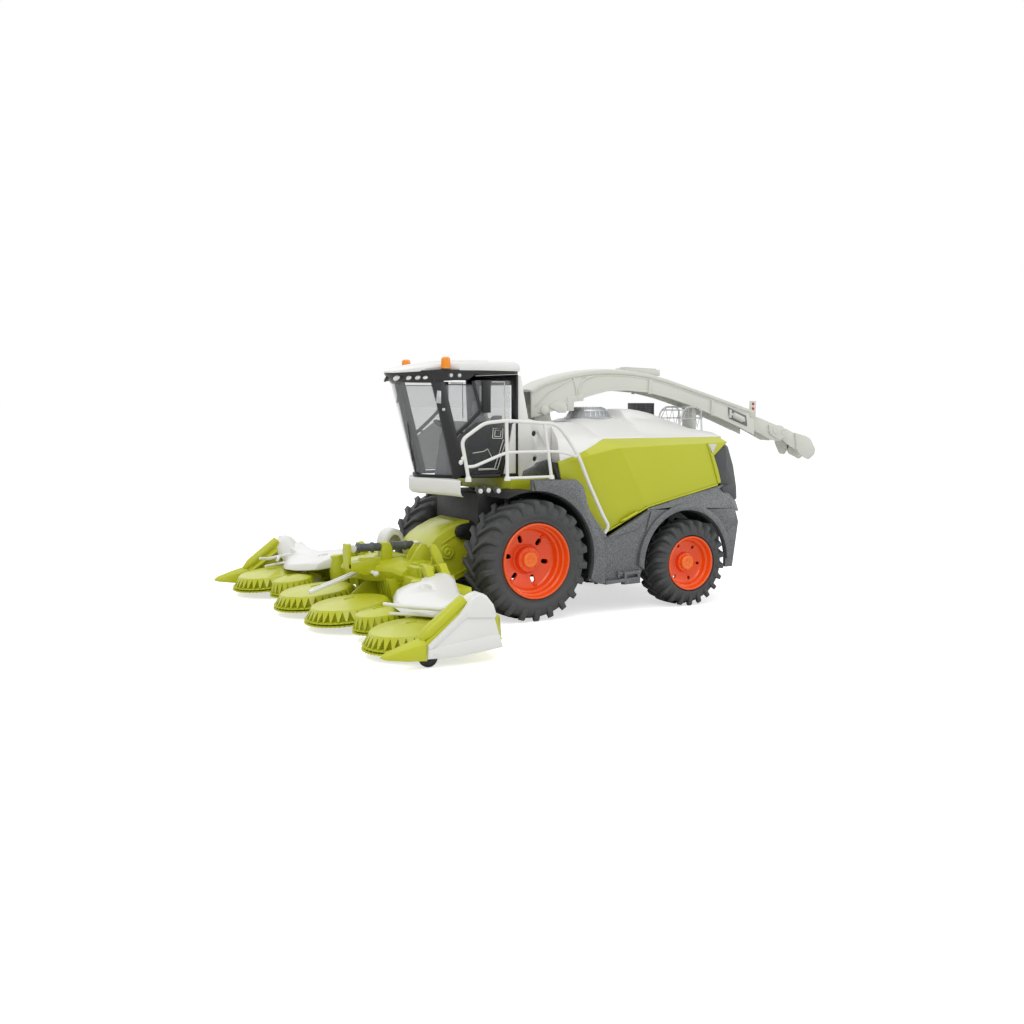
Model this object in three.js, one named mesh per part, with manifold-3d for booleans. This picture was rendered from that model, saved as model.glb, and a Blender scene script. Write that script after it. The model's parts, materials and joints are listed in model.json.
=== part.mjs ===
// Toy forage harvester with a folding rotary maize header, 1:16 size.
// Millimetres, +X forward, +Y to the left, +Z up. Everything is laid out from the front axle
// (x = 0 on its centre line, z = 0 on the ground) and shifted at the end so that the origin is
// the centre of the bottom of the bounding box.
import * as THREE from 'three';
import { mergeVertices } from 'three/addons/utils/BufferGeometryUtils.js';
import Module from 'manifold-3d';

const wasm = await Module();
wasm.setup();

// ---------------------------------------------------------------- driving dimensions
const SEAT = 0.3;                 // gap left between pieces that sit on each other
const RUN = 0.4;                  // radial play of a turning pin or bore
const WHEELBASE = 182.7;
const REAR_AXLE = -WHEELBASE;
const SHIFT_X = 108.65;           // front axle to the middle of the overall length

const FRONT = { r: 58, rimR: 36, wall: 9, inner: 57, outer: 104.5, axleR: 5 };
const REAR = { r: 44.1, rimR: 27.6, wall: 3.5, inner: 64, outer: 101.5, axleR: 4, pinY: 70, pinR: 2.6 };

const BODY = { floor: 34, deck: 104, top: 168, half: 46, upperHalf: 71.4, upperFront: -63, tail: REAR_AXLE - 79.3, nose: 33 };
const PLATFORM = { low: 119.6, top: 134.4, half: 100, front: 66, rear: 2.4 };
const FENDER = { inner: 93, outer: 100, clear: 8 };
const CAB = { half: 46, rear: -11.8, roofLow: 234.2, roofTop: 246, wall: 2.4 };
const HOOD = { rear: REAR_AXLE - 55.3, seamZ: 171, seamY: 75, ridgeY: 24, shelfZ: 193.4 };

const SPOUT = { axis: -64, pivotZ: 199, wall: 1.8, endX: -336 };

const HEADER_TIP = 215.2;        // foremost point of the side dividers
const HEADER = { tilt: 6.5, x: 165, z: 16, foldY: 88.4, foldZ: 47, pinR: 2.4, rearX: 75.6, reach: 241,
  centre: 86.4, plateLow: 8.4, plateTop: 10.8, ramY: 12, ramZ: 69.5, ramR: 2.1,
  beamTop: 48, hoodLeg: [79, 85.5], hoodY: [-72, -48] };
const DIVIDER = { inner: 226.6, outer: 238,
  outline: [[110, 12], [116, 38], [127, 53.4], [137, 56], [149, 48], [179, 21], [HEADER_TIP, 13.6],
    [HEADER_TIP, 11.6], [176, 7.4], [150, 8]],
  cover: [[112, 14], [118, 38], [128, 54.4], [138, 57.4], [148, 50], [166, 33], [150, 16]] };
const FEEDER = { half: 32, bossX: 60, pivotX: 46, pivotZ: 82, pinR: 2.6, rearGap: 2, lug: 4.4 };
const DISC = { big: 43.2, small: 25, innerY: 44.5, smallY: 114.2, outerY: 183.1, axleR: 3, low: 11.4, hubTop: 34 };
const SUPPORT = { r: 8, inner: 227.4, outer: 232.6, x: 173, pinR: 1.6 };

// ---------------------------------------------------------------- solid helpers
/** Turn a closed triangle geometry into a solid, facing outwards whatever way it came in. */
function solid(geometry) {
  const g0 = geometry.clone();
  g0.deleteAttribute('normal');
  if (g0.getAttribute('uv')) g0.deleteAttribute('uv');
  const g = mergeVertices(g0, 1e-4);
  const p = g.getAttribute('position').array;
  const t = g.index.array;
  let volume = 0;
  for (let i = 0; i < t.length; i += 3) {
    const [a, b, c] = [t[i] * 3, t[i + 1] * 3, t[i + 2] * 3];
    volume += p[a] * (p[b + 1] * p[c + 2] - p[b + 2] * p[c + 1])
      + p[a + 1] * (p[b + 2] * p[c] - p[b] * p[c + 2])
      + p[a + 2] * (p[b] * p[c + 1] - p[b + 1] * p[c]);
  }
  const tris = [];
  for (let i = 0; i < t.length; i += 3) {
    if (t[i] === t[i + 1] || t[i + 1] === t[i + 2] || t[i] === t[i + 2]) continue;
    if (volume > 0) tris.push(t[i], t[i + 1], t[i + 2]);
    else tris.push(t[i], t[i + 2], t[i + 1]);
  }
  return new wasm.Manifold(new wasm.Mesh({
    numProp: 3, vertProperties: new Float32Array(p), triVerts: new Uint32Array(tris),
  }));
}

const fuse = (...list) => list.flat().reduce((a, b) => a.add(b));
const cut = (body, ...list) => list.flat().reduce((a, b) => a.subtract(b), body);
/** Range a..b on the left side (s = 1) or its mirror image on the right (s = -1). */
const span = (s, a, b) => (s > 0 ? [a, b] : [-b, -a]);
const mirrored = (m) => m.mirror([0, 1, 0]);

function box(x0, x1, y0, y1, z0, z1) {
  const g = new THREE.BoxGeometry(Math.abs(x1 - x0), Math.abs(y1 - y0), Math.abs(z1 - z0));
  g.translate((x0 + x1) / 2, (y0 + y1) / 2, (z0 + z1) / 2);
  return solid(g);
}

/** Straight prism of a 2-D outline; plane 'xz' runs along y, 'yz' along x, 'xy' along z. */
function prism(plane, outline, from, to, holes = []) {
  const shape = new THREE.Shape(outline.map(([a, b]) => new THREE.Vector2(a, b)));
  for (const h of holes) shape.holes.push(new THREE.Path(h.map(([a, b]) => new THREE.Vector2(a, b))));
  const g = new THREE.ExtrudeGeometry(shape, { depth: to - from, bevelEnabled: false, curveSegments: 8 });
  g.translate(0, 0, from);
  const p = g.getAttribute('position');
  for (let i = 0; i < p.count; i++) {
    const [a, b, c] = [p.getX(i), p.getY(i), p.getZ(i)];
    if (plane === 'xz') p.setXYZ(i, a, c, b);
    else if (plane === 'yz') p.setXYZ(i, c, a, b);
    else p.setXYZ(i, a, b, c);
  }
  return solid(g);
}

/** Round bar between two points. */
function rod(a, b, r, segments = 16) {
  const from = new THREE.Vector3(...a);
  const dir = new THREE.Vector3(...b).sub(from);
  const g = new THREE.CylinderGeometry(r, r, dir.length(), segments);
  g.translate(0, dir.length() / 2, 0);
  g.applyQuaternion(new THREE.Quaternion().setFromUnitVectors(
    new THREE.Vector3(0, 1, 0), dir.clone().normalize()));
  g.translate(from.x, from.y, from.z);
  return solid(g);
}

function ball(c, r, w = 10, h = 8) {
  const g = new THREE.SphereGeometry(r, w, h);
  g.translate(...c);
  return solid(g);
}

/** Bent tube: bars with a ball in every bend. */
function tube(points, r, segments = 6) {
  const parts = [];
  points.forEach((p, i) => {
    if (i > 0) parts.push(rod(points[i - 1], p, r, segments));
    if (i > 0 && i < points.length - 1) parts.push(ball(p, r, segments, 4));
  });
  return fuse(parts);
}

/** Turned solid about a line along 'y' or 'z' through c; profile of [radius, height]. */
function turned(profile, c, axis = 'y', segments = 40) {
  const closed = [...profile];
  const [first, last] = [profile[0], profile[profile.length - 1]];
  if (first[0] !== 0 || last[0] !== 0) closed.push(first);
  const g = new THREE.LatheGeometry(closed.map(([r, h]) => new THREE.Vector2(r, h)), segments);
  if (axis === 'z') g.rotateX(Math.PI / 2);
  if (axis === 'x') g.rotateZ(-Math.PI / 2);
  g.translate(...c);
  return solid(g);
}

/** Skin through matching closed sections of [x, y, z] points. */
function loft(sections) {
  const n = sections[0].length;
  const pos = sections.flat(2);
  const idx = [];
  for (let s = 0; s + 1 < sections.length; s++) {
    for (let i = 0; i < n; i++) {
      const [a, b] = [s * n + i, s * n + (i + 1) % n];
      idx.push(a, b, b + n, a, b + n, a + n);
    }
  }
  const cap = (section, base, flip) => {
    const v = section.map((p) => new THREE.Vector3(...p));
    const normal = new THREE.Vector3();
    v.forEach((p, i) => {
      const q = v[(i + 1) % n];
      normal.add(new THREE.Vector3().crossVectors(p, q));
    });
    normal.normalize();
    const u = new THREE.Vector3().subVectors(v[1], v[0]).normalize();
    const w = new THREE.Vector3().crossVectors(normal, u);
    const flat = v.map((p) => new THREE.Vector2(p.dot(u), p.dot(w)));
    for (const [a, b, c] of THREE.ShapeUtils.triangulateShape(flat, [])) {
      if (flip) idx.push(base + a, base + c, base + b);
      else idx.push(base + a, base + b, base + c);
    }
  };
  cap(sections[0], 0, true);
  cap(sections[sections.length - 1], (sections.length - 1) * n, false);
  const g = new THREE.BufferGeometry();
  g.setAttribute('position', new THREE.BufferAttribute(new Float32Array(pos), 3));
  g.setIndex(idx);
  return solid(g);
}

/** Points of an arc in a plane, from angle a to angle b in degrees. */
function arc(cx, cz, r, a, b, steps, rz = r) {
  return Array.from({ length: steps + 1 }, (_, i) => {
    const t = (a + (b - a) * i / steps) * Math.PI / 180;
    return [cx + r * Math.cos(t), cz + rz * Math.sin(t)];
  });
}

/** Move every vertex of a solid by a function of its place. */
const bent = (m, fn) => m.warp((v) => { const [x, y, z] = fn(v[0], v[1], v[2]); v[0] = x; v[1] = y; v[2] = z; });

// ---------------------------------------------------------------- finishes
const FINISH = {
  lime: { color: 0xbfcb2e, roughness: 0.42, metalness: 0 },
  white: { color: 0xeeeeec, roughness: 0.4, metalness: 0 },
  grey: { color: 0x6e7274, roughness: 0.38, metalness: 0.5 },
  dark: { color: 0x393b3d, roughness: 0.55, metalness: 0 },
  black: { color: 0x17181a, roughness: 0.4, metalness: 0 },
  tyre: { color: 0x3c3d3e, roughness: 0.75, metalness: 0 },
  rim: { color: 0xe8431a, roughness: 0.4, metalness: 0 },
  glass: { color: 0xb9c2c4, roughness: 0.1, metalness: 0 },
  spout: { color: 0xd9dcd0, roughness: 0.45, metalness: 0 },
  silver: { color: 0xb6b9bb, roughness: 0.3, metalness: 0.7 },
  amber: { color: 0xff9612, roughness: 0.25, metalness: 0 },
};

const group = new THREE.Group();
group.name = 'toy_forage_harvester';

function node(name, finish, manifold) {
  const mesh = manifold.translate([SHIFT_X, 0, 0]).getMesh();
  const g0 = new THREE.BufferGeometry();
  const p = new Float32Array(mesh.numVert * 3);
  for (let i = 0; i < mesh.numVert; i++) {
    for (let k = 0; k < 3; k++) p[i * 3 + k] = mesh.vertProperties[i * mesh.numProp + k];
  }
  g0.setAttribute('position', new THREE.BufferAttribute(p, 3));
  g0.setIndex(Array.from(mesh.triVerts));
  const flat = g0.toNonIndexed();
  flat.computeVertexNormals();
  const item = new THREE.Mesh(flat, new THREE.MeshStandardMaterial({ name: finish, ...FINISH[finish] }));
  item.name = name;
  group.add(item);
}

// left-hand solid as <name>_L and its mirror image as <name>_R
function pair(name, finish, manifold) {
  node(`${name}_L`, finish, manifold);
  node(`${name}_R`, finish, mirrored(manifold));
}

// ---------------------------------------------------------------- chassis
{
  const upper = [[BODY.tail + 24, BODY.deck], [BODY.tail + 24, BODY.top], [-96, BODY.top],
    [BODY.upperFront, 157.5], [BODY.upperFront, BODY.deck]];
  const kingpin = (s) => {
    const y = s * REAR.pinY;
    const [a, b] = span(s, 60, 76);
    const x = -WHEELBASE;
    return fuse(
      box(x - 6, x + 6, a, b, REAR.r - 15, REAR.r - 11.2),
      box(x - 6, x + 6, a, b, REAR.r + 11.2, REAR.r + 15),
      box(x - 6, x + 6, ...span(s, 57, 61), REAR.r - 15, REAR.r + 15),
      rod([x, y, REAR.r - 15], [x, y, REAR.r + 15], REAR.pinR, 16));
  };
  const chassis = fuse(
    prism('xz', [[BODY.tail, 52], [BODY.tail, BODY.deck], [-62, BODY.deck], [-62, 118], [BODY.nose, 119.2],
      [BODY.nose, 40], [14, BODY.floor], [BODY.tail + 24, BODY.floor]], -BODY.half, BODY.half),
    prism('xz', upper, -BODY.upperHalf, BODY.upperHalf),
    rod([0, -94, FRONT.r], [0, 94, FRONT.r], FRONT.axleR, 20),
    box(-WHEELBASE - 6, -WHEELBASE + 6, -58, 58, REAR.r - 7, REAR.r + 7),
    kingpin(1), kingpin(-1),
    // two lugs and a cross pin carry the feeder housing
    ...[1, -1].map((s) => prism('xz', [[BODY.nose - 1, FEEDER.pivotZ - 9], [FEEDER.pivotX, FEEDER.pivotZ - 7],
      [FEEDER.pivotX + 6, FEEDER.pivotZ], [FEEDER.pivotX, FEEDER.pivotZ + 7], [BODY.nose - 1, FEEDER.pivotZ + 9]],
    ...span(s, FEEDER.half + RUN, FEEDER.half + FEEDER.lug))),
    rod([FEEDER.pivotX, -FEEDER.half - 2, FEEDER.pivotZ], [FEEDER.pivotX, FEEDER.half + 2, FEEDER.pivotZ], FEEDER.pinR, 16),
    // towing hitch behind the tail
    cut(box(BODY.tail - 22.5, BODY.tail + 1, -13, 13, 38, 54), box(BODY.tail - 28, BODY.tail - 10, -20, 20, 43.5, 48.5)));
  node('chassis', 'dark', chassis);
}

// ---------------------------------------------------------------- wheels
function tyreProfile(W, rimR) {
  const [a, b] = [W.inner, W.outer];
  const w = b - a;
  return [[rimR + SEAT, a + 5], [rimR + W.wall, a], [W.r - 4, a + 2.5], [W.r - 0.6, a + 8], [W.r, a + w / 2],
    [W.r - 0.6, b - 8], [W.r - 4, b - 2.5], [rimR + W.wall, b], [rimR + SEAT, b - 1.5]];
}

function rimProfile(W, web) {
  const o = W.outer - 0.8;
  return [[0, o - 5], [W.rimR * 0.16, o - 5.5], [W.rimR * 0.25, o - 9], [W.rimR * 0.55, o - 12],
    [W.rimR * 0.86, o - 9], [W.rimR * 0.93, o - 1.2], [W.rimR, o], [W.rimR, W.inner + 4],
    [W.rimR - 3.4, W.inner + 4], [W.rimR - 4, web - 2], [W.rimR * 0.55, web], [W.axleR + 4.5, web],
    [W.axleR + 4.5, web - 6], [W.axleR + RUN, web - 6], [W.axleR + RUN, o - 9.4], [0, o - 9.4]];
}

for (const [tag, W, x, web] of [['front', FRONT, 0, 88], ['rear', REAR, -WHEELBASE, 86]]) {
  const tyre = turned(tyreProfile(W, W.rimR), [x, 0, W.r], 'y', 36);
  const rim = turned(rimProfile(W, web), [x, 0, W.r], 'y', 24);
  pair(`tyre_${tag}`, 'tyre', tyre);
  pair(`rim_${tag}`, 'rim', rim);
}

{
  // steering knuckle: block round the kingpin with the stub axle of the rear wheel
  const x = -WHEELBASE;
  const pinHole = rod([x, REAR.pinY, 20], [x, REAR.pinY, 70], REAR.pinR + RUN, 20);
  const block = box(x - 6, x + 6, REAR.pinY - 6, REAR.pinY + 6, REAR.r - 10.8, REAR.r + 10.8);
  const stub = rod([x, REAR.pinY + 3.4, REAR.r], [x, REAR.outer - 11, REAR.r], REAR.axleR, 16);
  pair('steering_knuckle', 'dark', cut(fuse(block, stub), pinHole));
}

// ---------------------------------------------------------------- metallic lower side
{
  const frontArch = arc(0, FRONT.r, FRONT.r + FENDER.clear, 90, 201, 12);
  const rearArch = arc(-WHEELBASE + 5.2, REAR.r, 52, -4, 184, 14, 54.4);
  const outline = [[PLATFORM.rear - 0.4, 2 * FRONT.r + FENDER.clear], [PLATFORM.rear - 0.4, PLATFORM.top],
    [-46.9, 133.4], [-53, 127], [-58.5, 108], [-83.5, 75.4], [REAR_AXLE + 48.5, 101], [REAR_AXLE - 57.5, 98],
    [REAR_AXLE - 63.1, 83], [REAR_AXLE - 55.9, 37], [REAR_AXLE - 46.7, 37], ...rearArch.reverse().filter(([, z]) => z > 41),
    [REAR_AXLE + 57.9, 41], [REAR_AXLE + 62.5, 31.3], [-79.8, 29.3], [-70, 31.7], ...frontArch.reverse().filter(([, z]) => z > 34)];
  const plate = prism('xz', outline, FENDER.inner, FENDER.outer);
  // storage block between the wheels joins the side to the chassis
  const join = FENDER.inner + 0.5;
  const block = box(REAR_AXLE + 63.7, -82, BODY.half + SEAT, join, 38, 72);
  const shelf = prism('xz', [[REAR_AXLE + 48.7, 97], [REAR_AXLE + 48.7, 101], [REAR_AXLE - 57.3, 98], [REAR_AXLE - 57.3, 94.5],
    [REAR_AXLE - 45.3, 94.8]], 62, join);
  const rail = prism('xz', [[-40, 128], [-40, PLATFORM.top - 0.9], [PLATFORM.rear - 0.4, PLATFORM.top],
    [PLATFORM.rear - 0.4, 128]], 64, join);
  pair('side_fender', 'grey', fuse(plate, block, shelf, rail));
}

// ---------------------------------------------------------------- hood
{
  const outline = [[-31, 150.5], [-92.8, 170.9], [REAR_AXLE - 53.8, 170.9], [REAR_AXLE - 45.3, 123.8],
    [REAR_AXLE + 22.7, 109], [REAR_AXLE + 48.7, 103.4], [-82.8, 78]];
  const lean = (z) => (z > 160 ? HOOD.seamY + (171 - z) * 1.35 : 89.9 + (160 - z) * 0.03);
  let panel = prism('xz', outline, 0, 3.1);
  panel = panel.refineToLength(30);
  panel = bent(panel, (x, y, z) => [x, lean(z) - 3.1 + y, z]);
  pair('hood_side_panel', 'lime', panel);

  const ridge = [[-90, 187], [-100, HOOD.shelfZ], [-145, HOOD.shelfZ], [-146.5, 199.6], [REAR_AXLE + 20.7, 200],
    [REAR_AXLE - 1.3, 196], [REAR_AXLE - 23.3, 188], [HOOD.rear, 178]];
  const sections = ridge.map(([x, zt]) => {
    const half = [[HOOD.ridgeY, zt], [44, (zt + 174.6) / 2 + 1.6], [60, 174.8], [74.6, HOOD.seamZ + 0.4],
      [BODY.upperHalf, HOOD.seamZ + 0.2], [BODY.upperHalf, BODY.top + SEAT]];
    const right = half.map(([y, z]) => [x, -y, z]).reverse();
    return [...half.map(([y, z]) => [x, y, z]), ...right];
  });
  node('engine_hood', 'white', loft(sections));
  const domeBase = HOOD.shelfZ + SEAT;
  node('air_intake_dome', 'silver', turned([[0, 202.4], [13, 202], [16.8, 199.8], [18.6, domeBase + 1.4],
    [18.6, domeBase], [0, domeBase]], [-124, 0, 0], 'z', 24));
  const under = 0.5;
  node('exhaust_box', 'dark', prism('xz', [[REAR_AXLE + 5.2, 206], [REAR_AXLE + 5.2, 197.5 + under], [REAR_AXLE - 1.3, 196 + under],
    [REAR_AXLE - 20.3, 189.1 + under], [REAR_AXLE - 20.3, 206]], -12, 12));
}

// rear cooler grille, closing the tail between the panels
node('rear_grille', 'dark', prism('xz', [[HOOD.rear - 1, 112], [HOOD.rear - 0.6, 170], [HOOD.rear - 18.7, 164.8],
  [HOOD.rear - 27.8, 118.6], [HOOD.rear - 30.8, 104.6], [HOOD.rear - 8, 104.6]], -70, 70));

// ---------------------------------------------------------------- cab
{
  const halfPlan = [[2.6, PLATFORM.half], [PLATFORM.front - 6, PLATFORM.half], [PLATFORM.front, PLATFORM.half - 8],
    [70, 60], [76, 36], [82, 16], [84.4, 0]];
  const farSide = [[80.5, -12], [75, -24], [68.5, -36], [61, -45], [50, -CAB.half - 6], [2.6, -CAB.half - 6]];
  const plan = [...halfPlan, ...farSide];
  const base = prism('xy', plan, PLATFORM.low, PLATFORM.top);
  const tongue = box(-58, 3, -58, 58, PLATFORM.low, PLATFORM.top);
  node('cab_platform', 'lime', fuse(base, tongue));

  // frame: rear wall, corner posts and slanted front posts, one moulding
  const t = CAB.wall;
  const floor = PLATFORM.top + SEAT;
  const post = (s) => fuse(
    loft([[[46.2, 0, 0], [54.2, 0, 0], [54.2, 4, 0], [46.2, 4, 0]].map(([x, y]) => [x, s * (CAB.half - 4 + y), floor]),
      [[71.2, 0, 0], [80.2, 0, 0], [80.2, 4, 0], [71.2, 4, 0]].map(([x, y]) => [x, s * (CAB.half - 4 + y), CAB.roofLow])]),
    box(CAB.rear, CAB.rear + 7.4, ...span(s, CAB.half - 4, CAB.half), floor, CAB.roofLow),
    box(CAB.rear, 52.2, ...span(s, CAB.half - 4, CAB.half), floor, floor + 3),
    prism('xz', [[CAB.rear, CAB.roofLow - 5], [CAB.rear, CAB.roofLow], [80, CAB.roofLow], [78.8, CAB.roofLow - 5]],
      ...span(s, CAB.half - 4, CAB.half)));
  const wall = box(CAB.rear, CAB.rear + t, -CAB.half, CAB.half, floor, CAB.roofLow);
  node('cab_frame', 'black', cut(fuse(post(1), post(-1), wall), box(CAB.rear - 4, CAB.rear + 5, 16 - CAB.half, CAB.half - 16, 178, 222)));

  const roofHalf = (g, z) => [[-14.8 + g, -2 - g], [-7.8 + g, 4 - g], [52.2, 5 - g], [60.2 - g, -5.6 - g],
    [76.2 - g, -9 - g], [94 - g, -20 - g], [107 - g, 14 - CAB.half]].map(([x, y]) => [x, CAB.half + y, z]);
  const ring = (g, z) => { const h = roofHalf(g, z); return [...h, ...h.map(([x, y]) => [x, -y, z]).reverse()]; };
  node('cab_roof', 'white', loft([ring(0, CAB.roofLow + 4.2), ring(0, CAB.roofLow + 7.2), ring(3, 243.6), ring(8, CAB.roofTop)]));
  const visorHalf = (g) => [[-12.8 + g, -3 - g], [-5.8 + g, 2.5 - g], [58.2, 3.5 - g], [75.2 - g, -g], [98 - g, -18 - g],
    [112 - g, 14 - CAB.half]].map(([x, y]) => [x, CAB.half + y]);
  const visorPlan = (g) => [...visorHalf(g), ...visorHalf(g).map(([x, y]) => [x, -y]).reverse()];
  node('cab_visor', 'black', prism('xy', visorPlan(0), CAB.roofLow + SEAT, CAB.roofLow + 3.9));

  // windscreen: thin curved pane between the front posts
  const pane = (z) => {
    const k = (z - floor) / (CAB.roofLow - floor);
    const x0 = 52.7 + 26 * k;
    const bow = 25;
    const h = CAB.half - 4.4;
    const out = [];
    for (let i = 0; i <= 8; i++) { const y = h - h / 4 * i; out.push([x0 + bow * (1 - (y / h) ** 2), y, z]); }
    for (let i = 8; i >= 0; i--) { const y = h - h / 4 * i; out.push([x0 - 1.6 + bow * (1 - (y / h) ** 2), y, z]); }
    return out;
  };
  node('windscreen', 'glass', loft([pane(floor), pane(floor + 50), pane(CAB.roofLow)]));

  // doors, hinged on the rear posts
  const door = prism('xz', [[-3.6, floor + 3.6], [-3.6, CAB.roofLow - 5.6], [69.4, CAB.roofLow - 5.6], [46.6, floor + 3.6]],
    CAB.half - 2.8, CAB.half - 0.4);
  pair('cab_door', 'glass', door);

  node('cab_seat', 'dark', fuse(box(6, 44, -18, 18, floor, floor + 18), box(4, 13, -15, 15, floor + 17, floor + 60),
    box(5, 12, -9, 9, floor + 59, floor + 74)));
  node('steering_console', 'dark', fuse(prism('xz', [[52, floor], [62, floor], [56, floor + 34], [51, floor + 34]], -5, 5),
    turned([[0, -1], [14, -1], [14, 1.4], [0, 1.4]], [53, 0, floor + 35], 'z', 20)));
}
for (const [s, tag] of [[1, 'L'], [-1, 'R']]) {
  const z0 = CAB.roofLow + 3.9 + SEAT;
  node(`beacon_${tag}`, 'amber', turned([[0, z0], [4.2, z0], [4.3, 246], [3.2, 249.3], [0, 250]],
    [66.6, s * (CAB.half - 0.5), 0], 'z', 16));
}

// white panels behind the cab doors and the step rails beside the platform
{
  const panel = prism('xz', [[-12.8, PLATFORM.top + SEAT], [-12.8, 200], [-37.8, 196], [-55, 188], [-57.6, 152],
    [-57.6, PLATFORM.top + SEAT]], CAB.half - 10, CAB.half - 2.4,
  [arc(-31.8, 176, 4.2, 0, 342, 19), arc(-32.8, 152, 4.2, 0, 342, 19)]);
  pair('cab_rear_panel', 'white', panel);
  const y = 96;
  const r = 1.7;
  const z0 = PLATFORM.top + SEAT;
  const rail = fuse(
    tube([[66, y - 4, z0], [73.5, y - 4, 173], [52, y, 188.4], [29, y, 190], [-26, y, 186.4], [-50.5, y, 155],
      [-62, y, 129], [-77, y + 1.8, 98], [-84, y + 1.8, 87]], r),
    tube([[28, y, z0], [29, y, 190]], r), tube([[-20, y, z0], [-12, y, 187.3]], r),
    tube([[68.4, y - 4, 148], [29, y, 160.6], [-16.5, y, 160.6], [-46, y, 160.8]], r * 0.8),
    tube([[30, y, z0 + 2.2], [-22, y, z0 + 2.2]], r * 0.9));
  node('side_railing', 'white', rail);
}

// ---------------------------------------------------------------- discharge spout
{
  const { axis, pivotZ } = SPOUT;
  const z0 = PLATFORM.top + SEAT;
  // fixed turret stands on the platform tongue, the ring turns on its spigot
  const bed = prism('xz', [[BODY.upperFront + SEAT, z0 - 9], [BODY.upperFront + SEAT, 157.5 + SEAT],
    [-96, BODY.top + SEAT], [-120, BODY.top + SEAT], [-120, z0 - 9]], -40, 40);
  node('spout_turret', 'dark', fuse(cut(box(axis - 20, axis + 20, -22, 22, z0, 172), bed),
    turned([[0, 171], [21, 171], [21, 178], [12, 178], [12, 187], [0, 187]], [axis, 0, 0], 'z', 28)));
  node('spout_ring', 'spout', cut(fuse(
    turned([[0, 178.4], [19, 178.4], [19, 183.6], [16, 188.6], [0, 188.6]], [axis, 0, 0], 'z', 32),
    ...[1, -1].map((s) => box(axis - 5, axis + 14, ...span(s, 8, 11), 186, 205))),
  turned([[0, 170], [12 + RUN, 170], [12 + RUN, 187 + RUN], [0, 187 + RUN]], [axis, 0, 0], 'z', 32),
  rod([axis + 5, -20, pivotZ], [axis + 5, 20, pivotZ], 2.4 + RUN, 16)));
}
{
  const x0 = SPOUT.axis;
  const line = [[x0 + 19.8, 219.4, 191.5, 15], [x0 + 8, 227.2, 194, 15.4], [-71, 231, 198.6, 15.6], [-87.1, 235.3, 204.8, 15.6], [-112, 239, 213.5, 15.4],
    [-136.5, 241.4, 219, 15], [-188, 238, 217.4, 14.6], [-241.6, 224.6, 204.4, 14], [-297.6, 209, 185.4, 13.4],
    [SPOUT.endX, 198.6, 170.6, 13]];
  const U = (x, zt, zb, h, t) => [[x, h, zb], [x, h, zt - 3], [x, h - 3, zt], [x, -h + 3, zt], [x, -h, zt - 3], [x, -h, zb],
    [x, -h + t, zb], [x, -h + t, zt - 3 - t * 0.4], [x, -h + 3 + t * 0.4, zt - t], [x, h - 3 - t * 0.4, zt - t], [x, h - t, zt - 3 - t * 0.4], [x, h - t, zb]];
  const arm = loft(line.map(([x, zt, zb, h]) => U(x, zt, zb, h, SPOUT.wall)));
  const bridge = rod([x0 + 5, -15, SPOUT.pivotZ], [x0 + 5, 15, SPOUT.pivotZ], 2.4, 16);
  const boxTop = prism('xz', [[-158, 237], [-160, 244.5], [-206, 238], [-207, 230]], -9, 9);

  const holes = rod([SPOUT.endX + 5, -20, 190], [SPOUT.endX + 5, 20, 190], 2 + RUN, 16);
  node('spout_arm', 'spout', cut(fuse(arm, bridge, boxTop), holes));
  // two deflector flaps, each narrower than the piece it is pinned to
  const flap = (px, pz, qx, qz, h, t, tail, hole) => {
    // px,pz is the pivot; the trough runs from just behind it to qx,qz
    const dx = qx - px, dz = qz - pz, len = Math.hypot(dx, dz);
    const at = (s, n) => [px + dx * s / len + dz * n / len, pz + dz * s / len - dx * n / len];
    const sec = (s, top, low) => {
      const [x, zt] = at(s, top);
      const [xb, zb] = at(s, -low);
      return [[xb, h, zb], [x, h, zt], [x, -h, zt], [xb, -h, zb], [xb, -h + t, zb], at(s, top - t).toSpliced(1, 0, -h + t),
        at(s, top - t).toSpliced(1, 0, h - t), [xb, h - t, zb]];
    };
    const trough = loft([sec(3.6, 4.4, 14), sec(tail * 0.5, 4.6, 14), sec(tail, 4.4, 13)]);
    const ears = [1, -1].map((s) => fuse(
      rod([px, s * (h - t), pz], [px, s * h, pz], 4, 14),
      rod([px, s * (h - t), pz], [px, s * (h + 0.6 + 1.6), pz], 2, 14)));
    const link = [1, -1].map((s) => {
      const [a, b, c, d] = [at(0, 4), at(5, 4), at(5, -4), at(0, -4)];
      return prism('xz', [a, b, c, d], ...span(s, h - t, h));
    });
    const body = fuse(trough, ...ears, ...link);
    return hole ? cut(body, rod([hole[0], -20, hole[1]], [hole[0], 20, hole[1]], 2 + RUN, 16)) : body;
  };
  const p1 = [SPOUT.endX + 5, 190];
  const clearTop = (p, h) => rod([p[0], -h, p[1]], [p[0], h, p[1]], 5.4, 16);
  const p2 = [-379, 174];
  const tip = [-430.5, 151];
  node('spout_flap_upper', 'spout', cut(flap(...p1, ...p2, 10.6, 1.6, 54.4, p2), clearTop(p2, 8.99)));
  node('spout_flap_lower', 'spout', flap(...p2, ...tip, 8.4, 1.6, 56.65, null));
}

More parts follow.
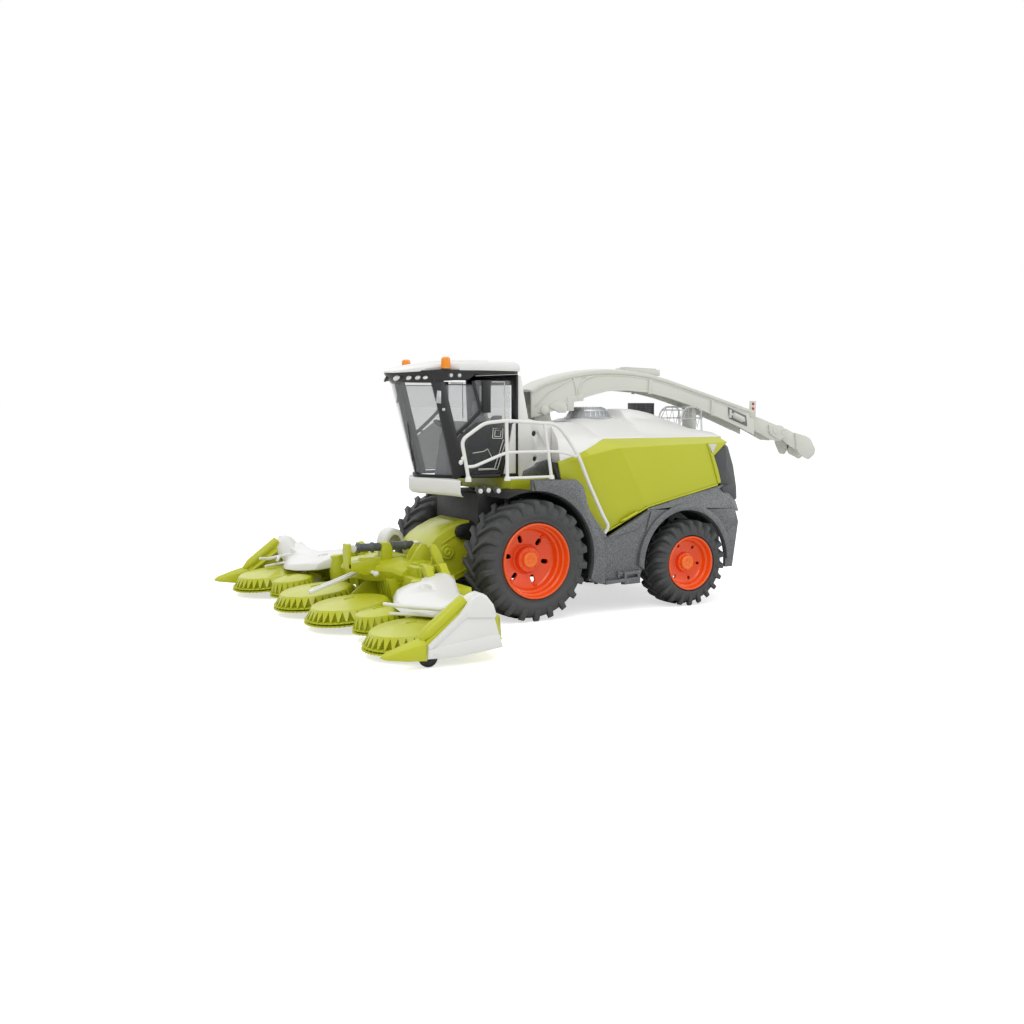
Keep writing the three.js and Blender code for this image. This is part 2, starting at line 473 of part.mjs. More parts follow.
// ---------------------------------------------------------------- feeder and header
{
  const f0 = BODY.nose + FEEDER.rearGap;
  const lean = Math.tan(HEADER.tilt * Math.PI / 180);
  // the front face leans with the back of the tipped header
  const front = (z) => HEADER.rearX - SEAT
    + (z - HEADER.z - (HEADER.x - HEADER.rearX) * lean) * lean;
  const feeder = prism('xz', [[f0, 93], [70, 78], [front(68), 68], [front(24), 24], [f0, 40]], -FEEDER.half, FEEDER.half);
  const boss = [1, -1].map((s) => rod([FEEDER.bossX, s * (FEEDER.half - 1), 63], [FEEDER.bossX, s * (FEEDER.half + 4), 63], 7, 20));
  node('feeder_housing', 'lime', cut(fuse(feeder, ...boss), rod([FEEDER.pivotX, -60, FEEDER.pivotZ],
    [FEEDER.pivotX, 60, FEEDER.pivotZ], FEEDER.pinR + RUN, 20)));
}

// the header is laid out level and then tipped forward as one block
const tipped = (m) => m.translate([-HEADER.x, 0, -HEADER.z]).rotate([0, HEADER.tilt, 0])
  .translate([HEADER.x, 0, HEADER.z]);
{
  const cos = Math.cos(HEADER.tilt * Math.PI / 180);
  const back = HEADER.x - (HEADER.x - HEADER.rearX) / cos;    // back face before tipping
  const { foldY, foldZ, pinR, plateLow, plateTop, centre } = HEADER;
  const axle = (y) => rod([HEADER.x, y, plateLow + 0.2], [HEADER.x, y, DISC.hubTop - 3], DISC.axleR, 16);

  // centre frame: beam, floor plate with two rotor axles, pointed spine and the fold pins
  const spine = prism('xz', [[back + 24, 36], [back + 24, 52], [112, 55.5], [136, 58.5], [150, 59.5], [150, 51],
    [142, 46], [126, 45], [112, 34]], -10, 18);
  const pins = [1, -1].map((s) => fuse(
    prism('yz', [[s * 70, 40], [s * 70, 46], [s * 84, foldZ + 5], [s * 92.6, foldZ + 5], [s * 92.6, foldZ - 4],
      [s * 86, 40]], 97, 103),
    rod([88.6, s * foldY, foldZ], [111.4, s * foldY, foldZ], pinR, 16)));
  const towers = [1, -1].map((s) => prism('xz', [[back, 44], [back, 56], [back + 12, 62], [back + 20, 58],
    [back + 24, 44]], ...span(s, 22, 38)));
  const frame = fuse(
    box(back, 110, -centre, centre, 10, 40),
    box(back + 2, 104, -64, 64, 38, HEADER.beamTop),
    box(106, HEADER.x + 8, -centre, centre, plateLow, plateTop),
    spine, ...towers, axle(DISC.innerY), axle(-DISC.innerY));
  const notches = [1, -1].map((s) => box(86, 114, ...span(s, foldY - 7, foldY + 7), 33, 60));
  // two rams lie end to end on the spine, in a bracket in the middle and a plate in front
  const { ramY, ramZ, ramR } = HEADER;
  const bracket = prism('xz', [[112, 58], [112, ramZ + 4], [116, ramZ + 7], [121, ramZ + 4], [121, 58]],
    ramY - 5, ramY + 5);
  const plate = box(154.6, 156.6, ramY - 4, ramY + 4, 50, ramZ + 4);
  const toe = box(144, 156.6, ramY - 4, ramY + 4, 52, 60);
  const ramHole = rod([70, ramY, ramZ], [170, ramY, ramZ], ramR + SEAT, 16);
  node('header_frame', 'lime', cut(fuse(tipped(fuse(cut(frame, notches), ...pins)), bracket, plate, toe), ramHole));
  const rams = fuse(
    rod([82, ramY, ramZ], [154, ramY, ramZ], ramR, 12),
    rod([87, ramY, ramZ], [111.6, ramY, ramZ], 4, 16), rod([84.6, ramY, ramZ], [88, ramY, ramZ], 5, 16),
    rod([121.4, ramY, ramZ], [145, ramY, ramZ], 4, 16), rod([144, ramY, ramZ], [147.4, ramY, ramZ], 5, 16));
  node('fold_rams', 'silver', rams);

  // white hood over the drive, on the right-hand end of the centre beam
  const { beamTop, hoodLeg, hoodY } = HEADER;
  node('drive_hood', 'white', tipped(prism('xz', [[hoodLeg[0], beamTop + SEAT], [hoodLeg[0], 56.5], [62, 56.5],
    [62, 60], [66, 66.6], [73, 69.8], [80, 68], [hoodLeg[1], 60], [hoodLeg[1], beamTop + SEAT]], ...hoodY)));

  // crop guide under the front of the spine, white
  const gz = 46.8;
  node('centre_guide', 'white', fuse(tube([[188, 0, 29.4], [133, 0, gz]], 1.7, 8),
    tube([[129.6, -28, gz - 1], [133, 0, gz], [129.6, 28, gz - 1]], 1.7, 8)));

  const disc = (y, r) => {
    const up = r > 30 ? 34.6 : 18.6;
    const { low, hubTop } = DISC;
    return turned([[DISC.axleR + RUN, low], [r, low], [r, low + 2], [up - 2, low + 3.6], [up, low + 8],
      [up, low + 11], [up * 0.5, low + 14], [up * 0.4, hubTop], [0, hubTop], [0, hubTop - 2.4],
      [DISC.axleR + RUN, hubTop - 2.4]], [HEADER.x, y, 0], 'z', r > 30 ? 28 : 20);
  };
  for (const [name, y, r] of [['inner', DISC.innerY, DISC.big], ['middle', DISC.smallY, DISC.small],
    ['outer', DISC.outerY, DISC.big]]) pair(`rotor_${name}`, 'lime', tipped(disc(y, r)));

  // wing: beam, floor plate with two rotor axles, fold eyes, side divider with its nose
  const eye = (x0, x1) => rod([x0, foldY, foldZ], [x1, foldY, foldZ], 5.2, 18);
  const eyes = fuse(eye(89, 96.4), eye(103.6, 111), box(89, 96.4, foldY, 100, foldZ - 5.2, foldZ - 1),
    box(103.6, 111, foldY, 100, foldZ - 5.2, foldZ - 1), box(89, 111, 96, 104, 33, foldZ - 1));
  const beam = fuse(box(88, 110, 96, 146, 10, 38), prism('xy', [[88, 140], [110, 140], [110, 222], [122, 222],
    [122, 234], [110, 234], [104, 224]], 10, 28));
  const floor = box(106, HEADER.x + 8, centre + 3.6, 228, plateLow, plateTop);
  const wing = cut(fuse(eyes, beam, floor, axle(DISC.smallY), axle(DISC.outerY)),
    rod([80, foldY, foldZ], [120, foldY, foldZ], pinR + RUN, 20),
    box(HEADER.x - 16, HEADER.x + 20, DISC.smallY + 12, DISC.smallY + 34, 0, 20));
  const side = prism('xz', DIVIDER.outline, DIVIDER.inner, DIVIDER.outer);
  const well = fuse(rod([SUPPORT.x, 220, SUPPORT.r], [SUPPORT.x, SUPPORT.outer + 0.8, SUPPORT.r], SUPPORT.r + 1.2, 20),
    box(SUPPORT.x - 9.2, SUPPORT.x + 9.2, 220, SUPPORT.outer + 0.8, -5, SUPPORT.r));
  const pin = rod([SUPPORT.x, SUPPORT.inner, SUPPORT.r], [SUPPORT.x, DIVIDER.outer, SUPPORT.r], SUPPORT.pinR, 12);
  pair('wing_frame', 'lime', fuse(cut(fuse(tipped(wing), side), well), pin));
  const cover = cut(prism('yz', [[104, 38.3], [104, 48], [118, 46.4], [150, 43.4], [200, 42.4], [214, 46], [222, 45],
    [222, 38.3]], 92, 138), prism('xy', [[80, 120], [92, 120], [112, 170], [112, 260], [80, 260]], 30, 60));
  pair('wing_cover', 'white', tipped(cover));
  pair('divider_cover', 'white', prism('xz', DIVIDER.cover, DIVIDER.outer + SEAT, HEADER.reach));
  pair('support_wheel', 'black', turned([[SUPPORT.pinR + RUN, SUPPORT.inner], [SUPPORT.r, SUPPORT.inner],
    [SUPPORT.r, SUPPORT.outer], [SUPPORT.pinR + RUN, SUPPORT.outer]], [SUPPORT.x, 0, SUPPORT.r], 'y', 20));
}

export default group;
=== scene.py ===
"""Looks of a 1:16 toy forage harvester with a folding rotary maize header.

Every piece is laid out in millimetres from the front axle: x forward, y to the left, z up from the
ground; `Form.mesh` turns that into the metres of the shared frame. Each sub-assembly is a class
that holds its own sizes, shapes its pieces as `Form` meshes and fixes each one to its moving body.
"""

import json
import logging
import math
from collections.abc import Callable, Iterable, Sequence
from dataclasses import dataclass, field
from enum import Enum

import bmesh
import bpy
from mathutils import Matrix, Vector

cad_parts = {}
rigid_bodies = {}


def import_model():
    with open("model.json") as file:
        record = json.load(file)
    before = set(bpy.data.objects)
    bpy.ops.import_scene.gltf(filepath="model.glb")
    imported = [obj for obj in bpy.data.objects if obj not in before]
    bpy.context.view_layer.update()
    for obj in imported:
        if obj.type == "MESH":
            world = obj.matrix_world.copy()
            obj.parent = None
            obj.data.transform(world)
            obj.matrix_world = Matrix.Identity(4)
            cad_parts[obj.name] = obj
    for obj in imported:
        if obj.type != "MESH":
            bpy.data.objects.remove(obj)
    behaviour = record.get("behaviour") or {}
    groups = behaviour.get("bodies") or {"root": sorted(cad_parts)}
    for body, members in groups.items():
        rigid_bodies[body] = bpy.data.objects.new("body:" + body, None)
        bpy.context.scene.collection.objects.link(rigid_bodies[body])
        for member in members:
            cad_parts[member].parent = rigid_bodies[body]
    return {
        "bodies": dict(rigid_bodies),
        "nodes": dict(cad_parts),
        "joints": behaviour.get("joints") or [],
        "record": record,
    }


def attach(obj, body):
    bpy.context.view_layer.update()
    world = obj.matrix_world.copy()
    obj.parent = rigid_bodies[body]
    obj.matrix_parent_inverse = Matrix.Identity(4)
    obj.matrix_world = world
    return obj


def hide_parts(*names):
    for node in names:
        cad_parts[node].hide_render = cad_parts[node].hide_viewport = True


log = logging.getLogger("harvester")

MM = 0.001
AXLE_X = 108.65          # front axle to the middle of the overall length
FRONT_R = 58.0
REAR_R = 44.1
WHEELBASE = 182.7
DECK = 134.4             # top of the cab platform
ROOF_LOW = 234.2
TILT = math.radians(6.5)
TILT_X, TILT_Z = 165.0, 16.0
ROTOR_X = 165.0

Flat = tuple[float, float]
Spot = tuple[float, float, float]
Warp = Callable[[Spot], Spot]


class Side(Enum):
    """The two sides of the machine; the value is the sign of y."""

    LEFT = 1
    RIGHT = -1

    @property
    def tag(self) -> str:
        """Letter used at the end of a piece's name."""
        return self.name[0]


class Plane(Enum):
    """Plane of a flat outline; a prism of it runs along the axis that is left."""

    XZ = (0, 2, 1)
    YZ = (1, 2, 0)
    XY = (0, 1, 2)


class Axis(Enum):
    """Axis that a turned shape goes round."""

    X = 0
    Y = 1
    Z = 2


def tipped(p: Spot) -> Spot:
    """Tips a point of the level header forward, to the header's working angle.

    Args:
        p: A place on the level header.

    Returns:
        The same place on the tipped header.
    """
    dx, dz = p[0] - TILT_X, p[2] - TILT_Z
    c, s = math.cos(TILT), math.sin(TILT)
    return (TILT_X + dx * c + dz * s, p[1], TILT_Z + dz * c - dx * s)


def arc(centre: Flat, radius: float, start: float, end: float, steps: int,
        tall: float = 0.0) -> list[Flat]:
    """Points of an arc in a plane.

    Args:
        centre: Centre of the arc.
        radius: Radius along the first axis.
        start: First angle in degrees.
        end: Last angle in degrees.
        steps: Number of chords.
        tall: Radius along the second axis, when it differs.

    Returns:
        The points from start to end.
    """
    turn = [math.radians(start + (end - start) * i / steps) for i in range(steps + 1)]
    second = tall or radius
    return [(centre[0] + radius * math.cos(t), centre[1] + second * math.sin(t)) for t in turn]


def rounded(corners: Sequence[Spot], radius: float, steps: int = 4) -> list[Spot]:
    """Rounds the inner corners of a bent line.

    Args:
        corners: Points of the line.
        radius: Distance from a corner at which its curve starts.
        steps: Number of chords in each curve.

    Returns:
        The line with a smooth curve in place of each inner corner.
    """
    line = [Vector(corners[0])]
    for before, here, after in zip(corners, corners[1:], corners[2:]):
        p, a, b = Vector(here), Vector(before), Vector(after)
        reach = min(radius, (a - p).length * 0.48, (b - p).length * 0.48)
        start, end = p + (a - p).normalized() * reach, p + (b - p).normalized() * reach
        for i in range(steps + 1):
            t = i / steps
            line.append(start * (1 - t) ** 2 + p * 2 * t * (1 - t) + end * t * t)
    line.append(Vector(corners[-1]))
    return [tuple(v) for v in line]


# ------------------------------------------------------------------ repeats


class Repeater:
    """Geometry Nodes that set one part out many times, in a ring or in a row."""

    def __init__(self) -> None:
        """Starts with no trees; each one is built when it is first needed."""
        self._trees: dict[str, bpy.types.GeometryNodeTree] = {}

    def _tree(self, kind: str) -> bpy.types.GeometryNodeTree:
        """Builds, or finds, the tree of that kind.

        Args:
            kind: "ring" or "row".

        Returns:
            The node tree, with the inputs Part, Count, Direction and Finish.
        """
        if kind in self._trees:
            return self._trees[kind]
        tree = bpy.data.node_groups.new(f"set_out_{kind}", "GeometryNodeTree")
        face = tree.interface
        face.new_socket("Part", in_out="INPUT", socket_type="NodeSocketGeometry")
        face.new_socket("Count", in_out="INPUT", socket_type="NodeSocketInt")
        face.new_socket("Direction", in_out="INPUT", socket_type="NodeSocketVector")
        face.new_socket("Finish", in_out="INPUT", socket_type="NodeSocketMaterial")
        face.new_socket("Set", in_out="OUTPUT", socket_type="NodeSocketGeometry")
        add, link = tree.nodes.new, tree.links.new
        given, out = add("NodeGroupInput"), add("NodeGroupOutput")
        points, spread = add("GeometryNodeMeshLine"), add("GeometryNodeInstanceOnPoints")
        real, finish = add("GeometryNodeRealizeInstances"), add("GeometryNodeSetMaterial")
        link(given.outputs["Count"], points.inputs["Count"])
        points.inputs["Offset"].default_value = (0.0, 0.0, 0.0)
        if kind == "row":
            link(given.outputs["Direction"], points.inputs["Offset"])
        else:
            index, share = add("GeometryNodeInputIndex"), add("ShaderNodeMath")
            turn, spin = add("ShaderNodeMath"), add("FunctionNodeAxisAngleToRotation")
            share.operation, turn.operation = "DIVIDE", "MULTIPLY"
            turn.inputs[1].default_value = math.tau
            link(index.outputs[0], share.inputs[0])
            link(given.outputs["Count"], share.inputs[1])
            link(share.outputs[0], turn.inputs[0])
            link(given.outputs["Direction"], spin.inputs["Axis"])
            link(turn.outputs[0], spin.inputs["Angle"])
            link(spin.outputs[0], spread.inputs["Rotation"])
        link(points.outputs[0], spread.inputs["Points"])
        link(given.outputs["Part"], spread.inputs["Instance"])
        link(spread.outputs[0], real.inputs[0])
        link(real.outputs[0], finish.inputs["Geometry"])
        link(given.outputs["Finish"], finish.inputs["Material"])
        link(finish.outputs[0], out.inputs[0])
        self._trees[kind] = tree
        return tree

    def spread(self, part: "Form", kind: str, count: int, direction: Spot) -> "Form":
        """Sets a part out many times.

        Args:
            part: The part; for a ring it is laid out round the origin.
            kind: "ring" or "row".
            count: Number of copies.
            direction: The ring's axis, or the step from one copy of a row to the next.

        Returns:
            A new form with all the copies.
        """
        mesh = part.mesh("repeat_part", scale=1.0)
        carrier = bpy.data.objects.new("repeat_carrier", mesh)
        bpy.context.scene.collection.objects.link(carrier)
        modifier = carrier.modifiers.new("set_out", "NODES")
        tree = self._tree(kind)
        modifier.node_group = tree
        keys = {s.name: s.identifier for s in tree.interface.items_tree if s.in_out == "INPUT"}
        modifier[keys["Count"]] = count
        modifier[keys["Direction"]] = direction
        bpy.context.view_layer.update()
        ready = carrier.evaluated_get(bpy.context.evaluated_depsgraph_get())
        result = bpy.data.meshes.new_from_object(ready)
        carrier.modifiers.remove(modifier)
        bpy.data.objects.remove(carrier)
        whole = Form()
        whole.bm.from_mesh(result)
        return whole

    def ring(self, part: "Form", count: int, axis: Axis, centre: Spot) -> "Form":
        """Sets a part out in a ring.

        Args:
            part: The part, laid out round the origin.
            count: Number of copies.
            axis: Axis of the ring.
            centre: Where the ring's middle goes.

        Returns:
            The ring, in place.
        """
        line = tuple(1.0 if i == axis.value else 0.0 for i in range(3))
        return self.spread(part, "ring", count, line).shift(centre)

    def row(self, part: "Form", count: int, step: Spot) -> "Form":
        """Sets a part out in a row.

        Args:
            part: The first part, in place.
            count: Number of copies, the first included.
            step: Step from one copy to the next.

        Returns:
            The whole row.
        """
        return self.spread(part, "row", count, step)


# ------------------------------------------------------------------ mesh building


class Form:
    """A mesh being shaped, in millimetres from the front axle."""

    def __init__(self) -> None:
        """Starts empty."""
        self.bm = bmesh.new()

    def faces(self, points: Sequence[Spot], faces: Iterable[Sequence[int]]) -> "Form":
        """Adds points and the faces between them.

        Args:
            points: Corner points, in millimetres.
            faces: Corner numbers of each face, from 0.

        Returns:
            This form, so that calls can follow one another.
        """
        verts = [self.bm.verts.new(p) for p in points]
        for f in faces:
            self.bm.faces.new([verts[i] for i in f])
        return self

    def loft(self, sections: Sequence[Sequence[Spot]], closed: bool = False) -> "Form":
        """Adds a skin through matching sections, with its ends capped.

        Args:
            sections: Rings of equal length, one after the other.
            closed: Joins the last section to the first in place of the caps.

        Returns:
            This form.
        """
        n, rows = len(sections[0]), len(sections)
        skin: list[list[int]] = []
        for s in range(rows if closed else rows - 1):
            t = (s + 1) % rows
            skin += [[s * n + i, s * n + (i + 1) % n, t * n + (i + 1) % n, t * n + i]
                for i in range(n)]
        if not closed:
            skin += [list(range(n))[::-1], [(rows - 1) * n + i for i in range(n)]]
        return self.faces([p for ring in sections for p in ring], skin)

    def prism(self, outline: Sequence[Flat], plane: Plane, low: float, high: float) -> "Form":
        """Adds a straight prism of a flat outline, from low to high along the axis that is left.

        Args:
            outline: Corners of the flat outline, in order.
            plane: Plane that the outline is drawn in.
            low: Where the prism starts on the axis that is left.
            high: Where it ends on that axis.

        Returns:
            This form, so that calls can follow one another.
        """
        a, b, c = plane.value
        rings = []
        for level in (low, high):
            ring = []
            for u, v in outline:
                p = [0.0, 0.0, 0.0]
                p[a], p[b], p[c] = u, v, level
                ring.append(tuple(p))
            rings.append(ring)
        return self.loft(rings)

    def box(self, x: Flat, y: Flat, z: Flat) -> "Form":
        """Adds a block from its two limits on each axis."""
        return self.prism([(x[0], z[0]), (x[1], z[0]), (x[1], z[1]), (x[0], z[1])], Plane.XZ, *y)

    def lathe(self, profile: Sequence[Flat], centre: Spot, axis: Axis, steps: int = 48) -> "Form":
        """Adds a turned shape.

        Args:
            profile: (radius, height) points; a profile that leaves the axis is closed on itself.
            centre: The origin of its heights.
            axis: The axis it is turned about.
            steps: Number of sides.

        Returns:
            This form.
        """
        line = list(profile)
        hollow = line[0][0] > 0 or line[-1][0] > 0
        k = axis.value
        u, v = [(1, 2), (2, 0), (0, 1)][k]
        made: list[list[bmesh.types.BMVert]] = []
        for radius, height in line:
            ring = []
            for i in range(steps if radius > 0 else 1):
                t = math.tau * i / steps
                p = list(centre)
                p[k] += height
                p[u] += radius * math.cos(t)
                p[v] += radius * math.sin(t)
                ring.append(self.bm.verts.new(p))
            made.append(ring)
        pairs = list(zip(made, made[1:])) + ([(made[-1], made[0])] if hollow else [])
        for one, two in pairs:
            for i in range(steps):
                j = (i + 1) % steps
                corners = [one[i % len(one)], one[j % len(one)], two[j % len(two)],
                    two[i % len(two)]]
                unique = list(dict.fromkeys(corners))
                if len(unique) > 2:
                    self.bm.faces.new(unique)
        return self

    def tube(self, path: Sequence[Spot], radius: float | Sequence[float], sides: int = 12,
             flat: float = 1.0) -> "Form":
        """Adds a round bar along a line.

        Args:
            path: Points of its centre line.
            radius: Its radius, or one radius for each point.
            sides: Number of sides.
            flat: Height of the section over its width.

        Returns:
            This form.
        """
        pts = [Vector(p) for p in path]
        radii = [radius] * len(pts) if isinstance(radius, (int, float)) else list(radius)
        along = [(b - a).normalized() for a, b in zip(pts, pts[1:])]
        tangents = [along[0]] + [(a + b).normalized() for a, b in zip(along, along[1:])] + [
            along[-1]]
        start = Vector((0, 0, 1)) if abs(tangents[0].z) < 0.9 else Vector((0, 1, 0))
        normal = (start - tangents[0] * start.dot(tangents[0])).normalized()
        rings = []
        for p, t, r in zip(pts, tangents, radii):
            normal = (normal - t * normal.dot(t)).normalized()
            side = t.cross(normal)
            rings.append([tuple(p + (normal * math.sin(a) * flat + side * math.cos(a)) * r)
                          for a in (math.tau * i / sides for i in range(sides))])
        return self.loft(rings)

    def ball(self, centre: Spot, radius: Spot, steps: int = 16) -> "Form":
        """Adds an ellipsoid with the three given radii.

        Args:
            centre: Middle of the ellipsoid.
            radius: Its radius along each axis.
            steps: Number of rings and of faces in a ring.

        Returns:
            This form, so that calls can follow one another.
        """
        moved = Matrix.Translation(centre) @ Matrix.Diagonal((*radius, 1.0))
        bmesh.ops.create_uvsphere(self.bm, u_segments=steps, v_segments=max(6, steps // 2),
                                  radius=1.0, matrix=moved)
        return self

    def slab(self, rows: Sequence[Sequence[Spot]], back: Spot,
            crease: Sequence[int] = ()) -> "Form":
        """Adds a panel: a net of points, its copy behind it, and the rim between them.

        Args:
            rows: Rows of points of the outer face.
            back: Step from the outer face to the inner one.
            crease: Rows along which the outer face keeps an edge when it is smoothed.

        Returns:
            This form.
        """
        n, m = len(rows), len(rows[0])
        outer = [p for row in rows for p in row]
        inner = [tuple(a + b for a, b in zip(p, back)) for p in outer]
        quads = []
        for r in range(n - 1):
            for c in range(m - 1):
                q = [r * m + c, r * m + c + 1, (r + 1) * m + c + 1, (r + 1) * m + c]
                quads += [q, [i + n * m for i in reversed(q)]]
        rim = [c for c in range(m)] + [r * m + m - 1 for r in range(1, n)]
        rim += [(n - 1) * m + c for c in range(m - 2, -1, -1)] + [r * m
            for r in range(n - 2, 0, -1)]
        for a, b in zip(rim, rim[1:] + rim[:1]):
            quads.append([b, a, a + n * m, b + n * m])
        base = len(self.bm.verts)
        self.faces(outer + inner, quads)
        self.bm.verts.ensure_lookup_table()
        layer = self.bm.edges.layers.float.get("crease_edge") or self.bm.edges.layers.float.new(
            "crease_edge")
        sharp = {frozenset(e) for e in zip(rim, rim[1:] + rim[:1])}
        sharp |= {frozenset((a + n * m, b + n * m)) for a, b in (tuple(e) for e in sharp)}
        soft = {frozenset((r * m + c, r * m + c + 1)) for r in crease for c in range(m - 1)}
        for edge in self.bm.edges:
            ends = frozenset(v.index - base for v in edge.verts) if edge.verts[
                0].index >= 0 else frozenset()
            if ends in sharp:
                edge[layer] = 0.85
            elif ends in soft:
                edge[layer] = 0.75
        return self

    def join(self, other: "Form") -> "Form":
        """Takes in another form, which is left empty.

        Args:
            other: Form whose faces are taken over.

        Returns:
            This form, so that calls can follow one another.
        """
        mesh = other.mesh("joined", scale=1.0)
        self.bm.from_mesh(mesh)
        bpy.data.meshes.remove(mesh)
        return self

    def warp(self, change: Warp) -> "Form":
        """Moves every point by a function of its place.

        Args:
            change: Gives a point's new place from its old one.

        Returns:
            This form, so that calls can follow one another.
        """
        for v in self.bm.verts:
            v.co = change(tuple(v.co))
        return self

    def shift(self, step: Spot) -> "Form":
        """Moves the whole form by a step."""
        return self.warp(lambda p: (p[0] + step[0], p[1] + step[1], p[2] + step[2]))

    def copy(self) -> "Form":
        """A separate copy of this form.

        Returns:
            A new form with the same points and faces.
        """
        twin = Form()
        twin.bm = self.bm.copy()
        return twin

    def on(self, side: Side) -> "Form":
        """A copy for that side; the form itself is laid out for the left.

        Args:
            side: Side that the copy is for.

        Returns:
            The copy, mirrored for the right side.
        """
        twin = self.copy()
        if side is Side.RIGHT:
            for v in twin.bm.verts:
                v.co.y = -v.co.y
            bmesh.ops.reverse_faces(twin.bm, faces=twin.bm.faces)
        return twin

    def mesh(self, name: str, scale: float = MM, clean: bool = False) -> bpy.types.Mesh:
        """Makes a Blender mesh of the form.

        Args:
            name: Name of the mesh.
            scale: Metres for each unit; the shift to the frame is only made for real pieces.
            clean: Merges doubles and points every face outwards first.

        Returns:
            The new mesh.
        """
        if clean:
            bmesh.ops.remove_doubles(self.bm, verts=self.bm.verts, dist=1e-4)
            bmesh.ops.dissolve_degenerate(self.bm, edges=self.bm.edges, dist=1e-4)
            bmesh.ops.recalc_face_normals(self.bm, faces=self.bm.faces)
        mesh = bpy.data.meshes.new(name)
        self.bm.to_mesh(mesh)
        if scale != 1.0:
            mesh.transform(Matrix.Diagonal((scale, scale, scale, 1.0)) @ Matrix.Translation(
                    (AXLE_X, 0, 0)))
        return mesh


@dataclass(frozen=True)
class Finishing:
    """How a form is finished into a piece: smoothing levels, edge rounding and shading."""

    edge: float = 0.4
    edge_steps: int = 2
    smooth: int = 0
    facet: float = 38.0
    cut: "tuple[Form, ...]" = ()


class Workshop:
    """Turns forms into finished pieces and fixes them to the moving bodies."""

    def __init__(self) -> None:
        """Starts with no pieces made."""
        self.repeat = Repeater()
        self.made = 0

    def _evaluated(self, obj: bpy.types.Object) -> None:
        """Replaces the object's mesh by its evaluated one and clears its modifiers.

        Args:
            obj: Object whose modifiers are applied.
        """
        bpy.context.view_layer.update()
        ready = obj.evaluated_get(bpy.context.evaluated_depsgraph_get())
        mesh = bpy.data.meshes.new_from_object(ready)
        obj.modifiers.clear()
        obj.data = mesh

    def _carve(self, obj: bpy.types.Object, tools: Iterable[Form]) -> None:
        """Cuts the tools' shapes out of the object.

        Args:
            obj: Object that loses material.
            tools: Closed forms to take away.
        """
        for i, tool in enumerate(tools):
            knife = bpy.data.objects.new(f"knife_{i}", tool.mesh("knife", clean=True))
            bpy.context.scene.collection.objects.link(knife)
            modifier = obj.modifiers.new("carve", "BOOLEAN")
            modifier.operation, modifier.solver, modifier.object = "DIFFERENCE", "EXACT", knife
            self._evaluated(obj)
            bpy.data.objects.remove(knife)

    def piece(self, name: str, form: Form, material: bpy.types.Material, body: str, slot: "Slot",
              replaces: Sequence[str] = (), finish: Finishing = Finishing()) -> bpy.types.Object:
        """Finishes a form and fixes it to a body.

        Args:
            name: Name of the piece.
            form: Its shape.
            material: Its finish.
            body: The moving body it rides on.
            slot: The record's material slot; not used.
            replaces: CAD nodes it stands for.
            finish: Edge rounding, smoothing and cuts.

        Returns:
            The finished object.
        """
        obj = bpy.data.objects.new(name, form.mesh(name, clean=True))
        bpy.context.scene.collection.objects.link(obj)
        if finish.smooth:
            subdivide = obj.modifiers.new("smooth", "SUBSURF")
            subdivide.levels = subdivide.render_levels = finish.smooth
            self._evaluated(obj)
        if finish.cut:
            self._carve(obj, finish.cut)
        if finish.edge:
            bevel = obj.modifiers.new("edge", "BEVEL")
            bevel.width, bevel.segments = finish.edge * MM, finish.edge_steps
            bevel.limit_method, bevel.angle_limit = "ANGLE", math.radians(32)
            bevel.use_clamp_overlap = True
            self._evaluated(obj)
        obj.data.polygons.foreach_set("use_smooth", [True] * len(obj.data.polygons))
        obj.data.set_sharp_from_angle(angle=math.radians(finish.facet))
        obj.data.materials.clear()
        obj.data.materials.append(material)
        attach(obj, body)
        if replaces:
            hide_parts(*replaces)
        self.made += 1
        log.info("%-26s on %-16s %6d faces", name, body, len(obj.data.polygons))
        return obj


class Slot(Enum):
    """Material slots of the record."""

    LIME = "lime_plastic"
    WHITE = "white_plastic"
    GREY = "metallic_grey_plastic"
    DARK = "dark_plastic"
    BLACK = "black_plastic"
    CLEAR = "clear_plastic"
    AMBER = "amber_plastic"
    TYRE = "tyre_rubber"
    ORANGE = "orange_red_plastic"
    SPOUT = "spout_plastic"
    SILVER = "silver_plastic"


# ------------------------------------------------------------------ finishes


def from_screen(colour: tuple[int, int, int]) -> tuple[float, float, float, float]:
    """Turns an 8-bit screen colour into the linear colour that shaders use.

    Args:
        colour: Red, green and blue from 0 to 255.

    Returns:
        Linear red, green, blue and alpha.
    """
    def straight(c: int) -> float:
        """One channel of it."""
        s = c / 255.0
        return s / 12.92 if s <= 0.04045 else ((s + 0.055) / 1.055) ** 2.4
    return (*(straight(c) for c in colour), 1.0)


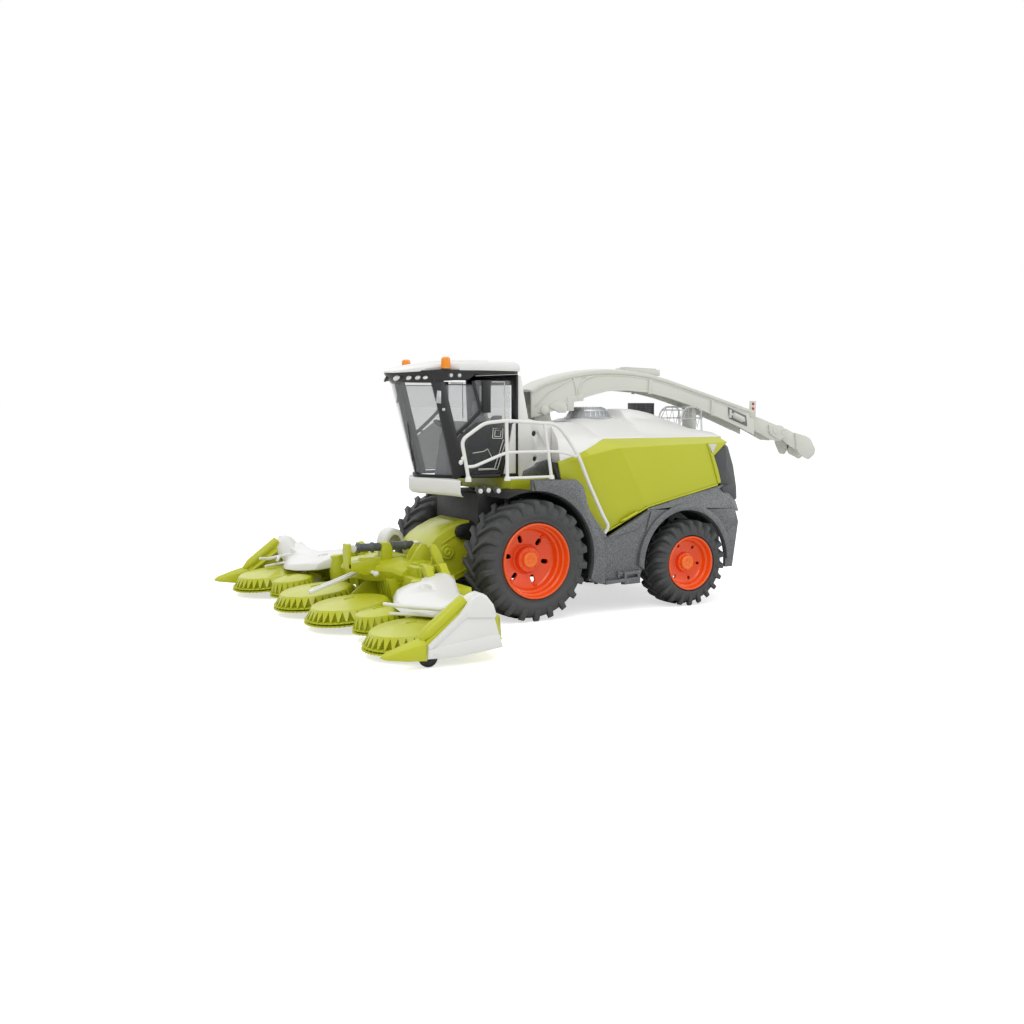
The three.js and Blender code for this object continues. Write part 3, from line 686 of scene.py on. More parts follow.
class SkinGroups:
    """Shader node groups that several finishes share."""

    def __init__(self) -> None:
        """Builds the groups."""
        self.moulded = self._moulded()
        self.flecked = self._flecked()

    @staticmethod
    def _start(name: str, inputs: Sequence[tuple[str, str, object]]) -> tuple[bpy.types.NodeTree,
            object, object]:
        """Opens a group with those inputs and the outputs Color, Roughness and Height.

        Args:
            name: Name of the node group.
            inputs: Name and default value of each input.

        Returns:
            The tree, its input node and its output node.
        """
        tree = bpy.data.node_groups.new(name, "ShaderNodeTree")
        for label, kind, value in inputs:
            socket = tree.interface.new_socket(label, in_out="INPUT", socket_type=kind)
            if value is not None:
                socket.default_value = value
        tree.interface.new_socket("Color", in_out="OUTPUT", socket_type="NodeSocketColor")
        tree.interface.new_socket("Roughness", in_out="OUTPUT", socket_type="NodeSocketFloat")
        tree.interface.new_socket("Height", in_out="OUTPUT", socket_type="NodeSocketFloat")
        return tree, tree.nodes.new("NodeGroupInput"), tree.nodes.new("NodeGroupOutput")

    @staticmethod
    def _range(tree: bpy.types.NodeTree, source: object, low: float, high: float) -> object:
        """A map of 0..1 onto low..high.

        Args:
            tree: Tree that the node is added to.
            source: Socket whose value is mapped.
            low: Result at 0.
            high: Result at 1.

        Returns:
            The socket with the mapped value.
        """
        node = tree.nodes.new("ShaderNodeMapRange")
        node.inputs["To Min"].default_value, node.inputs["To Max"].default_value = low, high
        tree.links.new(source, node.inputs["Value"])
        return node.outputs[0]

    def _moulded(self) -> bpy.types.NodeTree:
        """Moulded plastic: slow drift of colour and gloss, fine grain, faint flow marks.

        Returns:
            The finished node group.
        """
        tree, given, out = self._start("moulded_skin", [("Vector", "NodeSocketVector", None),
                ("Colour", "NodeSocketColor", (0.5, 0.5, 0.5, 1.0)),
                ("Shade", "NodeSocketFloat", 0.93), ("Gloss", "NodeSocketFloat", 0.35),
                ("Grain", "NodeSocketFloat", 2600.0)])
        add, link = tree.nodes.new, tree.links.new
        drift, grain, flow = add("ShaderNodeTexNoise"), add("ShaderNodeTexNoise"), add(
            "ShaderNodeTexNoise")
        for node, scale, detail in ((drift, 22.0, 3.0), (flow, 160.0, 2.0), (grain, 2600.0, 3.0)):
            node.inputs["Scale"].default_value, node.inputs["Detail"].default_value = scale, detail
            link(given.outputs["Vector"], node.inputs["Vector"])
        link(given.outputs["Grain"], grain.inputs["Scale"])
        darker = add("ShaderNodeMix")
        darker.data_type, darker.blend_type = "RGBA", "MULTIPLY"
        shade = add("ShaderNodeCombineColor")
        for channel in range(3):
            link(given.outputs["Shade"], shade.inputs[channel])
        link(drift.outputs[0], darker.inputs["Factor"])
        link(given.outputs["Colour"], darker.inputs["A"])
        link(shade.outputs[0], darker.inputs["B"])
        link(darker.outputs["Result"], out.inputs["Color"])
        spread, rough = add("ShaderNodeMath"), add("ShaderNodeMath")
        rough.operation = "MULTIPLY"
        link(self._range(tree, drift.outputs[0], 0.72, 1.06), spread.inputs[0])
        link(self._range(tree, flow.outputs[0], -0.05, 0.19), spread.inputs[1])
        link(spread.outputs[0], rough.inputs[0])
        link(given.outputs["Gloss"], rough.inputs[1])
        link(rough.outputs[0], out.inputs["Roughness"])
        height = add("ShaderNodeMath")
        height.operation = "MULTIPLY_ADD"
        height.inputs[1].default_value = 0.35
        link(flow.outputs[0], height.inputs[0])
        link(grain.outputs[0], height.inputs[2])
        link(height.outputs[0], out.inputs["Height"])
        return tree

    def _flecked(self) -> bpy.types.NodeTree:
        """Metallic plastic: bright and dark flakes in the skin.

        Returns:
            The finished node group.
        """
        tree, given, out = self._start("flecked_skin", [("Vector", "NodeSocketVector", None),
                ("Dark", "NodeSocketColor", (0.05, 0.05, 0.05, 1.0)),
                ("Bright", "NodeSocketColor", (0.3, 0.3, 0.3, 1.0)),
                ("Size", "NodeSocketFloat", 1500.0), ("Gloss", "NodeSocketFloat", 0.4)])
        add, link = tree.nodes.new, tree.links.new
        flakes, cloud, ramp = add("ShaderNodeTexVoronoi"), add("ShaderNodeTexNoise"), add(
            "ShaderNodeValToRGB")
        mix, split = add("ShaderNodeMix"), add("ShaderNodeSeparateColor")
        mix.data_type = "RGBA"
        cloud.inputs["Scale"].default_value, cloud.inputs["Detail"].default_value = 700.0, 4.0
        for node in (flakes, cloud):
            link(given.outputs["Vector"], node.inputs["Vector"])
        link(given.outputs["Size"], flakes.inputs["Scale"])
        link(flakes.outputs["Color"], split.inputs[0])
        both = add("ShaderNodeMath")
        both.operation = "MULTIPLY_ADD"
        both.inputs[1].default_value = 0.55
        link(split.outputs[0], both.inputs[0])
        link(self._range(tree, cloud.outputs[0], -0.12, 0.62), both.inputs[2])
        ramp.color_ramp.elements[0].position, ramp.color_ramp.elements[1].position = 0.2, 0.85
        link(both.outputs[0], ramp.inputs[0])
        link(ramp.outputs[0], mix.inputs["Factor"])
        link(given.outputs["Dark"], mix.inputs["A"])
        link(given.outputs["Bright"], mix.inputs["B"])
        link(mix.outputs["Result"], out.inputs["Color"])
        rough = add("ShaderNodeMath")
        rough.operation = "MULTIPLY"
        link(self._range(tree, both.outputs[0], 1.15, 0.8), rough.inputs[0])
        link(given.outputs["Gloss"], rough.inputs[1])
        link(rough.outputs[0], out.inputs["Roughness"])
        link(both.outputs[0], out.inputs["Height"])
        return tree


@dataclass(frozen=True)
class Plastic:
    """A moulded plastic: screen colour, how far it drifts darker, roughness, grain and its
    bump."""

    name: str
    colour: tuple[int, int, int]
    shade: float = 0.93
    gloss: float = 0.38
    grain: float = 2600.0
    bump: float = 0.12
    coat: float = 0.0

    def build(self, groups: SkinGroups) -> bpy.types.Material:
        """Makes the material.

        Args:
            groups: The shared node groups.

        Returns:
            The material.
        """
        material, shader, place = new_material(self.name)
        tree = material.node_tree
        skin = tree.nodes.new("ShaderNodeGroup")
        skin.node_tree = groups.moulded
        skin.inputs["Colour"].default_value = from_screen(self.colour)
        skin.inputs["Shade"].default_value = self.shade
        skin.inputs["Gloss"].default_value = self.gloss
        skin.inputs["Grain"].default_value = self.grain
        shader.inputs["Coat Weight"].default_value = self.coat
        shader.inputs["Coat Roughness"].default_value = 0.12
        wire_skin(tree, place, skin, shader, self.bump)
        return material


@dataclass(frozen=True)
class Metallic:
    """A plastic filled with metal flakes: its dark and bright colours, flake size and gloss."""

    name: str
    dark: tuple[int, int, int]
    bright: tuple[int, int, int]
    metal: float = 0.35
    size: float = 1500.0
    gloss: float = 0.42

    def build(self, groups: SkinGroups) -> bpy.types.Material:
        """Makes the material from the shared groups.

        Args:
            groups: Shared shader groups.

        Returns:
            The finished material.
        """
        material, shader, place = new_material(self.name)
        tree = material.node_tree
        skin = tree.nodes.new("ShaderNodeGroup")
        skin.node_tree = groups.flecked
        skin.inputs["Dark"].default_value = from_screen(self.dark)
        skin.inputs["Bright"].default_value = from_screen(self.bright)
        skin.inputs["Size"].default_value = self.size
        skin.inputs["Gloss"].default_value = self.gloss
        shader.inputs["Metallic"].default_value = self.metal
        wire_skin(tree, place, skin, shader, 0.1)
        return material


@dataclass(frozen=True)
class Clear:
    """A see-through plastic: its tint, how clear it is and its roughness."""

    name: str
    tint: tuple[int, int, int]
    see: float = 0.85
    gloss: float = 0.12

    def build(self, groups: SkinGroups) -> bpy.types.Material:
        """Makes the material: thin tinted plastic that lets light straight through.

        Args:
            groups: Shared shader groups.

        Returns:
            The finished material.
        """
        material, shader, place = new_material(self.name)
        tree = material.node_tree
        skin = tree.nodes.new("ShaderNodeGroup")
        skin.node_tree = groups.moulded
        skin.inputs["Colour"].default_value = from_screen(self.tint)
        skin.inputs["Shade"].default_value = 0.9
        skin.inputs["Gloss"].default_value = self.gloss
        skin.inputs["Grain"].default_value = 300.0
        wire_skin(tree, place, skin, shader, 0.03)
        veil = tree.nodes.new("ShaderNodeMapRange")
        veil.inputs["To Min"].default_value = 1.0 - self.see - 0.02
        veil.inputs["To Max"].default_value = 1.0 - self.see + 0.04
        cloud = tree.nodes.new("ShaderNodeTexNoise")
        cloud.inputs["Scale"].default_value = 30.0
        tree.links.new(place, cloud.inputs["Vector"])
        tree.links.new(cloud.outputs[0], veil.inputs["Value"])
        tree.links.new(veil.outputs[0], shader.inputs["Alpha"])
        return material


def new_material(name: str) -> tuple[bpy.types.Material, bpy.types.Node, bpy.types.NodeSocket]:
    """Opens a material.

    Args:
        name: Its name.

    Returns:
        The material, its Principled shader and the Object coordinates.
    """
    material = bpy.data.materials.new(name)
    material.use_nodes = True
    shader = material.node_tree.nodes["Principled BSDF"]
    place = material.node_tree.nodes.new("ShaderNodeTexCoord").outputs["Object"]
    return material, shader, place


def wire_skin(tree: bpy.types.NodeTree, place: bpy.types.NodeSocket, skin: bpy.types.Node,
              shader: bpy.types.Node, bump: float) -> None:
    """Joins a skin group to the shader.

    Args:
        tree: The material's tree.
        place: The Object coordinates.
        skin: The placed group.
        shader: The Principled shader.
        bump: Strength of the bump.
    """
    relief = tree.nodes.new("ShaderNodeBump")
    relief.inputs["Strength"].default_value = bump
    relief.inputs["Distance"].default_value = 0.0001
    tree.links.new(place, skin.inputs["Vector"])
    tree.links.new(skin.outputs["Color"], shader.inputs["Base Color"])
    tree.links.new(skin.outputs["Roughness"], shader.inputs["Roughness"])
    tree.links.new(skin.outputs["Height"], relief.inputs["Height"])
    tree.links.new(relief.outputs[0], shader.inputs["Normal"])


class Paints:
    """Every finish of the toy, made once."""

    def __init__(self) -> None:
        """Builds all the materials."""
        g = SkinGroups()
        self.lime = Plastic("lime", (196, 201, 38), 0.9, 0.36).build(g)
        self.white = Plastic("white", (236, 236, 233), 0.965, 0.34).build(g)
        self.spout = Plastic("warm_white", (216, 217, 208), 0.95, 0.42).build(g)
        self.dark = Plastic("dark_grey", (70, 71, 73), 0.8, 0.46).build(g)
        self.black = Plastic("black", (34, 34, 36), 0.75, 0.34).build(g)
        # Near-black copy of the dark plastic for the hull and the arch sheets: painted shade under
        # the body and inside the wheel arches.
        self.hull = Plastic("hull_black", (27, 27, 28), 0.75, 0.62).build(g)
        self.tyre = Plastic("tyre_rubber", (72, 73, 74), 0.84, 0.72, 1500.0, 0.3).build(g)
        self.rim = Plastic("orange_red", (250, 92, 16), 0.92, 0.3, coat=0.25).build(g)
        self.hub = Plastic("orange", (255, 124, 30), 0.92, 0.32, coat=0.2).build(g)
        self.amber = Plastic("amber", (255, 156, 0), 0.94, 0.2, coat=0.4).build(g)
        self.red = Plastic("lamp_red", (190, 22, 20), 0.85, 0.2, coat=0.4).build(g)
        self.seat = Plastic("seat_grey", (96, 98, 102), 0.85, 0.6).build(g)
        self.barrel = Plastic("barrel_grey", (88, 92, 94), 0.85, 0.4).build(g)
        self.fleck = Metallic("metallic_grey", (84, 86, 88), (128, 131, 133)).build(g)
        self.silver = Metallic("silver", (160, 164, 168), (214, 217, 220), 0.55, 2600.0,
            0.3).build(g)
        self.lens = Metallic("lamp_lens", (196, 198, 196), (242, 243, 240), 0.1, 900.0,
            0.16).build(g)
        self.glass = Clear("window", (188, 190, 194), 0.8, 0.14).build(g)
        self.smoked = Clear("smoked_window", (66, 70, 71), 0.42, 0.2).build(g)
        self.dome = Clear("clear_dome", (222, 225, 226), 0.52, 0.16).build(g)


# ------------------------------------------------------------------ studio


@dataclass
class Studio:
    """Pale floor, soft lights and the camera; places in metres of the shared frame."""

    eye: Spot = (0.68375, 1.0898, 0.2095)
    aim: Spot = (-0.48350, -0.87056, -0.09136)
    lens: float = 42.95
    floor_half: float = 30.0
    lamps: tuple[tuple[str, Spot, float, float], ...] = (
        ("key", (1.3, 1.5, 2.1), 1.7, 21.0),
        ("top", (-0.2, 0.2, 2.6), 2.4, 18.0),
        ("side", (-1.9, 1.3, 0.9), 1.6, 8.0),
        ("back", (0.4, -2.1, 1.5), 2.0, 9.0))

    def build(self) -> None:
        """Sets up the whole studio."""
        self._camera()
        self._floor()
        self._world()
        for name, place, size, power in self.lamps:
            light = bpy.data.lights.new(name, "AREA")
            light.size, light.energy = size, power
            lamp = bpy.data.objects.new(name, light)
            lamp.location = place
            lamp.rotation_euler = (Vector((0, 0, 0.1)) - Vector(place)).to_track_quat("-Z",
                "Y").to_euler()
            bpy.context.scene.collection.objects.link(lamp)
        bpy.context.scene.view_settings.view_transform = "Standard"

    def _camera(self) -> None:
        """Puts the camera in its place."""
        camera = bpy.data.objects.new("camera", bpy.data.cameras.new("camera"))
        camera.data.lens, camera.data.sensor_width = self.lens, 36.0
        camera.data.clip_start, camera.data.clip_end = 0.01, 100.0
        camera.location = self.eye
        camera.rotation_euler = Vector(self.aim).to_track_quat("-Z", "Y").to_euler()
        bpy.context.scene.collection.objects.link(camera)
        bpy.context.scene.camera = camera

    def _floor(self) -> None:
        """Lays the floor; straight views of it get a little extra so that it reads as white."""
        h = self.floor_half
        mesh = bpy.data.meshes.new("studio_floor")
        mesh.from_pydata([(-h, -h, 0.0), (h, -h, 0.0), (h, h, 0.0), (-h, h, 0.0)], [],
            [(0, 1, 2, 3)])
        floor = bpy.data.objects.new("studio_floor", mesh)
        bpy.context.scene.collection.objects.link(floor)
        material, shader, _ = new_material("floor_white")
        tree = material.node_tree
        shader.inputs["Base Color"].default_value = (0.9, 0.9, 0.9, 1.0)
        shader.inputs["Roughness"].default_value = 0.9
        shader.inputs["Specular IOR Level"].default_value = 0.0
        path, glow, add = (tree.nodes.new(k) for k in
                           ("ShaderNodeLightPath", "ShaderNodeEmission", "ShaderNodeAddShader"))
        seen = tree.nodes.new("ShaderNodeMath")
        seen.operation = "MULTIPLY"
        seen.inputs[1].default_value = 0.62
        tree.links.new(path.outputs["Is Camera Ray"], seen.inputs[0])
        tree.links.new(seen.outputs[0], glow.inputs["Strength"])
        tree.links.new(shader.outputs[0], add.inputs[0])
        tree.links.new(glow.outputs[0], add.inputs[1])
        tree.links.new(add.outputs[0], tree.nodes["Material Output"].inputs["Surface"])
        mesh.materials.append(material)

    def _world(self) -> None:
        """White all round; soft for the light it gives, plain white where it is seen."""
        world = bpy.data.worlds.new("studio")
        world.use_nodes = True
        bpy.context.scene.world = world
        tree = world.node_tree
        sky = tree.nodes["Background"]
        sky.inputs["Color"].default_value = (1.0, 1.0, 1.0, 1.0)
        path = tree.nodes.new("ShaderNodeLightPath")
        seen, both = tree.nodes.new("ShaderNodeMath"), tree.nodes.new("ShaderNodeMath")
        seen.operation = both.operation = "MAXIMUM"
        tree.links.new(path.outputs["Is Camera Ray"], seen.inputs[0])
        tree.links.new(path.outputs["Is Transmission Ray"], seen.inputs[1])
        tree.links.new(seen.outputs[0], both.inputs[0])
        tree.links.new(path.outputs["Is Glossy Ray"], both.inputs[1])
        level = tree.nodes.new("ShaderNodeMapRange")
        level.inputs["To Min"].default_value, level.inputs["To Max"].default_value = 0.5, 1.0
        tree.links.new(both.outputs[0], level.inputs["Value"])
        tree.links.new(level.outputs[0], sky.inputs["Strength"])


# ------------------------------------------------------------------ wheels and hull


def round_point(radius: float, turn: float, y: float) -> Spot:
    """A point round the y axis; the turn is in degrees from the top, towards the front."""
    t = math.radians(turn)
    return (radius * math.sin(t), y, radius * math.cos(t))


@dataclass
class Tyre:
    """One size of tyre with swept traction lugs; millimetres, laid out for the left side."""

    radius: float
    inner: float
    outer: float
    rim: float
    lugs: int
    sweep: float = 13.0
    tread_deep: float = 3.6
    lug_half: float = 3.3

    def carcass(self, centre: Spot) -> Form:
        """The bald tyre: two bulged sidewalls and a slightly crowned tread.

        Args:
            centre: Middle of the wheel.

        Returns:
            The bald tyre as a closed form.
        """
        a, b, r = self.inner, self.outer, self.radius
        base = r - self.tread_deep
        side = [(self.rim + 0.3, 5.0), (self.rim + 0.5, 2.6), (self.rim + 2.2, 1.7),
            (self.rim + 3.4, 2.2), (self.rim + 4.6, 1.5), (r - 15.5, 0.6), (r - 12.0, 0.4),
            (r - 8.5, 1.2), (r - 5.4, 3.2), (base, 8.0)]
        line = [(p, a + q) for p, q in side] + [(base + 0.7, (a + b) / 2)]
        line += [(p, b - q) for p, q in reversed(side)]
        return Form().lathe(line, (centre[0], 0.0, centre[2]), Axis.Y, 96)

    def lug(self, left: bool) -> Form:
        """One lug, from the shoulder to just past the middle of the tread.

        Args:
            left: Whether the lug starts at the left shoulder.

        Returns:
            The lug, laid out round the origin.
        """
        r, middle = self.radius, (self.inner + self.outer) / 2
        half = (self.outer - self.inner) / 2
        base = r - self.tread_deep - 1.2
        steps = [(1.0, r - 12.5, r - 4.6, 0.0, 0.95), (0.93, r - 10.0, r - 1.5, 0.1, 1.05),
            (0.82, r - 7.0, r - 0.3, 0.6, 1.08), (0.62, base, r - 0.1, 2.6, 1.0),
            (0.40, base, r, 6.0, 0.92), (0.18, base, r, 10.0, 0.84),
            (-0.05, base, r, self.sweep + 1.2, 0.72)]
        rings = []
        for share, low, high, turn, wide in steps:
            y = middle + (half if left else -half) * share
            w = math.degrees(self.lug_half * wide / r)
            rings.append([round_point(low, turn - w * 1.25, y),
                    round_point(high, turn - w * 0.8, y), round_point(high, turn + w * 0.8, y),
                    round_point(low, turn + w * 1.25, y)])
        return Form().loft(rings)

    def build(self, repeat: Repeater, centre: Spot) -> Form:
        """The whole tyre.

        Args:
            repeat: The repeater that sets the lugs out.
            centre: The wheel's centre.

        Returns:
            The finished form.
        """
        tyre = self.carcass(centre)
        half_step = 180.0 / self.lugs
        for left in (True, False):
            lug = self.lug(left)
            if not left:
                t = math.radians(half_step)
                c, s = math.cos(t), math.sin(t)
                lug.warp(lambda p: (p[0] * c + p[2] * s, p[1], p[2] * c - p[0] * s))
            tyre.join(repeat.ring(lug, self.lugs, Axis.Y, (centre[0], 0.0, centre[2])))
        return tyre


@dataclass
class Rim:
    """A dished rim with slots and studs; heights are measured inwards from its lip."""

    radius: float
    lip: float
    inner: float
    dish: Sequence[Flat]
    back: Sequence[Flat]
    slot: Flat
    slot_deep: Flat
    slot_half: float
    stud: Flat
    first: float

    def build(self, repeat: Repeater, centre: Spot) -> tuple[Form, Form]:
        """The rim and the ring of slots to be cut from it.

        Args:
            repeat: The repeater that sets out the slots and studs.
            centre: The wheel's centre.

        Returns:
            The rim's form, and the tool for the slots.
        """
        hub = (centre[0], 0.0, centre[2])
        front = [(r, self.lip - d) for r, d in self.dish]
        rear = [(r, self.lip - d) for r, d in self.back]
        barrel = [(self.radius, self.lip - 0.5), (self.radius, self.inner + 3.0),
            (self.radius - 2.2, self.inner + 3.0)]
        rim = Form().lathe(front + barrel + rear, hub, Axis.Y, 96)
        t = math.radians(self.first)
        c, s = math.cos(t), math.sin(t)

        def turned(form: Form) -> Form:
            """Turns a part to the first slot's angle."""
            return form.warp(lambda p: (p[0] * c + p[2] * s, p[1], p[2] * c - p[0] * s))

        low, high = self.lip - self.slot_deep[0], self.lip - self.slot_deep[1]
        w = self.slot_half
        r0, r1 = self.slot
        shape = arc((0.0, r1 - w), w, 0, 180, 6) + arc((0.0, r0 + w), w, 180, 360, 6)
        tool = repeat.ring(turned(Form().prism(shape, Plane.XZ, low, high)), 6, Axis.Y, hub)
        foot = self.lip - self.stud[1]
        block = turned(Form().loft([[(x * g, y, self.stud[0] + z * g)
                    for x, z in ((-1.7, -1.5), (1.7, -1.5), (1.7, 1.5), (-1.7, 1.5))]
                    for y, g in ((foot - 1.0, 1.0), (foot + 1.5, 0.95), (foot + 2.2, 0.6))]))
        rim.join(repeat.ring(block, 6, Axis.Y, hub))
        return rim, tool


@dataclass
class RunningGear:
    """Wheels, steering knuckles, the dark hull between them and black sheets of painted shade
    inside the arches.
    """

    paints: Paints
    shop: Workshop
    front: Tyre = field(default_factory=lambda: Tyre(
        radius=FRONT_R, inner=57.0, outer=104.5, rim=36.0, lugs=22))
    rear: Tyre = field(default_factory=lambda: Tyre(
        radius=REAR_R, inner=64.0, outer=101.5, rim=27.6, lugs=22, sweep=14.0, tread_deep=3.1,
        lug_half=2.5))
    pin_y: float = 70.0

    def build(self) -> None:
        """Makes every piece of the running gear."""
        for side in Side:
            self._wheel("front", side, self.front, (0.0, 0.0, FRONT_R), self._front_rim(), 12.0,
                7.7)
            self._wheel("rear", side, self.rear, (-WHEELBASE, 0.0, REAR_R), self._rear_rim(), 5.0,
                7.2)
            self._knuckle(side)
        self._hull()
        self._liners()
        self._hitch()

    @staticmethod
    def _front_rim() -> Rim:
        """Sizes of the front rim: deep dish, long slots.

        Returns:
            The sizes of the rim.
        """
        r = 36.0
        return Rim(r, 103.7, 57.0, dish=[(0.0, 15.2), (11.4, 15.2), (11.9, 15.8), (12.2, 22.0),
                (13.6, 22.6), (14.4, 21.6), (r - 8.6, 20.6), (r - 7.0, 19.2), (r - 6.4, 13.0),
                (r - 4.7, 12.2), (r - 4.2, 6.8), (r - 2.7, 6.0), (r - 2.3, 1.0), (r - 1.7, 0.1),
                (r - 0.5, 0.0)], back=[(r - 2.4, 40.0), (r - 2.6, 9.5), (r - 3.0, 14.5),
                (r - 5.0, 16.0), (r - 5.4, 21.6), (r - 8.0, 23.4), (13.6, 24.4), (13.0, 27.0),
                (5.3, 27.0), (5.3, 21.0), (0.0, 21.0)], slot=(16.6, 24.4), slot_deep=(26.0, 18.0),
            slot_half=2.3, stud=(26.4, 21.2), first=-40.0)

    @staticmethod
    def _rear_rim() -> Rim:
        """Sizes of the rear rim: shallower, with short slots.

        Returns:
            The sizes of the rim.
        """
        r = 27.6
        return Rim(r, 100.7, 64.0, dish=[(0.0, 8.4), (9.4, 8.4), (9.9, 9.0), (10.2, 13.0),
                (11.4, 13.4), (r - 6.6, 12.6), (r - 5.2, 11.2), (r - 4.6, 6.8), (r - 2.8, 5.8),
                (r - 2.3, 1.0), (r - 1.7, 0.1), (r - 0.5, 0.0)],
            back=[(r - 2.4, 33.0), (r - 2.4, 8.8), (r - 3.2, 13.4), (r - 6.0, 15.4), (11.0, 16.0),
                (10.6, 18.0), (4.4, 18.0), (4.4, 9.7), (0.0, 9.7)], slot=(16.2, 20.2),
            slot_deep=(17.0, 10.0), slot_half=1.5, stud=(14.0, 13.2), first=-38.0)

    def _wheel(self, place: str, side: Side, tyre: Tyre, centre: Spot, rim: Rim, cap: float,
            cap_r: float) -> None:
        """Makes a wheel: its tyre, its rim and the hub cap.

        Args:
            place: Front or rear, as in the names of the nodes.
            side: Side of the machine.
            tyre: Sizes of the tyre.
            centre: Middle of the wheel.
            rim: Sizes of the rim.
            cap: How far the hub cap stands out.
            cap_r: Radius of the hub cap.
        """
        tag = f"{place}_{side.tag}"
        body = f"{place}_wheel_{side.tag}"
        self.shop.piece(f"tyre_{tag}_lugged", tyre.build(self.shop.repeat, centre).on(side),
            self.paints.tyre, body, Slot.TYRE, [f"tyre_{tag}"], Finishing(edge=0.45, facet=42))
        form, tool = rim.build(self.shop.repeat, centre)
        self.shop.piece(f"rim_{tag}_dished", form.on(side), self.paints.rim, body, Slot.ORANGE,
                        [f"rim_{tag}"], Finishing(edge=0.25, cut=(tool.on(side),)))
        top = rim.lip - cap
        hub = (centre[0], 0.0, centre[2])
        hub_cap = Form().lathe([(0.0, top - 4.0), (cap_r, top - 4.0), (cap_r, top - 0.9),
                (cap_r - 0.8, top - 0.1), (cap_r * 0.62, top), (cap_r * 0.58, top - 0.5),
                (0.0, top - 0.5)], hub, Axis.Y, 48)
        bolt = Form().lathe([(0.0, top - 1.0), (0.75, top - 1.0), (0.75, top + 0.25),
                (0.45, top + 0.5), (0.0, top + 0.5)], (0.0, 0.0, cap_r * 0.36), Axis.Y, 8)
        hub_cap.join(self.shop.repeat.ring(bolt, 5, Axis.Y, hub))
        self.shop.piece(f"hub_cap_{tag}", hub_cap.on(side), self.paints.hub, body, Slot.ORANGE,
                        finish=Finishing(edge=0.2))
        ring_y = rim.lip - rim.dish[1][1]
        nut = Form().lathe([(0.0, ring_y - 0.5), (0.8, ring_y - 0.5), (0.8, ring_y + 0.7),
                (0.0, ring_y + 0.9)], (0.0, 0.0, rim.dish[1][0] - 1.6), Axis.Y, 6)
        self.shop.piece(f"wheel_nuts_{tag}", self.shop.repeat.ring(nut, 8, Axis.Y, hub).on(side),
            self.paints.rim, body, Slot.ORANGE, finish=Finishing(edge=0.0))

    def _knuckle(self, side: Side) -> None:
        """The steering knuckle: a webbed block round the kingpin, with the stub axle.

        Args:
            side: Side of the machine to make it for.
        """
        x, y, z = -WHEELBASE, self.pin_y, REAR_R
        form = Form().lathe([(3.1, -10.6), (6.0, -10.6), (6.0, 10.6), (3.1, 10.6)], (x, y, z),
            Axis.Z, 24)
        form.lathe([(0.0, y + 3.4), (5.4, y + 3.4), (5.4, y + 6.0), (4.0, y + 7.0), (3.9, 90.5),
                (0.0, 90.5)], (x, 0.0, z), Axis.Y, 24)
        form.prism([(x - 8.5, z - 2.4), (x - 4.5, z - 4.0), (x - 4.5, z + 4.0),
                (x - 8.5, z + 2.4)], Plane.XZ, y - 4.0, y + 3.0)
        self.shop.piece(f"knuckle_{side.tag}_block", form.on(side), self.paints.dark,
            f"knuckle_{side.tag}", Slot.DARK, [f"steering_knuckle_{side.tag}"],
            Finishing(edge=0.4))

    def _hull(self) -> None:
        """The dark hull with its belly ribs, axle housings, yokes and feeder lugs; its near-black
        is the dark plastic with painted shade.
        """
        hull = Form().prism([(-262, 56), (-262, 104), (-62, 104), (-62, 118), (33, 119.2),
                (33, 42), (14, 34.2), (-236, 34.2), (-254, 44)], Plane.XZ, -46, 46)
        hull.prism([(-238, 103), (-238, 168), (-96, 168), (-63, 157.5), (-63, 103)], Plane.XZ,
            -71.2, 71.2)
        rib = Form().box((-226.0, -222.0), (-34.0, 34.0), (31.6, 36.0))
        hull.join(self.shop.repeat.row(rib, 9, (28.0, 0.0, 0.0)))
        for sign in (1, -1):
            hull.loft([[(-16, y, 44), (16, y, 44), (18, y, 52), (18, y, 66), (12, y, 76),
                        (-12, y, 76), (-18, y, 66), (-18, y, 52)]
                    for y in sorted((sign * 40.0, sign * 54.0))])
            hull.lathe([(0.0, 0.0), (11.0, 0.0), (11.0, 7.0), (5.0, 8.0), (4.9, 31.0), (0.0, 31.0)]
                if sign > 0 else [(0.0, 0.0), (11.0, 0.0), (11.0, -7.0), (5.0, -8.0), (4.9, -31.0),
                    (0.0, -31.0)], (0.0, sign * 50.0, FRONT_R), Axis.Y, 32)
        x, z = -WHEELBASE, REAR_R
        hull.loft([[(x - w, y, z - h), (x + w, y, z - h), (x + w, y, z + h), (x - w, y, z + h)]
                for y, w, h in ((-58, 5.0, 6.0), (-30, 8.0, 8.5), (0, 9.0, 11.0), (30, 8.0, 8.5),
                    (58, 5.0, 6.0))])
        for sign in (1, -1):
            low, high = sorted((sign * 60.0, sign * 76.0))
            hull.box((x - 6, x + 6), (low, high), (z - 15, z - 11.2)).box((x - 6, x + 6),
                (low, high), (z + 11.2, z + 15))
            hull.box((x - 6, x + 6), tuple(sorted((sign * 56.5, sign * 61.0))), (z - 15, z + 15))
            hull.lathe([(0.0, -16.2), (4.0, -16.2), (4.0, -15.0), (2.5, -15.0), (2.5, 15.0),
                    (4.0, 15.0), (4.0, 16.2), (0.0, 16.2)], (x, sign * self.pin_y, z), Axis.Z, 20)
            hull.prism([(32, 73), (46, 75), (50.5, 77.5), (52, 82), (50.5, 86.5), (46, 89),
                    (32, 91)], Plane.XZ, *sorted((sign * 32.5, sign * 36.4)))
            hull.lathe([(0.0, -1.2), (3.6, -1.2), (3.6, 1.2), (0.0, 1.2)],
                (46.0, sign * 37.0, 82.0), Axis.Y, 16)
        hull.tube([(46, -34, 82), (46, 34, 82)], 2.5, 16)
        # Near-black finish on the hull: the dark plastic with the shade under the body painted in.
        self.shop.piece("hull", hull, self.paints.hull, "chassis", Slot.DARK, ["chassis"],
            Finishing(edge=0.7))

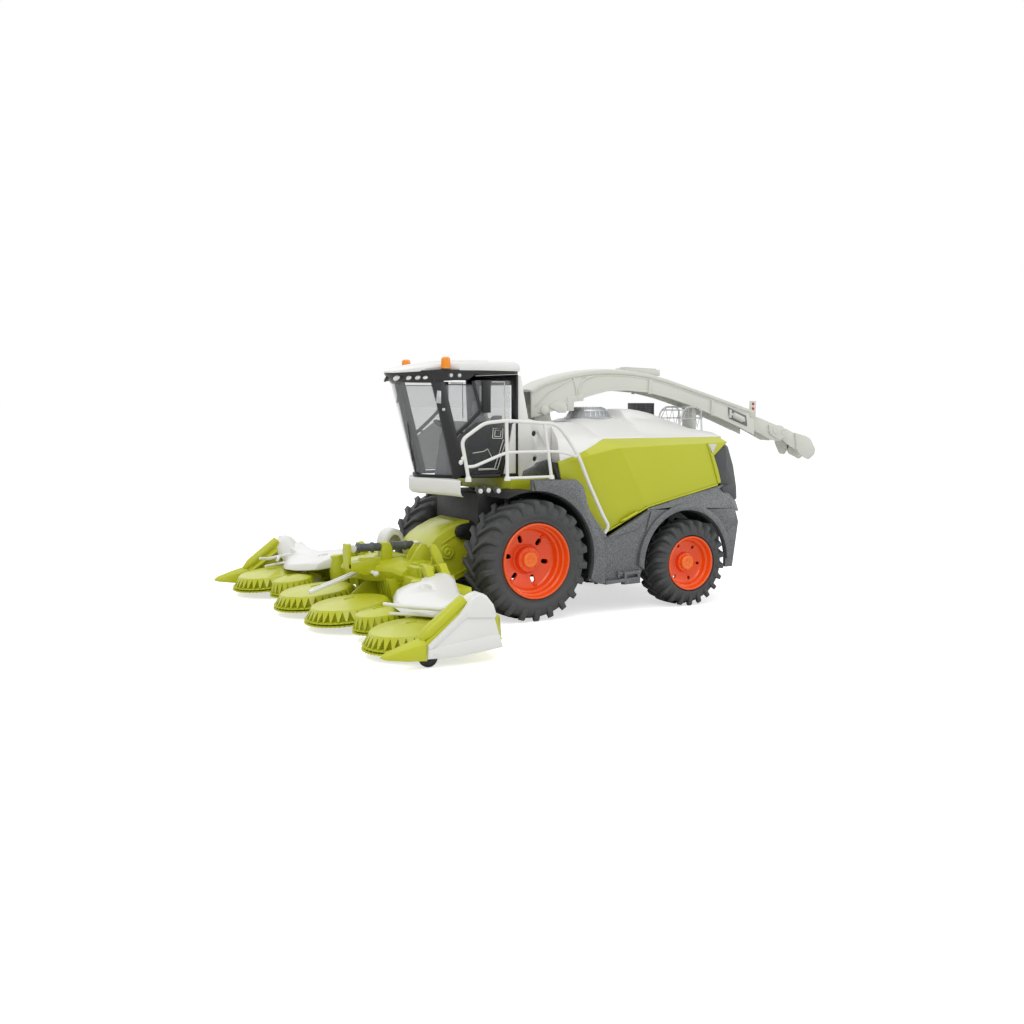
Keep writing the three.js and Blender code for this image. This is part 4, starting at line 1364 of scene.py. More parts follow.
    def _liners(self) -> None:
        """Black sheets of painted shade inside the wheel arches, with room behind the rear wheel
        to steer.
        """
        for side in Side:
            for name, x, z, r, tall, bands in (
                    ("front", 0.0, FRONT_R, 64.6, 64.6, ((66, 196, 48.0, 93.6),)),
                    ("rear", -WHEELBASE + 5.2, REAR_R, 50.6, 53.0,
                     ((-2, 134, 58.0, 93.6), (134.5, 184, 58.0, 66.0)))):
                # Each sheet is a black band that paints the shade inside the arch.
                shade_sheet = Form()
                for first, last, low, high in bands:
                    outer = arc((x, z), r + 1.2, first, last, 40, tall + 1.2)
                    inner = arc((x, z), r, first, last, 40, tall)
                    shade_sheet.prism(outer + inner[::-1], Plane.XZ, low, high)
                self.shop.piece(f"arch_liner_{name}_{side.tag}", shade_sheet.on(side), self.paints.hull,
                    "chassis", Slot.DARK, finish=Finishing(edge=0.2, facet=50))

    def _hitch(self) -> None:
        """The towing jaw behind the tail, with its pin."""
        jaw = Form().prism([(-262, 36), (-262, 56), (-276, 53), (-284.5, 49.5), (-284.5, 48.2),
                (-272, 48.2), (-270, 46), (-272, 43.8), (-284.5, 43.8), (-284.5, 42), (-274, 38)],
            Plane.XZ, -13, 13)
        jaw.lathe([(0.0, 35.0), (2.2, 35.0), (2.2, 54.6), (3.6, 55.0), (3.6, 57.0), (0.0, 57.6)],
                  (-279.0, 0.0, 0.0), Axis.Z, 20)
        self.shop.piece("towing_jaw", jaw, self.paints.fleck, "chassis", Slot.GREY,
            finish=Finishing(edge=0.6))


# ------------------------------------------------------------------ bodywork


Net = Sequence[Sequence[Spot]]


@dataclass
class Bodywork:
    """Lower side panels, lime hood panels, the white hood and what stands on it."""

    paints: Paints
    shop: Workshop
    arch_gap: float = 8.0
    rear_arch: Flat = (52.0, 54.4)
    rear_arch_x: float = -WHEELBASE + 5.2
    panel_wall: float = 2.6
    dome_x: float = -121.8

    def build(self) -> None:
        """Makes every piece of the bodywork."""
        for side in Side:
            self._lower_side(side)
            self._rear_shoulder(side)
            self._hood_panel(side)
            self._hood_shoulder(side)
        self._hood()
        self._dome()
        self._exhaust()
        self._guard()
        self._tail()

    def _arches(self, grow: float, start: Flat, end: Flat) -> tuple[list[Flat], list[Flat]]:
        """The two wheel-arch lines of the side, grown outwards.

        Args:
            grow: Distance from the edge of the arch.
            start: First angle of the front and of the rear arch.
            end: Last angle of each.

        Returns:
            The front line and the rear line.
        """
        front = arc((0.0, FRONT_R), FRONT_R + self.arch_gap + grow, start[0], end[0], 36)
        wide, tall = self.rear_arch
        rear = arc((self.rear_arch_x, REAR_R), wide + grow, start[1], end[1], 40, tall + grow)
        return front, rear

    def _lower_side(self, side: Side) -> None:
        """The speckled lower side: plate, front leg, arch lip, sill and step box.

        Args:
            side: Side of the machine to make it for.
        """
        front, rear = self._arches(0.0, (90.0, -4.0), (201.0, 184.0))
        plate = Form().prism([(2.0, 124.0), (2.0, DECK), (-46.9, 133.4), (-53.0, 127.0),
                (-58.5, 108.0), (-83.5, 75.4), (-134.2, 101.0), (-240.2, 98.0), (-245.8, 83.0),
                (-238.6, 37.0), (-229.4, 37.0), *[p for p in reversed(rear) if p[1] > 41.0],
                (-124.8, 41.0), (-120.2, 31.3), (-79.8, 29.3), (-70.0, 31.7),
                *[p for p in reversed(front) if p[1] > 34.0][:-1]], Plane.XZ, 93.2, 97.2)
        lip, _ = self._arches(0.2, (91.0, 0.0), (199.0, 180.0))
        plate.prism([(1.8, 133.9), *lip, (-70.0, 31.9), (-79.4, 30.4), (-79.6, 52.0),
                (-77.6, 71.0), (-59.4, 107.0), (-53.8, 126.4), (-47.0, 132.9)], Plane.XZ, 96.0,
            99.6)
        plate.prism([(-78.6, 74.6), (-83.5, 76.0), (-133.8, 100.7), (-127.0, 89.4),
                (-118.6, 82.2)], Plane.XZ, 96.0, 99.0)
        _, low = self._arches(0.1, (91.0, -3.0), (199.0, 178.0))
        _, high = self._arches(6.4, (91.0, 2.0), (199.0, 172.0))
        plate.prism(low + high[::-1], Plane.XZ, 96.0, 100.0)
        _, mid = self._arches(5.6, (91.0, 25.0), (199.0, 150.0))
        plate.prism([*reversed(mid), (-134.6, 100.8), (-240.0, 97.8), (-244.8, 83.4),
                (-233.0, 83.4)][:-1], Plane.XZ, 96.0, 98.6)
        plate.prism([(-79.8, 29.4), (-120.2, 31.4), (-121.0, 34.6), (-79.8, 33.2)], Plane.XZ, 96.0,
            100.0)
        plate.box((-119.0, -82.0), (46.3, 94.0), (38.0, 72.0))
        slot = Form().box((-117.4, -104.8), (95.8, 103.0), (31.4, 37.6))
        step = Form().loft([[(-120.4, 94.0, 27.4), (-101.2, 94.0, 27.4), (-101.2, 94.0, 42.4),
                    (-120.4, 94.0, 43.4)], [(-120.4, 100.2, 28.4), (-101.8, 100.2, 28.0),
                    (-101.8, 100.2, 39.6), (-120.4, 100.2, 41.0)]])
        step.box((-101.0, -94.0), (94.0, 98.8), (36.6, 40.4)).box((-96.5, -94.4), (94.0, 99.4),
            (35.2, 41.8))
        self.shop.piece(f"side_skin_{side.tag}", plate.on(side), self.paints.fleck, "chassis",
            Slot.GREY, [f"side_fender_{side.tag}"], Finishing(edge=0.55))
        self.shop.piece(f"side_step_{side.tag}", step.on(side), self.paints.fleck, "chassis",
            Slot.GREY, finish=Finishing(edge=0.4, cut=(slot.on(side),)))

    def _rear_shoulder(self, side: Side) -> None:
        """The sloping top of the rear fender, with the dark tail-lamp block behind it.

        Args:
            side: Side of the machine to make it for.
        """
        rows = [[(-131.0, 98.6, 98.6), (-160.0, 98.6, 100.2), (-200.0, 98.6, 99.4),
                (-240.2, 98.4, 97.9), (-247.5, 95.0, 95.4)], [(-132.0, 95.0, 101.4),
                (-160.0, 95.4, 106.0), (-200.0, 95.4, 109.0), (-236.0, 95.0, 108.6),
                (-248.0, 90.0, 104.0)], [(-133.5, 89.2, 102.2), (-160.0, 90.2, 108.6),
                (-200.0, 90.0, 117.4), (-228.5, 89.0, 121.4), (-242.0, 84.0, 121.8)]]
        shoulder = Form().slab(rows, (0.0, -1.6, -2.0), crease=(0,))
        self.shop.piece(f"rear_shoulder_{side.tag}", shoulder.on(side), self.paints.fleck,
            "chassis", Slot.GREY, finish=Finishing(edge=0.4, facet=20))
        lamp = Form().loft([[(-226.5, y, 119.0), (-233.5, y, 107.4), (-247.5, y - 3.0, 106.4),
                    (-249.0, y - 4.0, 120.6), (-240.0, y - 2.0, 122.4)] for y in (76.0, 93.0)])
        self.shop.piece(f"tail_lamp_block_{side.tag}", lamp.on(side), self.paints.dark, "chassis",
            Slot.DARK, finish=Finishing(edge=0.7))
        lens = Form().box((-250.4, -247.0), (75.5, 80.5), (109.0, 118.5))
        self.shop.piece(f"tail_lens_{side.tag}", lens.on(side), self.paints.red, "chassis",
            Slot.ORANGE, finish=Finishing(edge=0.7))
        turn = Form().box((-250.2, -247.0), (81.4, 86.2), (109.0, 118.5))
        self.shop.piece(f"turn_lens_{side.tag}", turn.on(side), self.paints.amber, "chassis",
            Slot.AMBER, finish=Finishing(edge=0.7))

    def _panel_net(self) -> Net:
        """Points of the lime hood panel, from the seam down and from the front back.

        Returns:
            Rows of points, from the seam down.
        """
        return [[(-31.0, 89.0, 150.5), (-62.0, 87.6, 160.8), (-92.8, 75.2, 170.9),
                (-150.0, 75.2, 170.9), (-205.0, 75.2, 170.9), (-236.5, 75.2, 170.9)],
            [(-32.4, 88.6, 147.6), (-66.5, 90.6, 156.0), (-100.6, 92.0, 162.6),
                (-152.0, 91.0, 164.2), (-208.5, 89.8, 165.2), (-237.6, 87.0, 166.2)],
            [(-36.0, 86.4, 133.0), (-75.0, 88.4, 135.5), (-111.5, 92.3, 142.6),
                (-158.0, 91.4, 146.0), (-214.2, 90.0, 150.0), (-218.6, 89.8, 152.4)],
            [(-57.0, 85.8, 106.0), (-88.0, 88.0, 110.0), (-122.6, 92.3, 122.4),
                (-163.0, 91.2, 127.6), (-219.6, 89.8, 135.4), (-224.6, 89.5, 138.0)],
            [(-82.8, 87.0, 78.0), (-103.0, 89.0, 88.2), (-133.8, 91.8, 103.3),
                (-168.0, 90.8, 110.8), (-223.8, 89.6, 122.8), (-229.0, 89.2, 124.2)]]

    def _hood_panel(self, side: Side) -> None:
        """The creased lime panel with its grip, its pale inset and the dark seam behind it.

        Args:
            side: Side of the machine to make it for.
        """
        net = self._panel_net()
        panel = Form().slab(net, (0.0, -self.panel_wall, 0.0))
        self.shop.piece(f"hood_panel_{side.tag}", panel.on(side), self.paints.lime, "chassis",
            Slot.LIME, [f"hood_side_panel_{side.tag}"], Finishing(edge=0.45, facet=5.5))
        grip = Form().tube(rounded([(-103.4, 91.0, 90.0), (-105.0, 93.4, 91.2),
                    (-119.4, 94.6, 98.0), (-121.0, 92.2, 98.4)], 1.5), 1.35, 10)
        fold = Form().tube([(-209.4, 90.4, 165.4), (-215.0, 90.7, 150.4), (-220.4, 90.5, 135.6),
                (-224.6, 90.3, 123.6)], 0.75, 8)
        bead = Form().tube([(-84.6, 88.4, 78.4), (-104.0, 90.6, 88.2), (-134.0, 93.0, 103.2),
                (-168.0, 92.0, 110.6), (-222.8, 90.6, 122.2)], 0.9, 8)
        self.shop.piece(f"panel_trim_{side.tag}", grip.join(fold).join(bead).on(side),
            self.paints.lime, "chassis", Slot.LIME, finish=Finishing(edge=0.0, facet=50))
        inset = Form().loft([[(-210.6, y, 164.2), (-221.6, y - 0.2, 164.4), (-216.4, y, 154.2)]
                for y in (87.6, 90.9)])
        self.shop.piece(f"panel_inset_{side.tag}", inset.on(side), self.paints.spout, "chassis",
            Slot.WHITE, finish=Finishing(edge=0.5))
        seam = Form().slab([[(x - 0.9, y - 2.0, z) for x, y, z in (row[-1] for row in net)],
                [(x - 2.6, y - 3.4, z - 0.6) for x, y, z in (row[-1] for row in net)]],
            (0.0, -1.0, 0.0))
        under = Form().slab([[(x, y - 1.4, z - 0.5) for x, y, z in net[-1]],
                             [(x, y - 2.6, z - 3.2) for x, y, z in net[-1]]], (0.0, -1.6, 0.0))
        wedge = Form().prism([(-26.4, 150.0), (-31.6, 149.6), (-37.0, 133.0), (-33.0, 133.0)],
            Plane.XZ, 80.0, 86.6)
        self.shop.piece(f"panel_gap_{side.tag}", seam.join(under).join(wedge).on(side),
            self.paints.black, "chassis", Slot.BLACK, finish=Finishing(edge=0.0))

    def _hood_shoulder(self, side: Side) -> None:
        """The white side of the hood beside the spout, which ends in a slant behind the cab.

        Args:
            side: Side of the machine to make it for.
        """
        def lean(z: float) -> float:
            """Distance from the middle plane at which the seam lies at that height."""
            return 75.0 + (171.0 - z) * 1.35 if z > 160.0 else 89.9

        sections = []
        for i in range(7):
            t = i / 6
            x_side, x_mid = -33.0 * (1 - t) - 90.6 * t, -58.0 * (1 - t) - 90.6 * t
            seam = 150.5 + (-31.0 - x_side) / 61.8 * 20.4 + 0.3
            out = lean(seam) - 0.3
            top = 186.6 + 0.6 * t
            line = [(23.6, top), (30.0, top - 0.5), (44.0, top - 3.6 - t),
                (62.0, top - 9.6 - 1.8 * t), (75.0, top - 14.6 - 0.6 * t),
                (out * 0.4 + 75.6 * 0.6, 0.4 * seam + 0.6 * 171.4), (out, seam),
                (out - 3.6, seam - 5.0), (out - 3.8, 148.0), (23.6, 148.0)]
            sections.append([(x_mid + (x_side - x_mid) * (y - 23.6) / 66.0, y, z)
                    for y, z in line])
        shoulder = Form().loft(sections)
        self.shop.piece(f"hood_shoulder_{side.tag}", shoulder.on(side), self.paints.white,
            "chassis", Slot.WHITE, finish=Finishing(edge=0.7, facet=24))

    def _hood(self) -> None:
        """The white hood: shelf for the dome, hump, and the long slope to the tail."""
        spine = [(-90.0, 187.2, 0.0), (-98.0, 190.3, 0.0), (-144.0, 190.5, 0.0),
            (-147.0, 192.0, 5.0), (-149.0, 199.0, 8.6), (-160.0, 200.0, 9.0), (-172.0, 198.4, 8.4),
            (-184.0, 196.0, 7.2), (-196.0, 192.6, 5.4), (-206.0, 189.0, 4.0), (-222.0, 184.6, 2.6),
            (-240.0, 178.4, 1.4)]
        sections = []
        for x, top, hump in spine:
            fall = (-x - 90.0) / 148.0
            half = [(0.0, top + 0.3), (20.0, top), (25.0, top - 0.8 - hump * 0.35),
                (30.0, top - 1.8 - hump * 0.8), (44.0, top * 0.62 + 174.6 * 0.38 - hump * 0.5),
                (60.0, 176.6 - fall * 1.0), (69.0, 173.6 - fall * 0.6), (74.8, 171.5),
                (74.0, 170.2), (71.2, 168.4)]
            ring = [(x, y, z) for y, z in half]
            sections.append(ring + [(x, -y, z) for _, y, z in reversed(ring) if y > 0])
        self.shop.piece("hood_shell", Form().loft(sections), self.paints.white, "chassis",
            Slot.WHITE, ["engine_hood"], Finishing(edge=0.7, facet=24))

    def _dome(self) -> None:
        """The clear ribbed dome of the rotating screen, over its drum."""
        centre = (self.dome_x, 0.0, 190.4)
        dome = Form().lathe([(0.0, 11.9), (12.0, 11.8), (16.4, 11.2), (18.0, 9.9), (21.4, 4.2),
                (24.2, 1.4), (24.6, 0.2), (23.2, 0.2), (20.2, 3.6), (16.8, 9.4), (15.6, 10.2),
                (11.8, 10.8), (0.0, 10.9)], centre, Axis.Z, 64)
        self.shop.piece("dome_shell", dome, self.paints.dome, "chassis", Slot.SILVER,
            ["air_intake_dome"], Finishing(edge=0.0, facet=40))
        rib = Form().loft([[(r, w, z) for r, w, z in ((23.6, -0.45, 1.9), (17.9, -0.4, 10.5),
                    (14.0, -0.35, 11.9), (14.0, 0.35, 11.9), (17.9, 0.4, 10.5),
                    (23.6, 0.45, 1.9))], [(r, w, z) for r, w, z in ((22.4, -0.45, 1.6),
                    (17.0, -0.4, 9.6), (13.6, -0.35, 10.9), (13.6, 0.35, 10.9), (17.0, 0.4, 9.6),
                    (22.4, 0.45, 1.6))]])
        ribs = self.shop.repeat.ring(rib, 28, Axis.Z, centre)
        ribs.lathe([(18.8, 9.0), (19.8, 7.4), (19.2, 6.9), (18.2, 8.6)], centre, Axis.Z, 48)
        ribs.lathe([(25.6, -0.4), (25.6, 1.0), (23.8, 1.5), (23.0, 0.9), (23.0, -0.4)], centre,
            Axis.Z, 56)
        self.shop.piece("dome_ribs", ribs, self.paints.silver, "chassis", Slot.SILVER,
            finish=Finishing(edge=0.0))
        drum = Form().lathe([(0.0, -0.4), (15.0, -0.4), (14.4, 4.6), (11.0, 6.0), (4.0, 6.4),
                (3.2, 8.6), (0.0, 8.8)], centre, Axis.Z, 40)
        self.shop.piece("dome_drum", drum, self.paints.spout, "chassis", Slot.SILVER,
            finish=Finishing(edge=0.4))

    def _exhaust(self) -> None:
        """The dark slatted exhaust box on the slope of the hood."""
        core = Form().prism([(-178.8, 205.0), (-178.8, 195.4), (-200.0, 187.6), (-200.0, 205.0)],
            Plane.XZ, -6.6, 6.6)
        slat = Form().prism([(-177.4, 190.0), (-178.0, 188.9), (-200.8, 188.9), (-201.2, 190.0)],
            Plane.XZ, -8.0, 8.0)
        slats = self.shop.repeat.row(slat.shift((0.0, 0.0, 3.2)), 6, (0.0, 0.0, 2.2))
        core.join(slats).box((-201.2, -177.4), (-8.0, 8.0), (204.6, 206.2))
        for x in (-178.8, -190.0, -201.2):
            core.box((x, x + 1.2), (-8.2, 8.2), (192.0, 205.4))
        self.shop.piece("exhaust_slats", core, self.paints.dark, "chassis", Slot.DARK,
            ["exhaust_box"], Finishing(edge=0.3))

    def _guard(self) -> None:
        """The pale guard frame over the rear of the hood, with its zigzag struts and lamp
        block."""
        frame = Form()
        for y in (-20.0, 20.0):
            frame.tube(rounded([(-226.0, y, 181.0), (-229.5, y, 196.0), (-236.0, y, 201.6),
                        (-250.0, y, 201.8), (-255.0, y, 199.0), (-257.0, y, 165.0)], 5.0), 1.15,
                10)
            zigzag = [(-229.0, y, 186.0), (-237.0, y, 200.6), (-241.0, y, 182.0),
                (-246.0, y, 200.6), (-250.0, y, 180.0), (-255.4, y, 196.0)]
            frame.tube(zigzag, 0.75, 8)
            frame.tube([(-229.0, y, 189.5), (-256.0, y, 189.5)], 0.75, 8)
        for x, z in ((-231.5, 198.4), (-238.0, 201.8), (-250.0, 201.6), (-256.6, 190.0)):
            frame.tube([(x, -20.0, z), (x, 20.0, z)], 0.95, 10)
        self.shop.piece("guard_frame", frame, self.paints.dome, "chassis", Slot.WHITE,
            finish=Finishing(edge=0.0, facet=50))
        block = Form().loft([[(x, y, z) for x, z in ((-250.6, 167.0), (-257.6, 165.4),
                    (-257.0, 201.0), (-251.8, 201.0))] for y in (-9.0, 9.0)])
        self.shop.piece("guard_block", block, self.paints.spout, "chassis", Slot.WHITE,
            finish=Finishing(edge=0.8))

    def _tail(self) -> None:
        """The dark tail: wrapped corners, and slats across the cooler opening."""
        levels = [(104.4, -268.9, 74.0), (118.0, -266.4, 76.0), (140.0, -261.8, 76.0),
            (160.0, -257.6, 72.0), (166.0, -253.0, 68.0), (170.6, -245.0, 62.0)]
        sections = []
        for z, rear, wide in levels:
            side = 86.4 if z < 160 else 86.4 - (z - 160.0) * 1.3
            half = [(-211.0, side), (-238.0, side - 0.6), (rear + 9.0, wide + 2.0),
                (rear + 2.6, wide - 5.0), (rear, wide - 13.0)]
            sections.append([(x, y, z) for x, y in half] + [(x, -y, z) for x, y in reversed(half)])
        tail = Form().loft(sections)
        opening = Form().loft([[(rear - 5.0, 52.0, z), (rear + 3.2, 52.0, z),
                    (rear + 3.2, -52.0, z), (rear - 5.0, -52.0, z)]
                for z, rear in ((110.0, -267.8), (158.0, -258.0))])
        self.shop.piece("tail_shell", tail, self.paints.dark, "chassis", Slot.DARK,
            ["rear_grille"], Finishing(edge=0.8, facet=28, cut=(opening,)))
        slat = Form().prism([(-265.6, 110.6), (-268.0, 111.6), (-268.0, 112.6), (-265.6, 113.0)],
            Plane.XZ, -52.4, 52.4)
        slats = self.shop.repeat.row(slat, 14, (0.69, 0.0, 3.4))
        bar = Form().loft([[(-268.2, y, 109.0), (-264.6, y, 109.0), (-254.8, y, 159.0),
                    (-258.4, y, 159.0)] for y in (-1.2, 1.2)])
        slats.join(self.shop.repeat.row(bar.shift((0.0, -34.0, 0.0)), 5, (0.0, 17.0, 0.0)))
        self.shop.piece("tail_slats", slats, self.paints.black, "chassis", Slot.DARK,
            finish=Finishing(edge=0.0))


# ------------------------------------------------------------------ cab


@dataclass
class Cab:
    """Platform, cab frame, glazing, doors, roof, inside, and the rails beside it.

    The cab is laid out as if it were `half` wide to each side, and _narrow brings it to the width
    it has.
    """

    paints: Paints
    shop: Workshop
    half: float = 60.0
    pane_half: float = 55.6
    pane_foot: float = 60.5
    pane_lean: float = 26.0
    pane_bow: float = 17.0
    true_half: float = 46.0
    slant: float = 0.13
    rail_r: float = 1.7

    def build(self) -> None:
        """Makes every piece of the cab."""
        self._platform()
        self._frame()
        self._windscreen()
        self._visor()
        self._roof()
        self._inside()
        self._platform_lamps(Side.LEFT)
        self._railing(Side.LEFT)
        for side in Side:
            self._door(side)
            self._beacon(side)
            self._rear_panel(side)

    @staticmethod
    def _whole(half: Sequence[Flat]) -> list[Flat]:
        """Both sides of an outline that is given for the left."""
        return [*half, *[(x, -y) for x, y in reversed(half)]]

    def _narrow(self, form: Form) -> Form:
        """Moves a form from the layout width of the cab to its true width.

        Args:
            form: The form to change.

        Returns:
            The same form, narrower, and set back towards its sides.
        """
        k = self.true_half / self.half
        return form.warp(lambda p: (p[0] - self.slant * abs(p[1]), p[1] * k, p[2]))

    def _platform(self) -> None:
        """The lime platform with its lamp recesses, and the white band round its nose."""
        plan = [(2.6, 100.0), (59.5, 100.0), (66.0, 92.0), (67.0, 78.4), (72.0, 20.0),
            (66.0, -30.0), (52.0, -51.0), (2.6, -52.0)]
        body = Form().prism(plan, Plane.XY, 119.8, DECK)
        body.box((-58.0, 3.0), (-58.0, 58.0), (119.8, DECK))
        body.prism([(20.0, 90.0), (56.0, 88.0), (62.0, 70.0), (66.0, 46.0), (74.0, 14.0),
                (72.0, -14.0), (62.0, -34.0), (50.0, -46.0), (20.0, -46.0)], Plane.XY, 115.8,
            121.0)
        cuts = []
        cuts.append(Form().prism([(29.6, 121.4), (34.6, 131.2), (66.8, 131.6), (63.4, 122.4)],
                Plane.XZ, 96.6, 104.0))
        cuts.append(Form().prism([(-2.0, 118.0), (24.0, 118.0), (12.0, 124.0), (-2.0, 127.4)],
                Plane.XZ, 60.0, 104.0))
        self.shop.piece("platform", body, self.paints.lime, "chassis", Slot.LIME, ["cab_platform"],
                        Finishing(edge=0.7, cut=tuple(cuts)))
        levels = []
        for z, out in ((119.2, -3.4), (121.0, -0.9), (124.0, 0.2), (133.0, 0.3), (134.6, -0.3)):
            edge = [(67.4, 78.0), (68.6, 66.0), (70.6, 52.0), (74.2, 36.0), (78.6, 22.0),
                (82.4, 8.0), (82.8, -2.0), (79.8, -12.0), (74.4, -24.0), (67.8, -36.0),
                (60.4, -45.0), (52.0, -50.6)]
            levels.append([(x + out, y, z) for x, y in edge] + [(60.0, 60.0, z)])
        self.shop.piece("nose_band", Form().loft(levels), self.paints.white, "chassis", Slot.WHITE,
                        finish=Finishing(edge=0.6, facet=30))

    def _platform_lamps(self, side: Side) -> None:
        """Three work lamps in the recess of the platform's side.

        Args:
            side: Side of the machine to make it for.
        """
        pods, lenses = Form(), Form()
        for x, z in ((57.6, 126.2), (49.2, 126.6), (38.8, 125.8)):
            pods.lathe([(0.0, 96.4), (3.5, 96.4), (3.3, 98.4), (2.7, 99.2), (2.5, 98.2),
                    (0.0, 98.0)], (x, 0.0, z), Axis.Y, 24)
            pods.prism([(x - 2.6, z + 0.6), (x + 4.6, z + 4.8), (x + 4.8, z - 0.4)], Plane.XZ,
                96.4, 98.0)
            lenses.lathe([(0.0, 98.0), (2.4, 98.0), (2.2, 98.8), (0.0, 99.5)], (x, 0.0, z), Axis.Y,
                24)
        self.shop.piece(f"work_lamp_pods_{side.tag}", pods.on(side), self.paints.dark, "chassis",
            Slot.DARK, finish=Finishing(edge=0.2))
        self.shop.piece(f"work_lamp_lenses_{side.tag}", lenses.on(side), self.paints.lens,
            "chassis", Slot.SILVER, finish=Finishing(edge=0.0))

    def _frame(self) -> None:
        """The black frame: slanted front posts, bent rear posts, roof rails and rear wall."""
        low, top = DECK + 0.3, ROOF_LOW
        frame = Form()
        for sign in (1, -1):
            inner, outer = sorted((sign * (self.half - 4.4), sign * self.half))
            frame.loft([[(53.2, y, low), (65.6, y, low), (89.6, y, top), (78.2, y, top)]
                    for y in (inner, outer)])
            frame.loft([[(-3.8, y, 186.0), (5.6, y, 186.0), (7.6, y, top), (-3.2, y, top)]
                    for y in (inner, outer)])
            frame.loft([[(13.2, y, low), (16.8, y, low), (6.4, y, 187.0), (2.4, y, 187.0)]
                    for y in (inner, outer)])
            frame.loft([[(-4.0, y, top - 4.6), (88.6, y, top - 4.6), (89.4, y, top),
                        (-4.0, y, top)] for y in (inner, outer)])
            frame.box((-4.0, 60.0), (inner, outer), (low, low + 3.2))
        frame.box((-4.0, -1.6), (-self.half, self.half), (low, top))
        window = Form().box((-8.0, 1.0), (-46.0, 46.0), (176.0, 224.0))
        self.shop.piece("cab_frame_posts", self._narrow(frame), self.paints.black, "chassis",
            Slot.BLACK, ["cab_frame"], Finishing(edge=0.7, cut=(self._narrow(window),)))
        rear = Form().box((-3.4, -2.2), (-46.2, 46.2), (175.8, 224.2))
        self.shop.piece("rear_window", self._narrow(rear), self.paints.glass, "chassis",
            Slot.CLEAR, finish=Finishing(edge=0.3))
        plate = Form()
        for sign in (1, -1):
            low_y, high_y = sorted((sign * 60.0, sign * 60.9))
            plate.loft([[(80.0, y, 206.0), (85.2, y, 206.6), (84.0, y, 218.4), (80.0, y, 218.0)]
                    for y in (low_y, high_y)])
            plate.lathe([(0.0, 0.0), (1.6, 0.0), (1.6, 1.6 * sign), (0.0, 1.9 * sign)],
                (77.6, sign * 60.0, 200.4), Axis.Y, 12)
        self.shop.piece("post_plates", self._narrow(plate), self.paints.silver, "chassis",
            Slot.SILVER, finish=Finishing(edge=0.3))

    def _pane(self, z: float, y: float, back: float = 0.0) -> Spot:
        """A point of the windscreen, at a height and a distance from the middle plane.

        Args:
            z: Height of the point.
            y: Its distance from the middle.
            back: How far it lies behind the outer face.

        Returns:
            The point.
        """
        k = (z - DECK - 0.3) / (ROOF_LOW - DECK - 0.3)
        bow = self.pane_bow * (1.0 - (y / self.pane_half) ** 2)
        return (self.pane_foot + self.pane_lean * k + bow - back, y, z)

    def _windscreen(self) -> None:
        """The wide bowed windscreen with its gasket, its thicker edge and the wiper."""
        low, top = DECK + 0.3, ROOF_LOW
        across = [self.pane_half * (1 - i / 12) for i in range(25)]
        rows = [[self._pane(low + (top - low) * j / 6, y) for y in across] for j in range(7)]
        self.shop.piece("windscreen_pane", self._narrow(Form().slab(rows, (-1.5, 0.0, 0.0))),
            self.paints.glass, "chassis", Slot.CLEAR, ["windscreen"],
            Finishing(edge=0.3, facet=30))
        gasket = Form().slab([[self._pane(low, y * 1.02, -0.8) for y in across],
                [self._pane(low + 3.0, y * 1.02, -1.0) for y in across]], (-3.4, 0.0, 0.0))
        wiper = Form().tube([self._pane(138.0, 6.0, -2.0), self._pane(152.0, 9.0, -2.2),
                self._pane(166.0, 8.0, -2.0)], 0.8, 8)
        wiper.tube([self._pane(150.0, 4.0, -1.6), self._pane(168.0, 9.0, -1.6),
                self._pane(188.0, 13.0, -1.4)], 0.6, 8)
        wiper.lathe([(0.0, -1.0), (2.4, -1.0), (2.2, 2.4), (0.0, 2.8)], (76.8, 6.0, 137.6), Axis.X,
            16)
        for y in (-54.6, 54.6):
            wiper.tube([self._pane(z, y, -0.3) for z in (136.0, 160.0, 190.0, 232.0)], 0.7, 8)
        self.shop.piece("windscreen_gasket", self._narrow(gasket.join(wiper)), self.paints.black,
            "chassis", Slot.BLACK, finish=Finishing(edge=0.0))

    def _visor(self) -> None:
        """The black skirt below the roof, its lamps, and the thin seal under the rest of the
        roof."""
        seal = self._whole([(-5.0, 57.0), (1.0, 61.8), (66.0, 63.0), (84.0, 62.0), (93.0, 58.8),
                (102.0, 36.0), (107.0, 16.0)])
        visor = Form().prism(seal, Plane.XY, ROOF_LOW + 0.3, 237.2)
        top = [(43.0, 61.2, 237.0), (50.0, 62.6, 238.2), (84.0, 63.2, 238.0), (92.4, 59.6, 237.2),
            (98.0, 48.6, 236.0), (102.6, 36.0, 235.4), (107.2, 16.0, 234.8), (108.6, 0.0, 234.6)]
        foot = [(45.0, 60.8, 232.6), (51.0, 61.4, 228.8), (83.0, 61.6, 227.0), (88.6, 58.0, 225.6),
            (92.6, 46.8, 225.6), (96.4, 34.6, 225.8), (99.8, 15.0, 226.2), (101.0, 0.0, 226.4)]
        both = [[*row, *[(x, -y, z) for x, y, z in reversed(row[:-1])]] for row in (top, foot)]
        inner = [[(x - 1.6 if x > 86 else x, (abs(y) - 1.0) * (1 if y > 0 else -1) if abs(y) > 2
                    else y, z) for x, y, z in row] for row in both]
        n = len(both[0])
        points = [*both[0], *both[1], *inner[0], *inner[1]]
        faces = [[i, i + 1, n + i + 1, n + i] for i in range(n - 1)]
        faces += [[2 * n + i + 1, 2 * n + i, 3 * n + i, 3 * n + i + 1] for i in range(n - 1)]
        faces += [[i + 1, i, 2 * n + i, 2 * n + i + 1] for i in range(n - 1)]
        faces += [[n + i, n + i + 1, 3 * n + i + 1, 3 * n + i] for i in range(n - 1)]
        faces += [[0, n, 3 * n, 2 * n], [2 * n - 1, n - 1, 3 * n - 1, 4 * n - 1]]
        visor.faces(points, faces)
